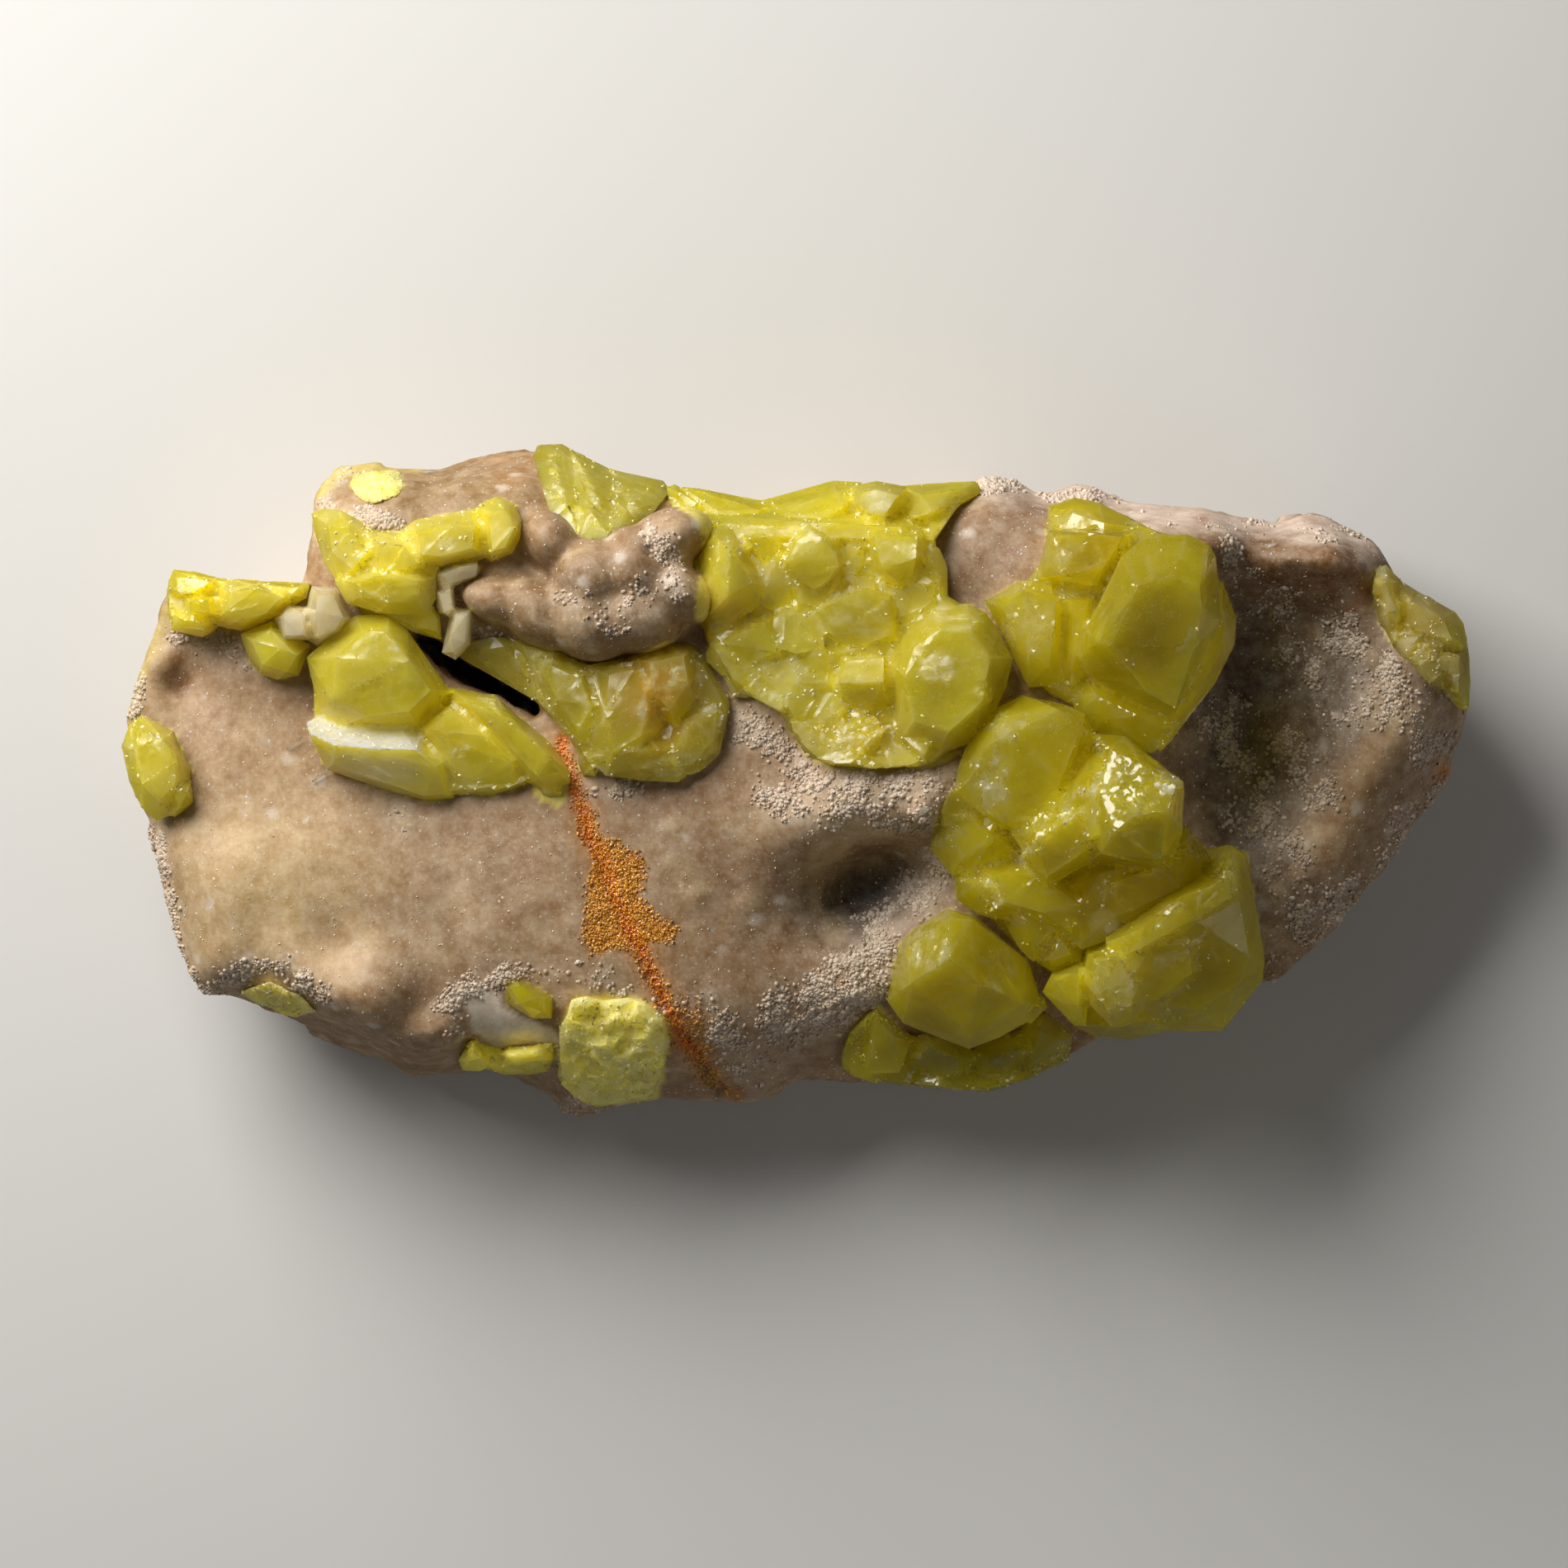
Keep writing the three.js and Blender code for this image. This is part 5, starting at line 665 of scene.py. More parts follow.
def rock_masks(p, n):
    """Frost, amber vein, the broken outside, and colour, for points of the rock with these normals."""
    u, v = layout_of(p)
    wob = 9 * fbm(p, 3.2, 5, 3)
    wob2 = 9 * fbm(p, 3.2, 55, 3)
    uw, vw = u + wob, v + wob2
    front_h = height(p[:, 0], p[:, 1])
    front = smooth_step(0.1, 0.5, n[:, 2]) * smooth_step(-6, -2.5, p[:, 2] - front_h)
    frost = np.zeros(len(p))
    for path, width, strength in FROST_LINES:
        frost = np.maximum(frost, strength * near_line(uw, vw, path, width))
    frost *= 0.35 + 0.65 * smooth_step(-0.45, 0.35, fbm(p, 2.4, 9, 3))
    frost = np.maximum(frost, 0.6 * near_line(uw, vw, TOP_BAND, 14))
    fan = in_area(u + 0.5 * wob, v + 0.5 * wob2, VEIN_FAN, 4)
    core = near_line(u + 0.35 * wob, v + 0.35 * wob2, VEIN_CORE, 6.5)
    tail = 0.75 * near_line(u + 0.3 * wob, v, [(772, 1150), (800, 1200), (820, 1250), (850, 1290), (862, 1308)], 13)
    tail = np.maximum(tail, 0.6 * near_line(uw, vw, [(838, 1230), (850, 1270)], 15))
    far = 0.6 * near_line(u + 0.3 * wob, v, [(862, 1305), (892, 1325)], 9)
    vein = np.clip(np.maximum(np.maximum(fan, tail), np.maximum(core, far)), 0, 1) * front
    core = core * front

    rgb = np.tile(linear(0.665, 0.56, 0.465), (len(p), 1))

    def mix(colour, weight):
        nonlocal rgb
        w = np.clip(weight, 0, 1)[:, None]
        rgb = rgb * (1 - w) + linear(*colour) * w

    # broad zones of the front
    mix((0.76, 0.69, 0.59), 0.9 * blob(uw, vw, 310, 1090, 150, 130))
    mix((0.84, 0.78, 0.66), 0.75 * blob(uw, vw, 330, 1080, 55, 40))
    mix((0.84, 0.78, 0.66), 0.5 * blob(uw, vw, 300, 1010, 40, 26))
    mix((0.66, 0.58, 0.53), 0.7 * blob(uw, vw, 560, 1080, 120, 90))
    mix((0.62, 0.54, 0.50), 0.5 * blob(uw, vw, 800, 1010, 90, 60))
    mix((0.83, 0.77, 0.67), 0.6 * blob(uw, vw, 1020, 985, 85, 26, -8))
    # the hollow below the cream ridge: a darker brown-grey zone round it, then painted shade, near black at its middle
    mix((0.52, 0.44, 0.38), 0.7 * blob(uw, vw, 1000, 1110, 110, 60))
    mix((0.34, 0.25, 0.17), 0.6 * blob(uw, vw, 1040, 1085, 92, 54, -20))
    mix((0.10, 0.065, 0.035), 0.96 * blob(uw, vw, 1046, 1086, 66, 38, -20))
    mix((0.52, 0.42, 0.26), 0.88 * blob(uw, vw, 700, 730, 135, 66))
    mix((0.57, 0.47, 0.28), 0.9 * blob(uw, vw, 560, 600, 105, 38))
    mix((0.78, 0.62, 0.44), 0.5 * blob(uw, vw, 620, 570, 40, 18))
    # the bowl on the right: dark brown, partly the stone's colour and partly painted shade, with painted shadow beside
    # the tall crystals
    mix((0.33, 0.28, 0.26), 0.95 * blob(uw, vw, 1590, 820, 140, 150))
    mix((0.36, 0.31, 0.29), 0.85 * blob(uw, vw, 1520, 1000, 80, 160))
    mix((0.20, 0.16, 0.13), 0.75 * blob(uw, vw, 1490, 890, 46, 120))
    mix((0.68, 0.58, 0.46), 0.85 * near_line(uw, vw, [(1690, 890), (1650, 950), (1605, 1030)], 34))
    mix((0.74, 0.65, 0.54), 0.5 * near_line(uw, vw, [(1680, 900), (1640, 965)], 16))
    # painted shade: an orange-brown band below the broken top edge on the right
    mix((0.50, 0.34, 0.20), 0.95 * near_line(uw, vw, [(1495, 690), (1560, 700), (1630, 705)], 28))
    mix((0.66, 0.52, 0.40), 0.8 * near_line(uw, vw, [(1480, 655), (1560, 665), (1640, 680)], 15))
    mix((0.66, 0.36, 0.13), 0.9 * blob(uw, vw, 1652, 712, 12, 40, 8))
    mix((0.45, 0.42, 0.42), 0.7 * blob(uw, vw, 1636, 682, 10, 22))
    mix((0.80, 0.45, 0.12), 0.9 * blob(uw, vw, 1757, 941, 9, 16))
    # brown in the hollow under the top-left ledge, partly painted shade
    mix((0.52, 0.37, 0.24), 0.8 * blob(uw, vw, 214, 825, 22, 46))
    mix((0.74, 0.66, 0.54), 0.5 * blob(uw, vw, 195, 800, 12, 60))
    mix((0.52, 0.36, 0.22), 0.55 * blob(uw, vw, 397, 925, 12, 16))
    mix((0.60, 0.50, 0.43), 0.95 * in_area(uw, vw, BROWN_PATCH, 7))
    for cu, cv, r in ((845, 1085, 20), (910, 1095, 20), (815, 1000, 14), (813, 1041, 13), (780, 1025, 11), (652, 1137, 18), (486, 996, 16), (530, 1150, 22), (440, 1140, 20), (745, 1180, 14), (905, 1010, 16)):
        mix((0.82, 0.77, 0.70), 0.5 * blob(uw, vw, cu, cv, r, r * 0.8))
    mix((0.88, 0.80, 0.68), 0.55 * blob(uw, vw, 330, 1080, 120, 110))
    # soft white clouds in the stone
    cloud = smooth_step(0.18, 0.62, fbm(p, 4.5, 93, 3)) * (0.45 + 0.55 * smooth_step(-0.3, 0.5, fbm(p, 16, 94, 2)))
    mix((0.86, 0.80, 0.74), 0.42 * cloud)
    mix((0.56, 0.47, 0.40), 0.30 * smooth_step(0.2, 0.7, fbm(p, 6.5, 95, 3)))
    rgb = rgb * WARM
    mix((0.80, 0.72, 0.36), 0.7 * near_line(uw, vw, [(205, 740), (172, 800), (158, 860), (152, 900), (160, 960)], 10))
    # painted shade, deeper and more orange, below the broken top edge on the right
    mix((0.42, 0.25, 0.09), 0.92 * near_line(uw, vw, [(1486, 672), (1560, 680), (1640, 690)], 27))
    mix((0.90, 0.82, 0.34), 0.75 * near_line(u + 0.5 * wob, v + 0.5 * wob2, [(384, 602), (400, 578), (430, 566), (480, 561), (504, 566)], 8))
    # the broken upper edge: pinkish white, with a rusty spot
    mix((0.92, 0.83, 0.77), 0.95 * near_line(uw, vw, TOP_BAND, 17))
    mix((0.62, 0.34, 0.14), 0.8 * blob(u, v, 1457, 630, 9, 6))
    mix((0.97, 0.92, 0.84), 0.95 * in_area(u + 0.6 * wob, v + 0.6 * wob2, [(562, 1206), (580, 1197), (604, 1202), (616, 1222), (645, 1236), (670, 1248), (680, 1268), (650, 1272), (620, 1264), (600, 1272), (582, 1258), (566, 1240)], 4))
    # frost whitens
    # in the bowl on the right the whitening is cut back as painted shade
    bowl_shade_mask = blob(uw, vw, 1560, 900, 170, 230)
    mix((0.84, 0.77, 0.69), (0.72 - 0.4 * bowl_shade_mask) * frost * front)
    mix((0.88, 0.79, 0.68), 0.5 * blob(uw, vw, 1012, 984, 84, 26, -8))
    # more painted shade below the broken top edge on the right
    mix((0.52, 0.36, 0.14), 0.7 * near_line(uw, vw, [(1480, 668), (1560, 678), (1640, 688)], 22))
    # painted shade deepening the hollow below the cream ridge
    mix((0.10, 0.065, 0.03), 0.7 * blob(uw, vw, 1042, 1088, 52, 30, -20))
    # painted shadow beside the tall crystals
    mix((0.16, 0.12, 0.09), 0.6 * blob(uw, vw, 1500, 805, 48, 130))
    # stains of the vein
    mix((0.84, 0.58, 0.26), 0.5 * np.clip(near_line(uw, vw, VEIN_CORE, 24) - 0.1, 0, 1) * front)
    mix((0.84, 0.54, 0.12), 0.9 * vein)
    mix((0.92, 0.42, 0.01), 0.95 * core)
    mix((0.28, 0.17, 0.09), 0.8 * near_line(u + 0.3 * wob, v, [(845, 1282), (858, 1305), (872, 1330)], 3.5) * front)
    # under the crystals the rock is stained yellow, a bright yellow that is also painted light standing in for the
    # light the crystals let through
    under = np.zeros(len(p))
    for _, _, _, polygon in CRUSTS:
        under = np.maximum(under, in_area(u, v, [tuple(q) for q in polygon], 5))
    for _, group, _, _, rim, *_ in CRYSTALS:
        if group == "sulfur_top_edge_plate":
            continue
        under = np.maximum(under, in_area(u, v, [tuple(q[:2]) for q in rim], 4))
    mix((0.95, 0.88, 0.38), smooth_step(0.6, 1.0, under) * smooth_step(-8, -4, p[:, 2] - front_h))
    # the broken outside: cream and tan, with brown stains and a few yellow spots
    _, _, ids = cells(p + 1.5 * np.stack([noise(p, 3, 71), noise(p, 3, 72), noise(p, 3, 73)], 1), 9.0, 31)
    outside = 1 - smooth_step(-7.5, -3.5, p[:, 2] - front_h)
    outside = np.maximum(outside, (1 - smooth_step(-0.2, 0.25, n[:, 2])) * smooth_step(3, 0.5, p[:, 2] - 30))
    tone = 0.5 + 0.5 * fbm(p, 14, 40, 2)
    shade = linear(0.76, 0.68, 0.58) * (1 - tone[:, None]) + linear(0.62, 0.53, 0.43) * tone[:, None]
    shade = shade * (0.84 + 0.32 * ids[:, :1])
    brown = smooth_step(0.35, 0.8, fbm(p, 9, 47, 3))
    shade = shade * (1 - 0.5 * brown[:, None]) + linear(0.45, 0.30, 0.18) * (0.5 * brown[:, None])
    yellow = smooth_step(0.62, 0.85, fbm(p, 6, 91, 2))
    shade = shade * (1 - 0.6 * yellow[:, None]) + linear(0.74, 0.70, 0.32) * (0.6 * yellow[:, None])
    rgb = rgb * (1 - outside[:, None]) + shade * WARM * outside[:, None]
    # the walls of the crevice: amber brown, with painted shade that darkens them the deeper they are
    fall = p[:, 2] - front_h
    slit = near_line(u, v, [((a[0] + b[0]) / 2, (a[1] + b[1]) / 2) for a, b, _ in CREVICE], 30) * smooth_step(-0.5, -1.8, fall)
    slit = np.clip(1.6 * slit, 0, 1)[:, None]
    deep = smooth_step(-1.5, -6.0, fall)[:, None]
    rgb = rgb * (1 - slit) + (linear(0.60, 0.46, 0.14) * (1 - deep) + linear(0.20, 0.12, 0.04) * deep) * slit
    mix((0.80, 0.50, 0.10), 0.9 * blob(u, v, 1750, 938, 12, 17))
    return np.clip(frost * front, 0, 1), vein, core, outside, np.clip(rgb, 0, 1), under, front


def shape_rock(rock):
    """Uneven druse on the front, broken steps on the outside, a flat worn underside."""
    p = coordinates(rock)
    n = normals(rock)
    frost, vein, core, outside, _, under, front = rock_masks(p, n)
    warp = np.stack([noise(p, 3, 61), noise(p, 3, 62), noise(p, 3, 63)], 1)
    d = 0.30 * fbm(p, 9.0, 1, 2) + (0.05 + 0.16 * frost) * fbm(p, 2.0, 2, 2)
    grains, edge, ids = cells(p + 0.2 * warp, 1.7, 3)
    d = d + (0.30 * frost + 0.10 * vein) * (0.8 - grains / 1.0)
    u, v = layout_of(p)
    ridge = smooth_step(0, 1, (p[:, 2] - height(p[:, 0], p[:, 1])) / 1.5) * front
    g2, _, _ = cells(p + 0.5 * warp, 3.2, 8)
    d = d + 0.22 * ridge * (0.9 - g2 / 2.0)
    big, gap, bid = cells(p + 2.2 * warp, 8.5, 21)
    steps = 1.5 * (bid[:, 0] - 0.5) * smooth_step(0.0, 1.2, gap) + 0.5 * fbm(p, 3, 24, 3) - 0.5 * smooth_step(0.7, 0.0, gap)
    d = d * (1 - outside) + steps * outside
    d -= 0.5 * core + 0.15 * vein
    # dimples and dark hollows seen on the front
    for cu, cv, r, deep in ((791, 668, 9, 0.8), (1734, 753, 5, 0.6), (1115, 1000, 8, 0.6), (872, 1322, 6, 0.8), (330, 1088, 50, 0.9), (416, 1157, 34, 0.5), (1045, 1080, 40, 2.4), (1090, 1062, 34, 2.0), (215, 830, 18, 0.5)):
        d -= deep * blob(u, v, cu, cv, r, r) * front
    for cu, cv, r, up in ((470, 1205, 44, 0.9), (622, 1238, 34, 1.2), (1115, 985, 13, 1.2), (845, 1085, 16, 0.4), (910, 1095, 16, 0.4), (815, 1000, 12, 0.35)):
        d += up * blob(u, v, cu, cv, r, r) * front
    d *= 1 - 0.6 * under
    p2 = p + n * d[:, None]
    # the underside stays flat, a little worn
    low = (n[:, 2] < -0.6) & (p[:, 2] < 1.2)
    p2[low] = p[low]
    p2[low, 2] = 0.5 * np.clip(fbm(p[low], 5, 33, 3) - 0.1, 0, 1)
    p2[:, 2] = np.maximum(p2[:, 2], 0.0)
    set_coordinates(rock, p2)
    return p2


def paint_rock(rock):
    p, n = coordinates(rock), normals(rock)
    frost, vein, core, outside, rgb, under, front = rock_masks(p, n)
    point_colours(rock, "paint", rgb)
    point_values(rock, "frost", frost)
    point_values(rock, "vein", vein)
    point_values(rock, "outside", outside)
    return frost, vein, outside, under, front, rgb


# ---------------------------------------------------------------- druse grains

RHOMB = np.array([(x, y, z) for x in (-1, 1) for y in (-1, 1) for z in (-1, 1)], float) * 0.5
RHOMB = RHOMB @ np.array([[1, 0.18, 0.18], [0.18, 1, 0.18], [0.18, 0.18, 1]])
RHOMB_FACES = np.array([(0, 1, 3), (0, 3, 2), (4, 6, 7), (4, 7, 5), (0, 4, 5), (0, 5, 1), (2, 3, 7), (2, 7, 6), (0, 2, 6), (0, 6, 4), (1, 5, 7), (1, 7, 3)])
GOLDEN = (1 + 5**0.5) / 2
BUD = np.array([(a, b * GOLDEN, 0) for a in (-1, 1) for b in (-1, 1)] + [(0, a, b * GOLDEN) for a in (-1, 1) for b in (-1, 1)] + [(b * GOLDEN, 0, a) for a in (-1, 1) for b in (-1, 1)], float) * 0.28
BUD_FACES = np.array([t for t in [(i, j, k) for i in range(12) for j in range(i + 1, 12) for k in range(j + 1, 12)] if all(abs(np.linalg.norm(BUD[t[m]] - BUD[t[m - 1]]) - 0.56) < 1e-6 for m in range(3))])


def random_turns(count):
    q = RNG.normal(size=(count, 4))
    q /= np.linalg.norm(q, axis=1)[:, None]
    w, x, y, z = q.T
    return np.stack(
        [
            np.stack([1 - 2 * (y * y + z * z), 2 * (x * y - z * w), 2 * (x * z + y * w)], 1),
            np.stack([2 * (x * y + z * w), 1 - 2 * (x * x + z * z), 2 * (y * z - x * w)], 1),
            np.stack([2 * (x * z - y * w), 2 * (y * z + x * w), 1 - 2 * (x * x + y * y)], 1),
        ],
        1,
    )


def grains_object(name, spots, normal, size, rgb, sink=0.15, bud=False):
    """Small rhombs or rounded buds set on a surface, those faces kept that don't point into it."""
    shape, shape_faces = (BUD, BUD_FACES) if bud else (RHOMB, RHOMB_FACES)
    k = len(spots)
    turns = random_turns(k)
    size = size[:, None] * RNG.uniform(0.75, 1.3, (k, 3))
    corners = np.einsum("kij,kvj->kvi", turns, shape[None] * size[:, None, :])
    centre = spots + normal * (size.mean(1)[:, None] * sink)
    v = corners + centre[:, None, :]
    tri = v[:, shape_faces]
    fn = np.cross(tri[:, :, 1] - tri[:, :, 0], tri[:, :, 2] - tri[:, :, 0])
    fn /= np.linalg.norm(fn, axis=2)[:, :, None]
    away = np.einsum("kfi,kfi->kf", fn, tri.mean(2) - v.mean(1)[:, None, :])
    flip = away < 0
    faces = np.broadcast_to(shape_faces[None], (k, *shape_faces.shape)).copy()
    faces[flip] = faces[flip][:, [0, 2, 1]]
    fn[flip] *= -1
    keep = np.einsum("kfi,ki->kf", fn, normal) > -0.35
    if not bud:  # a face's two triangles stay or go together
        keep = np.repeat(keep.reshape(k, 6, 2).any(2), 2, axis=1)
    index = faces + len(shape) * np.arange(k)[:, None, None]
    ob = array_mesh(name, v.reshape(-1, 3), index[keep])
    point_colours(ob, "paint", np.repeat(rgb, len(shape), axis=0))
    if bud:
        smooth_shade(ob)
    return ob


def sampled(rock, weight, count):
    """Random spots on the rock's triangles, more where weight is higher: places, normals and the face's index."""
    me = rock.data
    me.calc_loop_triangles()
    t = np.empty(len(me.loop_triangles) * 3, np.int32)
    me.loop_triangles.foreach_get("vertices", t)
    t = t.reshape(-1, 3)
    p, n = coordinates(rock), normals(rock)
    a = np.linalg.norm(np.cross(p[t[:, 1]] - p[t[:, 0]], p[t[:, 2]] - p[t[:, 0]]), axis=1) / 2
    w = a * weight[t].mean(1)
    total = w.sum()
    pick = RNG.choice(len(t), size=count, p=w / total)
    r1, r2 = np.sqrt(RNG.random(count)), RNG.random(count)
    b = np.stack([1 - r1, r1 * (1 - r2), r1 * r2], 1)[:, :, None]
    spots = (p[t[pick]] * b).sum(1)
    nn = (n[t[pick]] * b).sum(1)
    nn /= np.linalg.norm(nn, axis=1)[:, None]
    return spots, nn, t[pick]

# ---------------------------------------------------------------- crystals


def corners(c):
    """The corners of one crystal, with its root drawn in below its rim."""
    _, _, rim_z, root_z, rim, top, *rest = c
    du, dv, scale = rest[0] if rest else (0, 0, 0.8)
    rim_points = np.array([place(q[0], q[1], q[2] if len(q) > 2 else rim_z) for q in rim])
    mid = rim_points.mean(0)
    root = rim_points[:: 2 if len(rim_points) >= 6 else 1].copy()
    root[:, 0] = mid[0] + du / UNITS_PER_MM + (root[:, 0] - mid[0]) * scale
    root[:, 1] = mid[1] - dv / UNITS_PER_MM + (root[:, 1] - mid[1]) * scale
    root[:, 2] = root_z
    return np.concatenate([rim_points, root, np.array([place(*q) for q in top])])


def planes_of(v, t):
    """The hull's planes, those that nearly coincide taken once."""
    out = []
    for a, b, c in t:
        n = np.cross(v[b] - v[a], v[c] - v[a])
        size = np.linalg.norm(n)
        if size < 1e-9:
            continue
        n = n / size
        d = n @ v[a]
        if all(n @ m < 0.9995 or abs(d - e) > 0.05 for m, e in out):
            out.append((n, d))
    return np.array([o[0] for o in out]), np.array([o[1] for o in out])


def clipped(outline, a, b, c):
    """The part of a convex outline where a * u + b * v <= c."""
    out = []
    for i, q in enumerate(outline):
        r = outline[i - 1]
        fq, fr = a * q[0] + b * q[1] - c, a * r[0] + b * r[1] - c
        if (fq <= 0) != (fr <= 0):
            t = fr / (fr - fq)
            out.append((r[0] + t * (q[0] - r[0]), r[1] + t * (q[1] - r[1])))
        if fq <= 0:
            out.append(q)
    return out


def cell_corners(spot, spots, polygon, wide):
    """The corners of the ground nearer to this spot than to the others: those inside the crust, and those on its edge."""
    u, v = spot
    cell = [(u - 2 * wide, v - 2 * wide), (u + 2 * wide, v - 2 * wide), (u + 2 * wide, v + 2 * wide), (u - 2 * wide, v + 2 * wide)]
    grown = RNG.uniform(0.0, 0.22)
    for a, b in spots:
        du, dv = a - u, b - v
        if 0 < math.hypot(du, dv) < 5 * wide and len(cell) > 2:
            cell = clipped(cell, du, dv, (u + a) / 2 * du + (v + b) / 2 * dv + grown * (du * du + dv * dv))
    if len(cell) < 3:
        return [], []
    within = [q for q in cell if inside(np.array([q[0]]), np.array([q[1]]), polygon)[0]]
    area = sum(q[0] * r[1] - q[1] * r[0] for q, r in zip(cell, cell[1:] + cell[:1]))
    turn = 1 if area > 0 else -1
    edges = list(zip(cell, cell[1:] + cell[:1]))
    rim = [k for k in polygon if all(turn * ((r[0] - q[0]) * (k[1] - q[1]) - (r[1] - q[1]) * (k[0] - q[0])) >= 0 for q, r in edges)]
    for q, r in edges:
        for k, m in zip(polygon, polygon[1:] + polygon[:1]):
            e, f = (r[0] - q[0], r[1] - q[1]), (m[0] - k[0], m[1] - k[1])
            det = e[0] * f[1] - e[1] * f[0]
            if abs(det) < 1e-9:
                continue
            s = ((k[0] - q[0]) * f[1] - (k[1] - q[1]) * f[0]) / det
            t = ((k[0] - q[0]) * e[1] - (k[1] - q[1]) * e[0]) / det
            if 0 <= s <= 1 and 0 <= t <= 1:
                rim.append((q[0] + s * e[0], q[1] + s * e[1]))
    return within, rim


def ragged(polygon):
    """The outline with its long edges broken into uneven shorter ones."""
    out = []
    for (u1, v1), (u2, v2) in zip(polygon, polygon[1:] + polygon[:1]):
        size = math.hypot(u2 - u1, v2 - v1)
        pieces = max(1, round(size / 15))
        out.append((u1, v1))
        for i in range(1, pieces):
            t = (i + RNG.uniform(-0.3, 0.3)) / pieces
            off = RNG.uniform(-4.5, 4.5)
            out.append((u1 + (u2 - u1) * t - (v2 - v1) / size * off, v1 + (v2 - v1) * t + (u2 - u1) / size * off))
    return out


def crust_crystal(within, rim, thick, tall):
    """The corners of one low crystal of a crust: a tilted top with a worn edge round it, and a root in the rock."""
    ground = [front_point(*q) for q in within + rim]
    mid = np.mean(ground, axis=0)
    e = 0.8
    h = height(np.array([mid[0] + e, mid[0] - e, mid[0], mid[0]]), np.array([mid[1], mid[1], mid[1] + e, mid[1] - e]))
    slope = np.array([h[0] - h[1], h[2] - h[3]]) / (2 * e) + RNG.normal(size=2) * 0.14
    top = mid[2] + tall
    worn = RNG.uniform(0.12, 0.75)
    inner = RNG.uniform(0.5, 0.85)
    lean = RNG.uniform(-0.3, 0.3, 2)
    points = []
    for i, g in enumerate(ground):
        plane = top + slope @ (g[:2] - mid[:2])
        low = g[2] + thick * RNG.uniform(0.12, 0.5) if i >= len(within) else plane - worn * RNG.uniform(0.6, 1.4)
        points.append((g[0], g[1], min(low, plane - 0.1)))
        points.append((*(mid[:2] + 0.9 * (g[:2] - mid[:2])), g[2] - 1.3))
        k = inner * RNG.uniform(0.85, 1.15)
        at = mid[:2] + k * (g[:2] - mid[:2]) + lean
        points.append((*at, top + slope @ (at - mid[:2]) + RNG.uniform(-0.02, 0.02)))
    return np.array(points)


def polygon_spots(polygon, spacing):
    """Random spots inside a polygon in layout units, at about that spacing in millimetres."""
    us, vs = [q[0] for q in polygon], [q[1] for q in polygon]
    s = spacing * UNITS_PER_MM
    out = []
    j = 0
    v = min(vs)
    while v <= max(vs):
        u = min(us) + (s / 2 if j % 2 else 0)
        while u <= max(us):
            uu, vv = u + RNG.uniform(-0.35, 0.35) * s, v + RNG.uniform(-0.35, 0.35) * s
            if inside(np.array([uu]), np.array([vv]), [tuple(q[:2]) for q in polygon])[0]:
                out.append((uu, vv))
            u += s
        v += s * 0.87
        j += 1
    return out


# How each group looks: voxel size, spacing of the low crystals in its crust, growth relief, dust
STYLE = {
    "sulfur_tall_right_crystals": (0.44, 4.6, 0.7, 0.06),
    "sulfur_glittery_stack": (0.43, 4.4, 0.9, 0.05),
    "sulfur_lower_right_cluster": (0.43, 4.6, 0.8, 0.08),
    "sulfur_lower_crystal": (0.40, 0, 0.6, 0.04),
    "sulfur_main_band": (0.43, 5.0, 0.7, 0.09),
    "sulfur_cluster_below_ridge": (0.40, 4.6, 0.8, 0.07),
    "sulfur_centre_left_cluster": (0.41, 4.4, 0.8, 0.12),
    "sulfur_upper_left_cluster": (0.38, 3.6, 0.9, 0.22),
    "sulfur_small_crystals_by_calcite": (0.30, 0, 0.5, 0.15),
    "sulfur_top_left_ledge": (0.36, 3.4, 0.8, 0.15),
    "sulfur_left_edge_crystal": (0.34, 0, 0.8, 0.15),
    "sulfur_top_edge_plate": (0.38, 0, 0.9, 0.2),
    "sulfur_right_edge_patch": (0.36, 2.4, 1.1, 0.3),
    "sulfur_lower_edge_crust": (0.38, 3.2, 1.0, 0.12),
    "sulfur_bottom_patch": (0.34, 2.4, 1.1, 0.75),
    "sulfur_bottom_small_crystal": (0.28, 0, 0.4, 0.04),
    "sulfur_bottom_edge_strip": (0.34, 2.6, 1.0, 0.35),
    "sulfur_lower_left_patch": (0.26, 1.4, 0.7, 0.8),
    "sulfur_top_left_patch": (0.26, 1.4, 0.7, 0.9),
    "calcite_pair": (0.30, 0, 0.4, 0.15),
    "calcite_small_crystal": (0.24, 0, 0.4, 0.2),
}
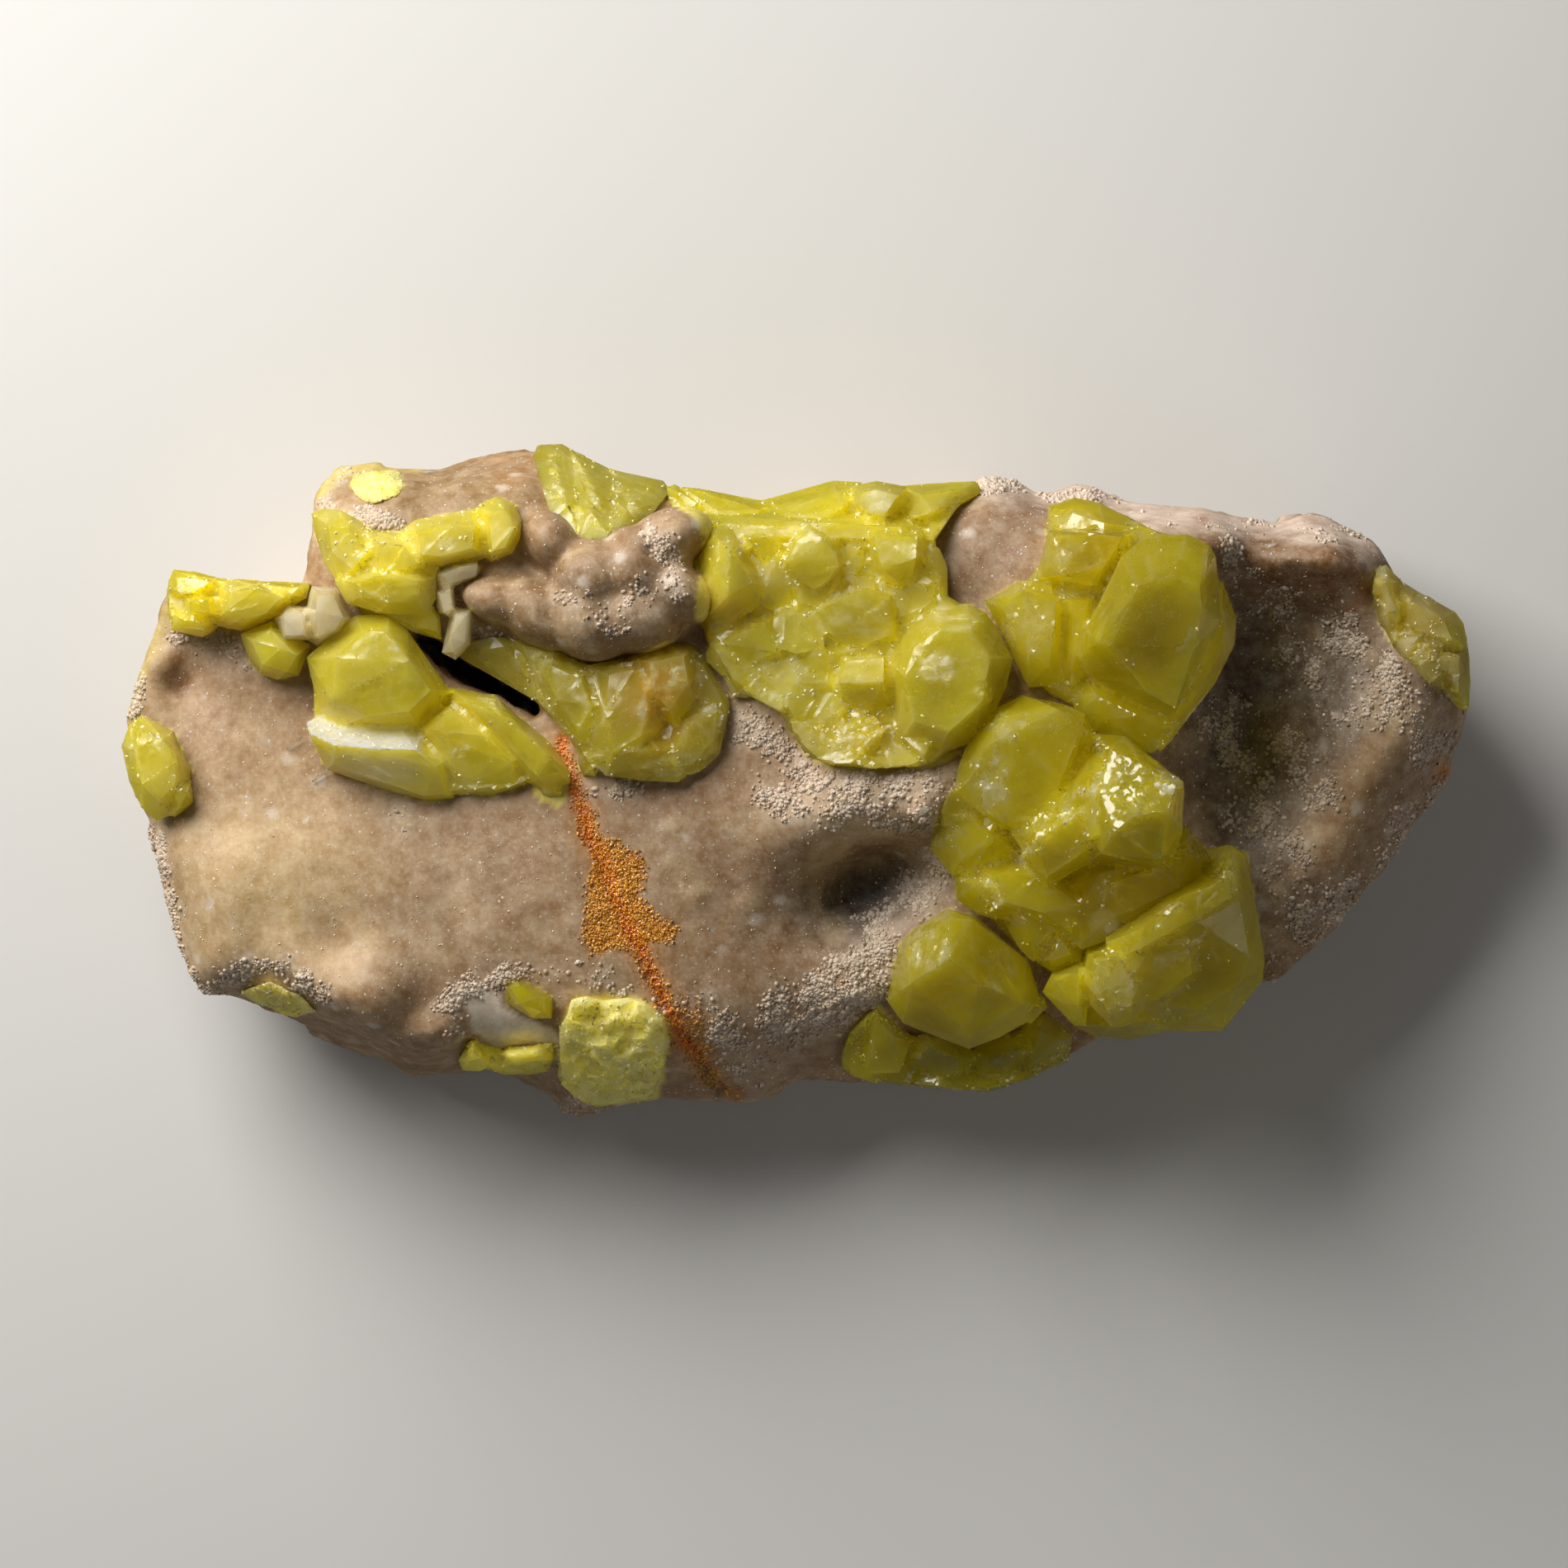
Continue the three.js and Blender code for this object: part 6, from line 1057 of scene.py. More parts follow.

# Frost and fracture on the crystals, some marks whitened as painted highlights, glints and a bright line, in layout
# units: middle, half widths, turn, frost, relief
CRYSTAL_MARKS = [
    # glittering stack
    (1200, 945, 26, 44, 10, 0.85, 0.5),
    (1222, 880, 30, 16, 0, 0.55, 0.3),
    (1245, 1030, 22, 9, -38, 0.9, 1.0),
    (1280, 990, 34, 8, -40, 0.95, 1.1),
    (1318, 952, 26, 8, -42, 0.9, 1.0),
    # frost and fracture at the stack's corner, whitened partly as a painted glint
    (1412, 944, 20, 14, 24, 1.0, 0.8),
    (1352, 950, 14, 30, 20, 0.35, 0.3),
    (1374, 955, 38, 36, 0, 0.15, 1.1),
    (1362, 1008, 24, 8, 8, 0.5, 0.3),
    (1408, 1046, 14, 8, 0, 0.5, 0.3),
    (1284, 1033, 7, 5, 0, 0.8, 0.4),
    (1342, 1075, 24, 7, 18, 0.4, 0.3),
    (1205, 1085, 18, 22, 0, 0.45, 0.6),
    (1232, 1115, 12, 12, 0, 0.5, 0.6),
    (1275, 1142, 24, 18, 0, 0.45, 0.6),
    (1150, 1015, 22, 22, 0, 0.3, 0.4),
    # lower right
    (1417, 1110, 26, 8, -35, 0.85, 0.6),
    (1432, 1152, 48, 9, -32, 0.6, 0.6),
    (1352, 1195, 30, 40, 10, 0.5, 0.4),
    (1488, 1058, 22, 30, 0, 0.3, 0.5),
    # lower crystal
    (1120, 1150, 30, 34, 0, 0.5, 0.3),
    (1200, 1155, 36, 16, 30, 0.25, 0.2),
    (1185, 1200, 40, 30, 0, 0.18, 0.2),
    # tall right
    # painted light: a bright line along the tall crystal's right edge
    (1441, 783, 6, 22, 28, 0.7, 0.3),
    (1300, 680, 40, 26, 0, 0.3, 0.2),
    (1245, 760, 40, 44, 0, 0.35, 0.3),
    (1300, 630, 36, 14, 12, 0.5, 0.4),
    # main band
    (1130, 800, 24, 22, 0, 0.9, 0.9),
    (1187, 834, 12, 13, 0, 0.2, 1.2),
    (1160, 752, 40, 12, 10, 0.4, 0.3),
    (1062, 606, 18, 14, 0, 0.8, 0.2),
    (1040, 750, 40, 26, 0, 0.45, 0.3),
    (985, 640, 22, 10, 0, 0.4, 0.3),
    (880, 672, 14, 24, 0, 0.35, 0.3),
    (1000, 900, 60, 26, 0, 0.2, 0.3),
    (1046, 888, 36, 36, 0, 0.05, 1.2),
    (900, 800, 34, 24, 0, 0.25, 0.3),
    # below the ridge
    (740, 850, 6, 36, 18, 0.7, 0.3),
    (778, 835, 6, 40, 20, 0.6, 0.3),
    (812, 830, 5, 34, 20, 0.5, 0.3),
    (820, 925, 40, 12, -10, 0.5, 0.5),
    (700, 830, 12, 34, -20, 0.4, 0.3),
    # centre left
    # painted highlights: two small white spots on the big crystal
    (451, 769, 7, 5, 0, 0.95, 0.2),
    (477, 785, 7, 5, 0, 0.9, 0.2),
    # painted sheen on the tab's upper face, whitened as frost
    (440, 891, 70, 9, 5, 1.0, 0.2),
    (460, 928, 64, 20, 14, 0.65, 0.2),
    (558, 905, 16, 6, -20, 0.9, 0.9),
    (600, 850, 40, 10, 24, 0.4, 0.4),
    (470, 830, 60, 30, 10, 0.15, 0.2),
    # upper left
    # painted highlight on the bright crystal, with fracture relief
    (538, 656, 14, 9, 0, 0.95, 0.7),
    (450, 670, 40, 24, 0, 0.35, 0.5),
    (470, 715, 60, 14, 0, 0.35, 0.5),
    # ledge and left edge
    (236, 712, 26, 7, 0, 0.6, 0.4),
    (300, 712, 34, 7, 0, 0.5, 0.4),
    (160, 910, 8, 6, 0, 0.95, 0.4),
    (205, 988, 14, 10, 0, 0.8, 0.4),
    (196, 900, 26, 18, 0, 0.25, 0.5),
    # plate
    (673, 580, 5, 30, 0, 0.9, 0.9),
    (700, 622, 26, 6, 40, 0.85, 0.9),
    (728, 638, 16, 5, 28, 0.85, 0.8),
    (760, 608, 5, 24, -28, 0.8, 0.8),
    (721, 604, 5, 24, -20, 0.7, 0.8),
    (690, 556, 34, 9, 14, 0.35, 0.4),
    # bottom
    (760, 1250, 44, 34, 0, 0.5, 0.8),
    (702, 1344, 22, 6, 0, 0.9, 0.6),
    (740, 1310, 30, 14, 0, 0.4, 0.8),
    (1110, 1278, 9, 7, 0, 0.7, 0.5),
    (1157, 1318, 8, 5, 0, 0.7, 0.5),
    (735, 1232, 30, 14, 8, 0.8, 0.8),
    (715, 1290, 16, 30, 0, 0.6, 0.9),
    (785, 1290, 16, 26, 0, 0.5, 0.9),
    (450, 590, 26, 14, 0, 0.6, 0.8),
    # right edge
    (1735, 785, 36, 6, 8, 0.7, 0.8),
    (1706, 740, 12, 22, -30, 0.5, 0.6),
    (1755, 826, 14, 26, 0, 0.4, 0.6),
]

# Colour changes, some of them painted light or shade: middle, half widths, turn, colour, strength
CRYSTAL_TINTS = [
    # painted sheen: the tab's upper face near white
    (460, 932, 70, 26, 10, (1.0, 0.98, 0.76), 1.0),
    (1040, 900, 70, 34, 0, (0.74, 0.66, 0.03), 0.8),
    (1372, 950, 36, 44, 0, (0.78, 0.72, 0.03), 0.9),
    (1308, 672, 54, 34, 0, (0.74, 0.66, 0.08), 0.85),
    (886, 715, 28, 34, 0, (0.98, 0.92, 0.22), 0.8),
    (1040, 905, 90, 34, 0, (0.74, 0.66, 0.03), 0.75),
    (1370, 1092, 80, 30, 0, (0.86, 0.74, 0.03), 0.6),
    (1475, 1160, 46, 60, 0, (0.90, 0.80, 0.03), 0.6),
    # painted shade: deeper olive over the tall crystal's front face
    (1384, 762, 46, 66, 18, (0.70, 0.64, 0.04), 0.6),
    # painted light: a bright streak along the tall crystal's right edge
    (1460, 778, 12, 56, 14, (1.0, 0.97, 0.36), 0.85),
    # painted light: the tall crystal's lower end brighter
    (1418, 862, 34, 12, -24, (0.95, 0.92, 0.30), 0.4),
    (1340, 1040, 60, 22, -30, (0.74, 0.66, 0.05), 0.4),
    (1150, 850, 60, 50, 0, (0.86, 0.78, 0.05), 0.35),
    (1015, 890, 50, 26, 0, (0.84, 0.76, 0.04), 0.4),
    (795, 840, 50, 56, 0, (0.86, 0.62, 0.12), 0.75),
    (886, 742, 34, 20, 0, (0.84, 0.62, 0.10), 0.6),
    (1275, 1046, 38, 26, 0, (0.66, 0.55, 0.05), 0.6),
    (845, 770, 14, 14, 0, (0.88, 0.60, 0.15), 0.5),
    (1180, 1285, 110, 30, 0, (0.40, 0.38, 0.06), 0.6),
    (1062, 606, 18, 14, 0, (0.93, 0.93, 0.72), 0.6),
    # painted light: a glow at the lower right edge of the lower crystal
    (1214, 1232, 46, 16, 0, (1.0, 0.96, 0.12), 0.8),
    (1015, 690, 12, 12, 0, (0.95, 0.85, 0.2), 0.5),
    (430, 585, 40, 20, 0, (0.90, 0.88, 0.55), 0.4),
]


# outline of the tab's upper face, where a painted sheen goes
TAB_FACE_PAINTED_SHEEN = [(366, 870), (384, 862), (410, 877), (486, 873), (514, 890), (510, 914), (440, 914), (404, 910), (370, 894)]
TONE = {
    "sulfur_main_band": np.array([0.80, 0.80, 0.5]),
    "sulfur_cluster_below_ridge": np.array([0.50, 0.47, 0.2]),
    "sulfur_top_edge_plate": np.array([0.70, 0.69, 0.7]),
    "sulfur_centre_left_cluster": 0.94,
    "sulfur_left_edge_crystal": 0.92,
    "sulfur_right_edge_patch": np.array([0.46, 0.37, 0.35]),
    "sulfur_bottom_patch": np.array([0.84, 0.83, 0.6]),
    "sulfur_top_left_patch": np.array([0.72, 0.70, 1.2]),
    "sulfur_lower_left_patch": np.array([1.05, 1.0, 2.0]),
}
PALE = ("sulfur_bottom_patch", "sulfur_top_left_patch", "sulfur_lower_left_patch", "sulfur_bottom_edge_strip")
CLEAR = (
    "sulfur_tall_right_crystals",
    "sulfur_glittery_stack",
    "sulfur_lower_right_cluster",
    "sulfur_lower_crystal",
    "sulfur_bottom_small_crystal",
    "sulfur_lower_edge_crust",
)


# Drawn crystals that are broken down to the crust
LOW = ("bp1", "bp2")


def group_hulls(name):
    size, spacing, relief, dust = STYLE[name]
    hulls = []
    for c in CRYSTALS:
        if c[1] == name and c[0] not in LOW:
            v, t = hull_mesh([tuple(q) for q in corners(c)])
            n, d = planes_of(v, t)
            hulls.append((v, t, n, d, c[0]))
    for c in CRUSTS:
        if c[0] != name:
            continue
        _, thick, lowest, polygon = c
        polygon = ragged([tuple(k[:2]) for k in polygon])
        spots = polygon_spots(polygon, spacing)
        for spot in spots:
            within, rim = cell_corners(spot, spots, polygon, spacing * UNITS_PER_MM)
            if len(within) + len(rim) < 3:
                continue
            full = (0.9, 1.5) if thick < 1.5 else (0.8, 1.9) if name == "sulfur_bottom_patch" else (0.75, 1.3)
            pts = crust_crystal(within, rim, thick, thick * RNG.uniform(*full))
            vv, tt = hull_mesh([tuple(k) for k in pts])
            n, d = planes_of(vv, tt)
            hulls.append((vv, tt, n, d, "small"))
    return hulls


def nearest_faces(p, hulls):
    """For each point: its distance to the nearest crystal, that face's plane, the two planes whose edges with it are nearest and how far those edges are, and the face of the next crystal."""
    k = len(p)
    f1, f2 = np.full(k, 1e3), np.full(k, 1e3)
    owner = np.zeros(k, int)
    planes = np.zeros((4, k, 4))  # face, neighbour, second neighbour, face of the next crystal
    gaps = np.full((2, k), 1e3)
    for h, (v, t, n, d, label) in enumerate(hulls):
        near = np.nonzero(((p > v.min(0) - 1.0) & (p < v.max(0) + 1.0)).all(1))[0]
        if not len(near):
            continue
        s = p[near] @ n.T - d
        i = s.argmax(1)
        m = s.max(1)
        plane = np.concatenate([n, d[:, None]], 1)
        first = m < f1[near]
        a = near[first]
        f2[a], planes[3, a] = f1[a], planes[0, a]
        f1[a], planes[0, a], owner[a] = m[first], plane[i[first]], h
        cosine = n[i[first]] @ n.T
        sine = np.sqrt(np.maximum(1 - cosine**2, 0))
        gap = np.where(sine > 0.2, (m[first][:, None] * cosine - s[first]) / np.maximum(sine, 0.2), 1e3)
        order = np.argsort(gap, axis=1)[:, :2]
        for j in (0, 1):
            planes[1 + j, a] = plane[order[:, j]]
            gaps[j, a] = np.take_along_axis(gap, order[:, j : j + 1], 1)[:, 0]
        second = ~first & (m < f2[near])
        b = near[second]
        f2[b], planes[3, b] = m[second], plane[i[second]]
    return f1, f2, owner, planes, gaps


def on_planes(p, planes):
    """The points moved the shortest way onto all of their planes, and how well those planes cross."""
    n, d = np.stack([q[:, :3] for q in planes], 1), np.stack([q[:, 3] for q in planes], 1)
    g = n @ n.transpose(0, 2, 1)
    firm = np.linalg.det(g)
    g = g + 1e-9 * np.eye(len(planes))
    off = d - np.einsum("kij,kj->ki", n, p)
    return p + np.einsum("kij,ki->kj", n, np.linalg.solve(g, off[:, :, None])[:, :, 0]), firm


def fitted(p, hulls, size):
    """Moves points of a coarse union onto the exact crystal faces, and those beside an edge onto it. Also gives each point's crystal, its face and whether it is on an edge, and how near it is to the crease with the next crystal."""
    for _ in range(2):
        f1, f2, owner, planes, gaps = nearest_faces(p, hulls)
        step = np.clip(f1, -0.6, 0.6)
        p = p - np.where(f1 < 5, step, 0)[:, None] * planes[0, :, :3]
    f1, f2, owner, planes, gaps = nearest_faces(p, hulls)
    reach = 0.58 * size
    out = p.copy()
    moved = np.zeros(len(p), bool)
    cosine = (planes[0, :, :3] * planes[3, :, :3]).sum(1)
    beside = np.where(f2 < 900, f2 / np.maximum(np.sqrt(np.maximum(1 - cosine**2, 0)), 0.2), 1e3)
    by_edge, by_other, by_corner = gaps[0] < reach, (beside < reach) & (np.abs(cosine) < 0.98), gaps[1] < reach
    for mask, chosen, least in (
        (by_edge, (0, 1), 0.04),
        (by_other, (0, 3), 0.04),
        (by_edge & by_corner, (0, 1, 2), 0.02),
        (by_edge & by_other, (0, 1, 3), 0.02),
    ):
        k = np.nonzero(mask)[0]
        if not len(k):
            continue
        q, firm = on_planes(p[k], [planes[c, k] for c in chosen])
        good = (firm > least) & (np.linalg.norm(q - p[k], axis=1) < 1.15 * size)
        out[k[good]] = q[good]
        moved[k[good]] = True
    crease = np.where(f2 < 900, smooth_step(1.1, 0.1, beside), 0)
    return out, owner, planes[0, :, :3], moved, crease, np.clip(gaps[0], 0, 50)


def surface_distance(p, hulls):
    out = np.full(len(p), 1e3)
    for v, t, n, d, label in hulls:
        near = np.nonzero(((p > v.min(0) - 1.0) & (p < v.max(0) + 1.0)).all(1))[0]
        if len(near):
            out[near] = np.minimum(out[near], (p[near] @ n.T - d).max(1))
    return out


def split_quads(ob, p, hulls):
    """The mesh as triangles, each four-sided face split along the diagonal that lies on the crystals."""
    me = ob.data
    count = np.empty(len(me.polygons), np.int32)
    me.polygons.foreach_get("loop_total", count)
    loops = np.empty(len(me.loops), np.int32)
    me.loops.foreach_get("vertex_index", loops)
    start = np.concatenate([[0], np.cumsum(count)[:-1]])
    q = loops[start[count == 4][:, None] + np.arange(4)]
    t = loops[start[count == 3][:, None] + np.arange(3)]
    e = np.abs(surface_distance((p[q[:, 0]] + p[q[:, 2]]) / 2, hulls))
    g = np.abs(surface_distance((p[q[:, 1]] + p[q[:, 3]]) / 2, hulls))
    first = e <= g
    tris = [t, q[first][:, [0, 1, 2]], q[first][:, [0, 2, 3]], q[~first][:, [0, 1, 3]], q[~first][:, [1, 2, 3]]]
    return np.concatenate([x.reshape(-1, 3) for x in tris])


def crystal_object(name):
    size, spacing, relief, dust = STYLE[name]
    hulls = group_hulls(name)
    verts, faces, base = [], [], 0
    for v, t, *_ in hulls:
        verts.append(v)
        faces += [tuple(base + i for i in f) for f in t]
        base += len(v)
    rough_ob = mesh_object(name + "_rough", np.concatenate(verts), faces)
    remeshed(rough_ob, size)
    p, owner, face, on_edge, crease, from_edge = fitted(coordinates(rough_ob), hulls, size)
    ob = array_mesh(name + "_look", p, split_quads(rough_ob, p, hulls))
    bpy.data.objects.remove(rough_ob)
    n = face
    u, v = layout_of(p)
    frost = np.zeros(len(p))
    rough = np.zeros(len(p))
    wob = 5 * fbm(p, 2.5, 15, 3)
    for cu, cv, ru, rv, turn, f, r in CRYSTAL_MARKS:
        m = blob(u + 2 * wob, v + 2 * wob, cu, cv, ru, rv, turn)
        m = smooth_step(0.2, 0.7, m)
        k = np.nonzero(m > 0)[0]
        if not len(k):
            continue
        a = math.radians(turn + (0 if ru >= rv else 90))
        along = ((u[k] - cu) * math.cos(a) + (v[k] - cv) * math.sin(a)) / UNITS_PER_MM
        across = (-(u[k] - cu) * math.sin(a) + (v[k] - cv) * math.cos(a)) / UNITS_PER_MM
        streak = fbm(np.stack([0.35 * along, across, 0.5 * p[k, 2]], 1), 0.9, 71, 3)
        frost[k] = np.maximum(frost[k], f * m[k] * (0.25 + 0.75 * smooth_step(-0.35, 0.3, streak)))
        rough = np.maximum(rough, r * m)
    # growth steps: terraces along each face, waves, and pits where it is broken
    key = np.round(face * 37).astype(np.int64)
    face_id = hashed(key[:, 0], key[:, 1], key[:, 2], 5)
    q = p + 40 * face_id[:, None] + 0.6 * np.stack([noise(p, 2.4, 81), noise(p, 2.4, 82), noise(p, 2.4, 83)], 1)
    level = 2.2 * fbm(q, 6.0, 7, 2)
    terrace = level - np.floor(level)
    steps = np.floor(level) + smooth_step(0.0, 0.25, terrace)
    broken, gap, bid = cells(q * [1, 1, 1.3], 1.1, 18)
    d = relief * (0.09 * steps + 0.035 * fbm(q, 1.8, 27, 2) + 0.12 * noise(q, 7.0, 28)) - 0.09 * relief
    d += rough * (0.55 * (bid[:, 0] - 0.65) + 0.18 * fbm(p, 0.9, 29, 2))
    d = np.where(on_edge & (rough < 0.15), 0.25 * d, d)
    set_coordinates(ob, p + n * d[:, None])
    smooth_shade(ob)
    ob.data.set_sharp_from_angle(angle=math.radians(24))
    p2, n2 = coordinates(ob), normals(ob)
    frost = np.maximum(frost, dust * (0.55 + 0.6 * smooth_step(-0.6, 0.7, fbm(p, 3.4, 66, 3))))
    is_small = np.array([h[4] == "small" for h in hulls])[owner]
    frost = np.maximum(frost, 0.1 * is_small * smooth_step(0.0, 0.6, n2[:, 2]))
    frost = np.maximum(frost, 0.45 * crease * smooth_step(-0.4, 0.5, fbm(p, 2.0, 67, 2)))
    cal = name.startswith("calcite")
    if cal:
        a, b = linear(0.98, 0.94, 0.82), linear(0.94, 0.87, 0.68)
        pale = linear(0.97, 0.94, 0.86)
    else:
        deep = name in CLEAR
        a, b = (linear(0.96, 0.90, 0.04), linear(0.88, 0.81, 0.02)) if deep else (linear(0.98, 0.92, 0.10), linear(0.93, 0.86, 0.05))
        pale = linear(0.97, 0.93, 0.50) if name in PALE else linear(0.95, 0.91, 0.62)
    t = smooth_step(-0.7, 0.7, fbm(p, 8, 44, 2) + 0.5 * (face_id - 0.5))[:, None]
    rgb = (a * (1 - t) + b * t) * TONE.get(name, 1.0)
    for cu, cv, ru, rv, turn, colour, strength in CRYSTAL_TINTS:
        if cal:
            break
        w = strength * blob(u + wob, v + wob, cu, cv, ru, rv, turn)[:, None]
        rgb = rgb * (1 - w) + linear(*colour) * w
    # painted light along the edges, painted shade in the middle of wide faces
    wide = (smooth_step(0.8, 4.0, from_edge) * (1 - crease))[:, None]
    rgb = rgb * (1 - 0.16 * wide * np.array([1.0, 1.05, 1.6]))
    painted_edge_light = (smooth_step(0.75, 0.0, from_edge) * (1 - crease) * smooth_step(-0.5, 0.4, fbm(p, 3.0, 69, 2)))[:, None]
    rgb = rgb * (1 - 0.22 * painted_edge_light) + pale * 0.22 * painted_edge_light
    # painted light: a glow painted at the lower right end of each crystal, away from the lamp, and painted shade at the
    # other end
    mids = np.array([(h[0].min(0) + h[0].max(0)) / 2 for h in hulls])[owner]
    reach = np.array([np.linalg.norm(h[0].max(0)[:2] - h[0].min(0)[:2]) / 2 for h in hulls])[owner]
    ahead = ((p - mids)[:, :2] @ np.array([0.6, -0.8])) / np.maximum(reach, 0.5) + 0.12 * fbm(p, 4.0, 70, 2)
    glow = np.where(is_small, 0.45, 1.0) * smooth_step(0.1, 0.75, ahead)
    painted_shade_end = smooth_step(0.3, -0.5, ahead)
    rgb = rgb * (1 - (0.10 * painted_shade_end)[:, None])
    if not cal:
        rgb = rgb * (1 - 0.5 * glow[:, None]) + linear(1.0, 0.97, 0.16) * 0.5 * glow[:, None]
    # frost whitens the paint; at the marks that stand for highlights, glints and a bright line this is painted light
    f = np.clip(frost, 0, 1)[:, None] * 0.8
    rgb = rgb * (1 - f) + pale * f
    # painted sheen: the tab's faces turned towards the lamp are painted near white and frosted
    if name == "sulfur_centre_left_cluster":
        w = 0.95 * in_area(u + 0.3 * wob, v + 0.3 * wob, TAB_FACE_PAINTED_SHEEN, 2) * (face[:, 1] > 0.12)
        rgb = rgb * (1 - w[:, None]) + linear(0.97, 0.96, 0.92) * w[:, None]
        frost = np.maximum(frost, 0.8 * w)
    point_colours(ob, "paint", np.clip(rgb, 0, 1))
    point_values(ob, "frost", np.clip(frost, 0, 1))
    top = smooth_step(0.0, 0.4, n2[:, 2])
    patchy = smooth_step(-0.3, 0.7, fbm(p, 5.0, 68, 2))
    return ob, top * (crease * (0.35 + 0.65 * patchy) + dust * (0.1 + 0.5 * patchy) + 0.35 * smooth_step(0.35, 0.9, frost)), rgb

# ---------------------------------------------------------------- materials


def material(name):
    m = bpy.data.materials.new(name)
    m.use_nodes = True
    t = m.node_tree
    t.nodes.clear()
    return m, t


def node(tree, kind, **values):
    n = tree.nodes.new(kind)
    for k, v in values.items():
        if k.startswith("in_"):
            n.inputs[k[3:].replace("_", " ")].default_value = v
        else:
            setattr(n, k, v)
    return n


def link(tree, a, b):
    tree.links.new(a, b)


def math_node(tree, operation, a, b=None, c=None, clamp=False):
    n = node(tree, "ShaderNodeMath", operation=operation, use_clamp=clamp)
    for i, x in enumerate((a, b, c)):
        if x is None:
            continue
        if isinstance(x, (int, float)):
            n.inputs[i].default_value = x
        else:
            link(tree, x, n.inputs[i])
    return n.outputs[0]


def scaled_position(tree):
    """Object position in millimetres."""
    tc = node(tree, "ShaderNodeTexCoord")
    s = node(tree, "ShaderNodeVectorMath", operation="SCALE")
    s.inputs["Scale"].default_value = 1000.0
    link(tree, tc.outputs["Object"], s.inputs[0])
    return s.outputs[0]


def noise_at(tree, where, scale, detail=3.0, rough=0.5, distortion=0.0):
    n = node(tree, "ShaderNodeTexNoise")
    n.inputs["Scale"].default_value = scale
    n.inputs["Detail"].default_value = detail
    n.inputs["Roughness"].default_value = rough
    n.inputs["Distortion"].default_value = distortion
    link(tree, where, n.inputs["Vector"])
    return n.outputs


def cells_at(tree, where, scale, feature="F1"):
    n = node(tree, "ShaderNodeTexVoronoi", feature=feature)
    n.inputs["Scale"].default_value = scale
    link(tree, where, n.inputs["Vector"])
    return n.outputs


def attribute(tree, name):
    n = node(tree, "ShaderNodeAttribute", attribute_name=name)
    return n.outputs


def faceted_normal(tree, layers, bump=None):
    """The surface's normal, turned a random way in each small cell: (colour output, strength) for each layer."""
    geo = node(tree, "ShaderNodeNewGeometry")
    total = geo.outputs["Normal"] if bump is None else bump
    for colour, strength in layers:
        sub = node(tree, "ShaderNodeVectorMath", operation="SUBTRACT")
        link(tree, colour, sub.inputs[0])
        sub.inputs[1].default_value = (0.5, 0.5, 0.5)
        s = node(tree, "ShaderNodeVectorMath", operation="SCALE")
        link(tree, sub.outputs[0], s.inputs[0])
        if isinstance(strength, (int, float)):
            s.inputs["Scale"].default_value = strength
        else:
            link(tree, strength, s.inputs["Scale"])
        add = node(tree, "ShaderNodeVectorMath", operation="ADD")
        link(tree, total, add.inputs[0])
        link(tree, s.outputs[0], add.inputs[1])
        total = add.outputs[0]
    norm = node(tree, "ShaderNodeVectorMath", operation="NORMALIZE")
    link(tree, total, norm.inputs[0])
    return norm.outputs[0]


def ranged(tree, value, a, b, c, d):
    n = node(tree, "ShaderNodeMapRange", clamp=True)
    link(tree, value, n.inputs["Value"])
    for k, x in (("From Min", a), ("From Max", b), ("To Min", c), ("To Max", d)):
        n.inputs[k].default_value = x
    return n.outputs[0]


def mixed(tree, factor, a, b, blend="MIX"):
    n = node(tree, "ShaderNodeMix", data_type="RGBA", blend_type=blend)
    for key, x in (("Factor", factor), ("A", a), ("B", b)):
        socket = [s for s in n.inputs if s.name == key and s.type == ("VALUE" if key == "Factor" else "RGBA")][0]
        if isinstance(x, (int, float)):
            socket.default_value = x
        elif isinstance(x, tuple):
            socket.default_value = (*x, 1.0)
        else:
            link(tree, x, socket)
    return [s for s in n.outputs if s.type == "RGBA"][0]


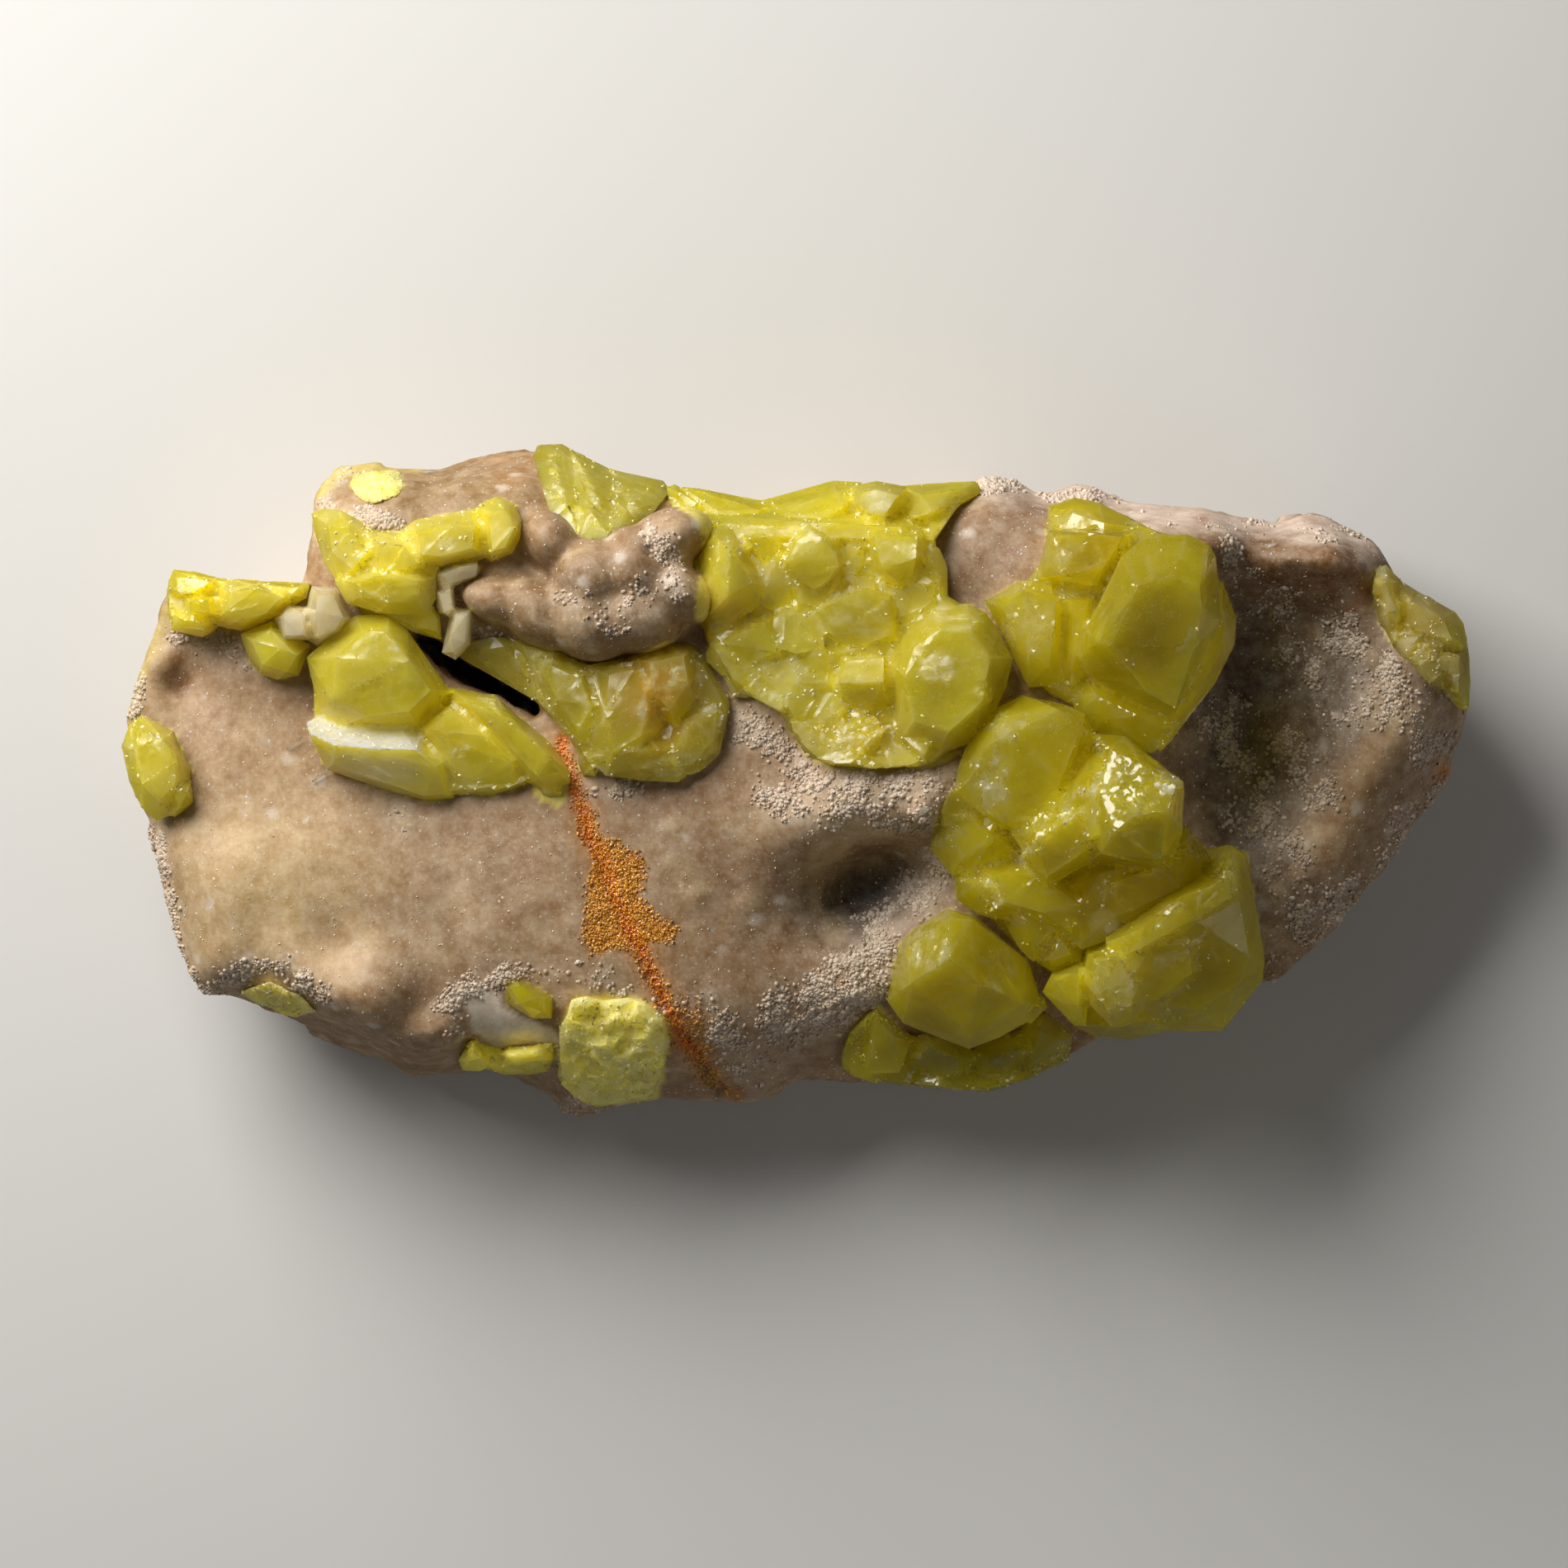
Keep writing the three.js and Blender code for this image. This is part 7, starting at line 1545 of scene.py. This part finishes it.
def rock_material():
    m, t = material("matrix_rock")
    p = scaled_position(t)
    paint = attribute(t, "paint")["Color"]
    frost, vein, outside = (attribute(t, k)["Fac"] for k in ("frost", "vein", "outside"))
    grain = cells_at(t, p, 2.6)
    soft = noise_at(t, p, 0.55, 4.0, 0.68)
    sep = node(t, "ShaderNodeSeparateColor")
    link(t, grain["Color"], sep.inputs[0])
    # colour: softly mottled, with faint pale grains, and more of them where it is frosted
    c = mixed(t, ranged(t, soft["Fac"], 0.35, 0.65, 0.0, 1.0), mixed(t, 1.0, paint, (0.80, 0.75, 0.70), "MULTIPLY"), mixed(t, 0.14, paint, (0.86, 0.80, 0.68)))
    pale = math_node(t, "MULTIPLY", ranged(t, sep.outputs[1], 0.45, 0.95, 0.0, 1.0), ranged(t, grain["Distance"], 0.60, 0.25, 0.0, 1.0))
    c = mixed(t, math_node(t, "MULTIPLY", pale, ranged(t, frost, 0.0, 1.0, 0.12, 0.5)), c, (0.80, 0.72, 0.60))
    # white blotches of a second druse
    bent = node(t, "ShaderNodeVectorMath", operation="MULTIPLY_ADD")
    link(t, soft["Color"], bent.inputs[0])
    bent.inputs[1].default_value = (1.6, 1.6, 1.6)
    link(t, p, bent.inputs[2])
    blotch = cells_at(t, bent.outputs[0], 0.30)
    which = node(t, "ShaderNodeSeparateColor")
    link(t, blotch["Color"], which.inputs[0])
    white = math_node(t, "MULTIPLY", ranged(t, blotch["Distance"], 0.34, 0.14, 0.0, 0.42), ranged(t, which.outputs[2], 0.66, 0.84, 0.0, 1.0))
    white = math_node(t, "MULTIPLY", white, ranged(t, outside, 0.0, 0.5, 1.0, 0.0))
    c = mixed(t, math_node(t, "MULTIPLY", white, ranged(t, vein, 0.0, 0.3, 1.0, 0.0)), c, (0.80, 0.73, 0.64))
    spark = math_node(t, "MULTIPLY", ranged(t, sep.outputs[0], 0.960, 0.985, 0.0, 1.0), ranged(t, grain["Distance"], 0.45, 0.25, 0.0, 1.0))
    c = mixed(t, math_node(t, "MULTIPLY", spark, ranged(t, outside, 0.0, 1.0, 0.75, 0.2)), c, (0.95, 0.92, 0.85))
    bs = node(t, "ShaderNodeBsdfPrincipled")
    link(t, c, bs.inputs["Base Color"])
    rough = ranged(t, soft["Fac"], 0.3, 0.7, 0.50, 0.62)
    rough = math_node(t, "SUBTRACT", rough, math_node(t, "MULTIPLY", spark, 0.36))
    rough = math_node(t, "SUBTRACT", rough, math_node(t, "MULTIPLY", vein, 0.16))
    rough = math_node(t, "ADD", rough, math_node(t, "MULTIPLY", outside, 0.16), clamp=True)
    link(t, rough, bs.inputs["Roughness"])
    bs.inputs["IOR"].default_value = 1.5
    k = math_node(t, "ADD", 0.09, math_node(t, "MULTIPLY", frost, 0.25))
    k = math_node(t, "ADD", k, math_node(t, "MULTIPLY", vein, 0.5))
    k = math_node(t, "ADD", k, math_node(t, "MULTIPLY", spark, 0.5))
    rocky = math_node(t, "ADD", 0.05, math_node(t, "MULTIPLY", outside, 0.25))
    link(t, faceted_normal(t, [(grain["Color"], k), (soft["Color"], rocky)]), bs.inputs["Normal"])
    out = node(t, "ShaderNodeOutputMaterial")
    link(t, bs.outputs[0], out.inputs["Surface"])
    return m


def grain_material(name, rough=0.28, ior=1.6, lift=1.0):
    m, t = material(name)
    p = scaled_position(t)
    paint = attribute(t, "paint")["Color"]
    n = noise_at(t, p, 2.2, 2.0)
    c = mixed(t, ranged(t, n["Fac"], 0.3, 0.7, 0.0, 0.35), paint, mixed(t, 1.0, paint, (0.86, 0.82, 0.78), "MULTIPLY"))
    bs = node(t, "ShaderNodeBsdfPrincipled")
    link(t, c, bs.inputs["Base Color"])
    link(t, ranged(t, n["Fac"], 0.35, 0.65, rough * 0.7, rough * 1.3), bs.inputs["Roughness"])
    bs.inputs["IOR"].default_value = ior
    out = node(t, "ShaderNodeOutputMaterial")
    link(t, bs.outputs[0], out.inputs["Surface"])
    return m


def crystal_material(name, transmission, ior, absorb, density, rough_low, rough_high, glow, reach):
    m, t = material(name)
    p = scaled_position(t)
    paint = attribute(t, "paint")["Color"]
    frost = attribute(t, "frost")["Fac"]
    veils = noise_at(t, p, 0.36, 3.0, 0.6)
    specks = cells_at(t, p, 2.1)
    sep = node(t, "ShaderNodeSeparateColor")
    link(t, specks["Color"], sep.inputs[0])
    dot = math_node(t, "MULTIPLY", ranged(t, specks["Distance"], 0.22, 0.12, 0.0, 1.0), ranged(t, sep.outputs[0], 0.72, 0.76, 0.0, 1.0))
    dot = math_node(t, "MULTIPLY", dot, ranged(t, frost, 0.0, 0.5, 0.25, 0.9))
    # a cloudy inside, a thin frosting where it is worn or broken and where frost marks paint highlights, and specks of
    # dust
    c = mixed(t, ranged(t, veils["Fac"], 0.42, 0.60, 0.0, 0.45), paint, mixed(t, 1.0, paint, (0.84, 0.82, 0.55), "MULTIPLY"))
    crack = math_node(t, "ABSOLUTE", math_node(t, "SUBTRACT", veils["Fac"], 0.5))
    crack = ranged(t, crack, 0.0, 0.012, 0.22, 0.0)
    c = mixed(t, crack, c, (0.97, 0.93, 0.50))
    veil = math_node(t, "MULTIPLY", ranged(t, veils["Fac"], 0.40, 0.62, 1.0, 0.2), frost)
    c = mixed(t, math_node(t, "MULTIPLY", veil, 0.5), c, (0.84, 0.82, 0.55))
    c = mixed(t, dot, c, (0.90, 0.87, 0.66))
    bs = node(t, "ShaderNodeBsdfPrincipled")
    link(t, c, bs.inputs["Base Color"])
    r = math_node(t, "ADD", ranged(t, veils["Fac"], 0.4, 0.6, rough_low, rough_low + 0.08), math_node(t, "MULTIPLY", frost, rough_high), clamp=True)
    link(t, r, bs.inputs["Roughness"])
    bs.inputs["IOR"].default_value = ior
    bs.inputs["Transmission Weight"].default_value = transmission
    bs.subsurface_method = "BURLEY"
    bs.inputs["Subsurface Weight"].default_value = 1.0
    bs.inputs["Subsurface Radius"].default_value = glow
    bs.inputs["Subsurface Scale"].default_value = reach
    k = math_node(t, "ADD", 0.015, math_node(t, "MULTIPLY", ranged(t, frost, 0.3, 1.0, 0.0, 0.55), 1.0))
    wavy = math_node(t, "ADD", 0.05, math_node(t, "MULTIPLY", frost, 0.2))
    link(t, faceted_normal(t, [(specks["Color"], k), (veils["Color"], wavy)]), bs.inputs["Normal"])
    vol = node(t, "ShaderNodeVolumeAbsorption")
    vol.inputs["Color"].default_value = (*absorb, 1.0)
    vol.inputs["Density"].default_value = density
    out = node(t, "ShaderNodeOutputMaterial")
    link(t, bs.outputs[0], out.inputs["Surface"])
    link(t, vol.outputs[0], out.inputs["Volume"])
    return m


def floor_material():
    m, t = material("floor")
    tc = node(t, "ShaderNodeTexCoord")
    n = noise_at(t, tc.outputs["Object"], 3.0, 3.0)
    bs = node(t, "ShaderNodeBsdfPrincipled")
    link(t, mixed(t, ranged(t, n["Fac"], 0.3, 0.7, 0.0, 1.0), (0.70, 0.70, 0.69), (0.73, 0.73, 0.72)), bs.inputs["Base Color"])
    bs.inputs["Roughness"].default_value = 0.8
    out = node(t, "ShaderNodeOutputMaterial")
    link(t, bs.outputs[0], out.inputs["Surface"])
    return m

# ---------------------------------------------------------------- build

ROCK_SIZE = 0.68


def worn(ob, slot, *nodes):
    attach(ob, "root")
    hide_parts(*nodes)
    return ob


rock = rock_object()
remeshed(rock, ROCK_SIZE)
m = rock.modifiers.new("smooth", "SMOOTH")
m.factor, m.iterations = 0.5, 3
baked_modifiers(rock)
shape_rock(rock)
smooth_shade(rock)
frost, vein, outside, under, front, rgb = paint_rock(rock)
rock.name = "matrix_rock_look"
rock.data.materials.clear()
rock.data.materials.append(rock_material())
worn(rock, "matrix_rock", "matrix_rock")

# frost buds, a few sparkling grains, and the glitter of the vein
open_front = front * (1 - under) * (1 - outside)
spark_grain = grain_material("spark_grain", 0.2, 1.6)
frost_bud = grain_material("frost_bud", 0.45, 1.5)
amber_grain = grain_material("amber_grain", 0.10, 1.8)
dust_grain = grain_material("dust_grain", 0.3, 1.6)
share = 1.0


def dressed(name, on, weight, base, count, low, high, tone, mat, slot="matrix_rock", nodes=("matrix_rock",), sink=0.1, power=1.6, bud=False, even=1.5):
    count = int(count * share)
    spots, nn, t = sampled(on, weight, count)
    lift = RNG.uniform(0.0, 1.0, (count, 1)) ** even
    colour = base[t].mean(1) * (1 - tone[1] * lift) + np.array(tone[0]) * tone[1] * lift
    size = low + (high - low) * RNG.random(count) ** power
    ob = grains_object(name, spots, nn, size, np.clip(colour, 0, 1), sink, bud)
    ob.data.materials.append(mat)
    return worn(ob, slot, *nodes)


patch = smooth_step(-0.1, 0.5, fbm(coordinates(rock), 2.4, 90, 3))
buds = open_front * smooth_step(0.15, 0.8, frost) * (0.06 + 0.94 * patch)
white = linear(0.88, 0.82, 0.75)
dressed("frost_buds", rock, buds, rgb, 8200, 0.25, 0.70, (white, 0.9), frost_bud, sink=0.05, power=2.2, bud=True, even=0.7)
dressed("frost_fine_buds", rock, buds, rgb, 14500, 0.13, 0.36, (white, 0.95), frost_bud, sink=0.12, power=1.4, even=0.6)
dressed("druse_sparks", rock, open_front * (1 - under), rgb, 1800, 0.07, 0.15, (linear(0.98, 0.95, 0.90), 1.0), spark_grain, even=0.3)
dressed("vein_glitter", rock, open_front * vein**2, rgb, 5200, 0.10, 0.30, (linear(0.99, 0.74, 0.26), 0.7), amber_grain, sink=0.1)

NEEDLES = [
    ((348, 907, 0.5), (367, 893, 1.0), 0.16),
    ((379, 947, 0.5), (399, 933, 1.0), 0.17),
    ((1107, 990, 0.9), (1124, 979, 1.2), 0.5),
    ((1120, 992, 0.8), (1128, 984, 1.0), 0.35),
]
crystal_names = list(STYLE)
clear = crystal_material("sulfur_clear", 0.58, 1.7, (0.99, 0.985, 0.02), 200, 0.10, 0.40, (1.0, 0.85, 0.06), 0.009)
dusty = crystal_material("sulfur_dusty", 0.36, 1.7, (0.99, 0.985, 0.02), 200, 0.25, 0.40, (1.0, 0.85, 0.08), 0.006)
frosted = crystal_material("sulfur_frosted", 0.1, 1.7, (0.99, 0.985, 0.05), 200, 0.35, 0.35, (1.0, 0.92, 0.3), 0.004)
calcite = crystal_material("calcite", 0.42, 1.55, (0.97, 0.94, 0.84), 60, 0.12, 0.35, (1.0, 0.9, 0.7), 0.005)
total = 0
for name in crystal_names:
    ob, weight, tint = crystal_object(name)
    mat = calcite if name.startswith("calcite") else clear if name in CLEAR else frosted if name in PALE else dusty
    ob.data.materials.append(mat)
    slot = "calcite" if name.startswith("calcite") else "sulfur"
    worn(ob, slot, name)
    ob.data.calc_loop_triangles()
    if slot == "sulfur":
        area = ob.data.polygons
        size = np.empty(len(area), np.float32)
        area.foreach_get("area", size)
        count = 2.2 * size.sum() * 1e6 * weight.mean()
        if count > 20:
            dressed(name.replace("sulfur_", "dust_on_"), ob, weight, tint, count, 0.10, 0.30, (linear(0.97, 0.95, 0.82), 0.9), dust_grain, "sulfur", (name,), 0.1, 1.8, even=0.8)
    print(name, len(ob.data.loop_triangles))

# calcite needles and a small white crystal on the rock
verts, faces = [], []
for (u1, v1, up1), (u2, v2, up2), wide in NEEDLES:
    a, b = front_point(u1, v1) + [0, 0, up1], front_point(u2, v2) + [0, 0, up2]
    along = (b - a) / np.linalg.norm(b - a)
    side = np.cross(along, [0, 0, 1])
    side /= np.linalg.norm(side)
    over = np.cross(side, along)
    corners_of = [e + wide * k * (side * math.cos(w) + over * math.sin(w)) for e, k in ((a, 1.0), (b, 0.7)) for w in (0.3, 1.9, 3.4, 5.0)]
    vv, tt = hull_mesh([tuple(q) for q in corners_of])
    faces += [tuple(i + sum(len(x) for x in verts) for i in t) for t in tt]
    verts.append(vv)
needles = mesh_object("calcite_needles_look", np.concatenate(verts), faces)
point_colours(needles, "paint", np.tile(linear(0.93, 0.89, 0.80), (len(needles.data.vertices), 1)))
point_values(needles, "frost", np.full(len(needles.data.vertices), 0.2))
needles.data.materials.append(calcite)
worn(needles, "calcite", "matrix_rock")

for o in bpy.data.objects:
    if o.type == "MESH" and not o.hide_render:
        o.data.calc_loop_triangles()
        total += len(o.data.loop_triangles)
print("triangles", total, "rock", len(rock.data.loop_triangles))

# ---------------------------------------------------------------- stage

bpy.ops.mesh.primitive_plane_add(size=4, location=(0, 0, 0))
floor = bpy.context.object
floor.name = "floor"
floor.data.materials.append(floor_material())


def area_light(name, where, target, size, watts, colour=(1, 1, 1)):
    d = bpy.data.lights.new(name, "AREA")
    d.shape = "RECTANGLE"
    d.size, d.size_y = size
    d.energy = watts
    d.color = colour
    o = bpy.data.objects.new(name, d)
    o.location = where
    o.rotation_euler = (Vector(target) - Vector(where)).to_track_quat("-Z", "Y").to_euler()
    bpy.context.scene.collection.objects.link(o)
    return o


area_light("key", (-0.285, 0.335, 0.315), (0, 0, 0.02), (0.38, 0.38), 4.4, (1.0, 0.97, 0.92))
fill = area_light("fill", (0.75, -0.55, 0.5), (0, 0, 0), (0.5, 0.5), 1.0, (1.0, 0.98, 0.95))
fill.visible_glossy = False
floor.visible_glossy = False
world = bpy.data.worlds.new("studio")
bpy.context.scene.world = world
world.use_nodes = True
world.node_tree.nodes["Background"].inputs["Color"].default_value = (1.0, 0.98, 0.95, 1)
world.node_tree.nodes["Background"].inputs["Strength"].default_value = 0.06

cam = bpy.data.cameras.new("camera")
cam.sensor_width = 36
cam.lens = 36 * 800 / 190
cam.clip_end = 20
eye = bpy.data.objects.new("camera", cam)
eye.location = (SHIFT[0] * 0.001, SHIFT[1] * 0.001, 0.83)
bpy.context.scene.collection.objects.link(eye)
scene = bpy.context.scene
scene.camera = eye
scene.view_settings.view_transform = "Standard"
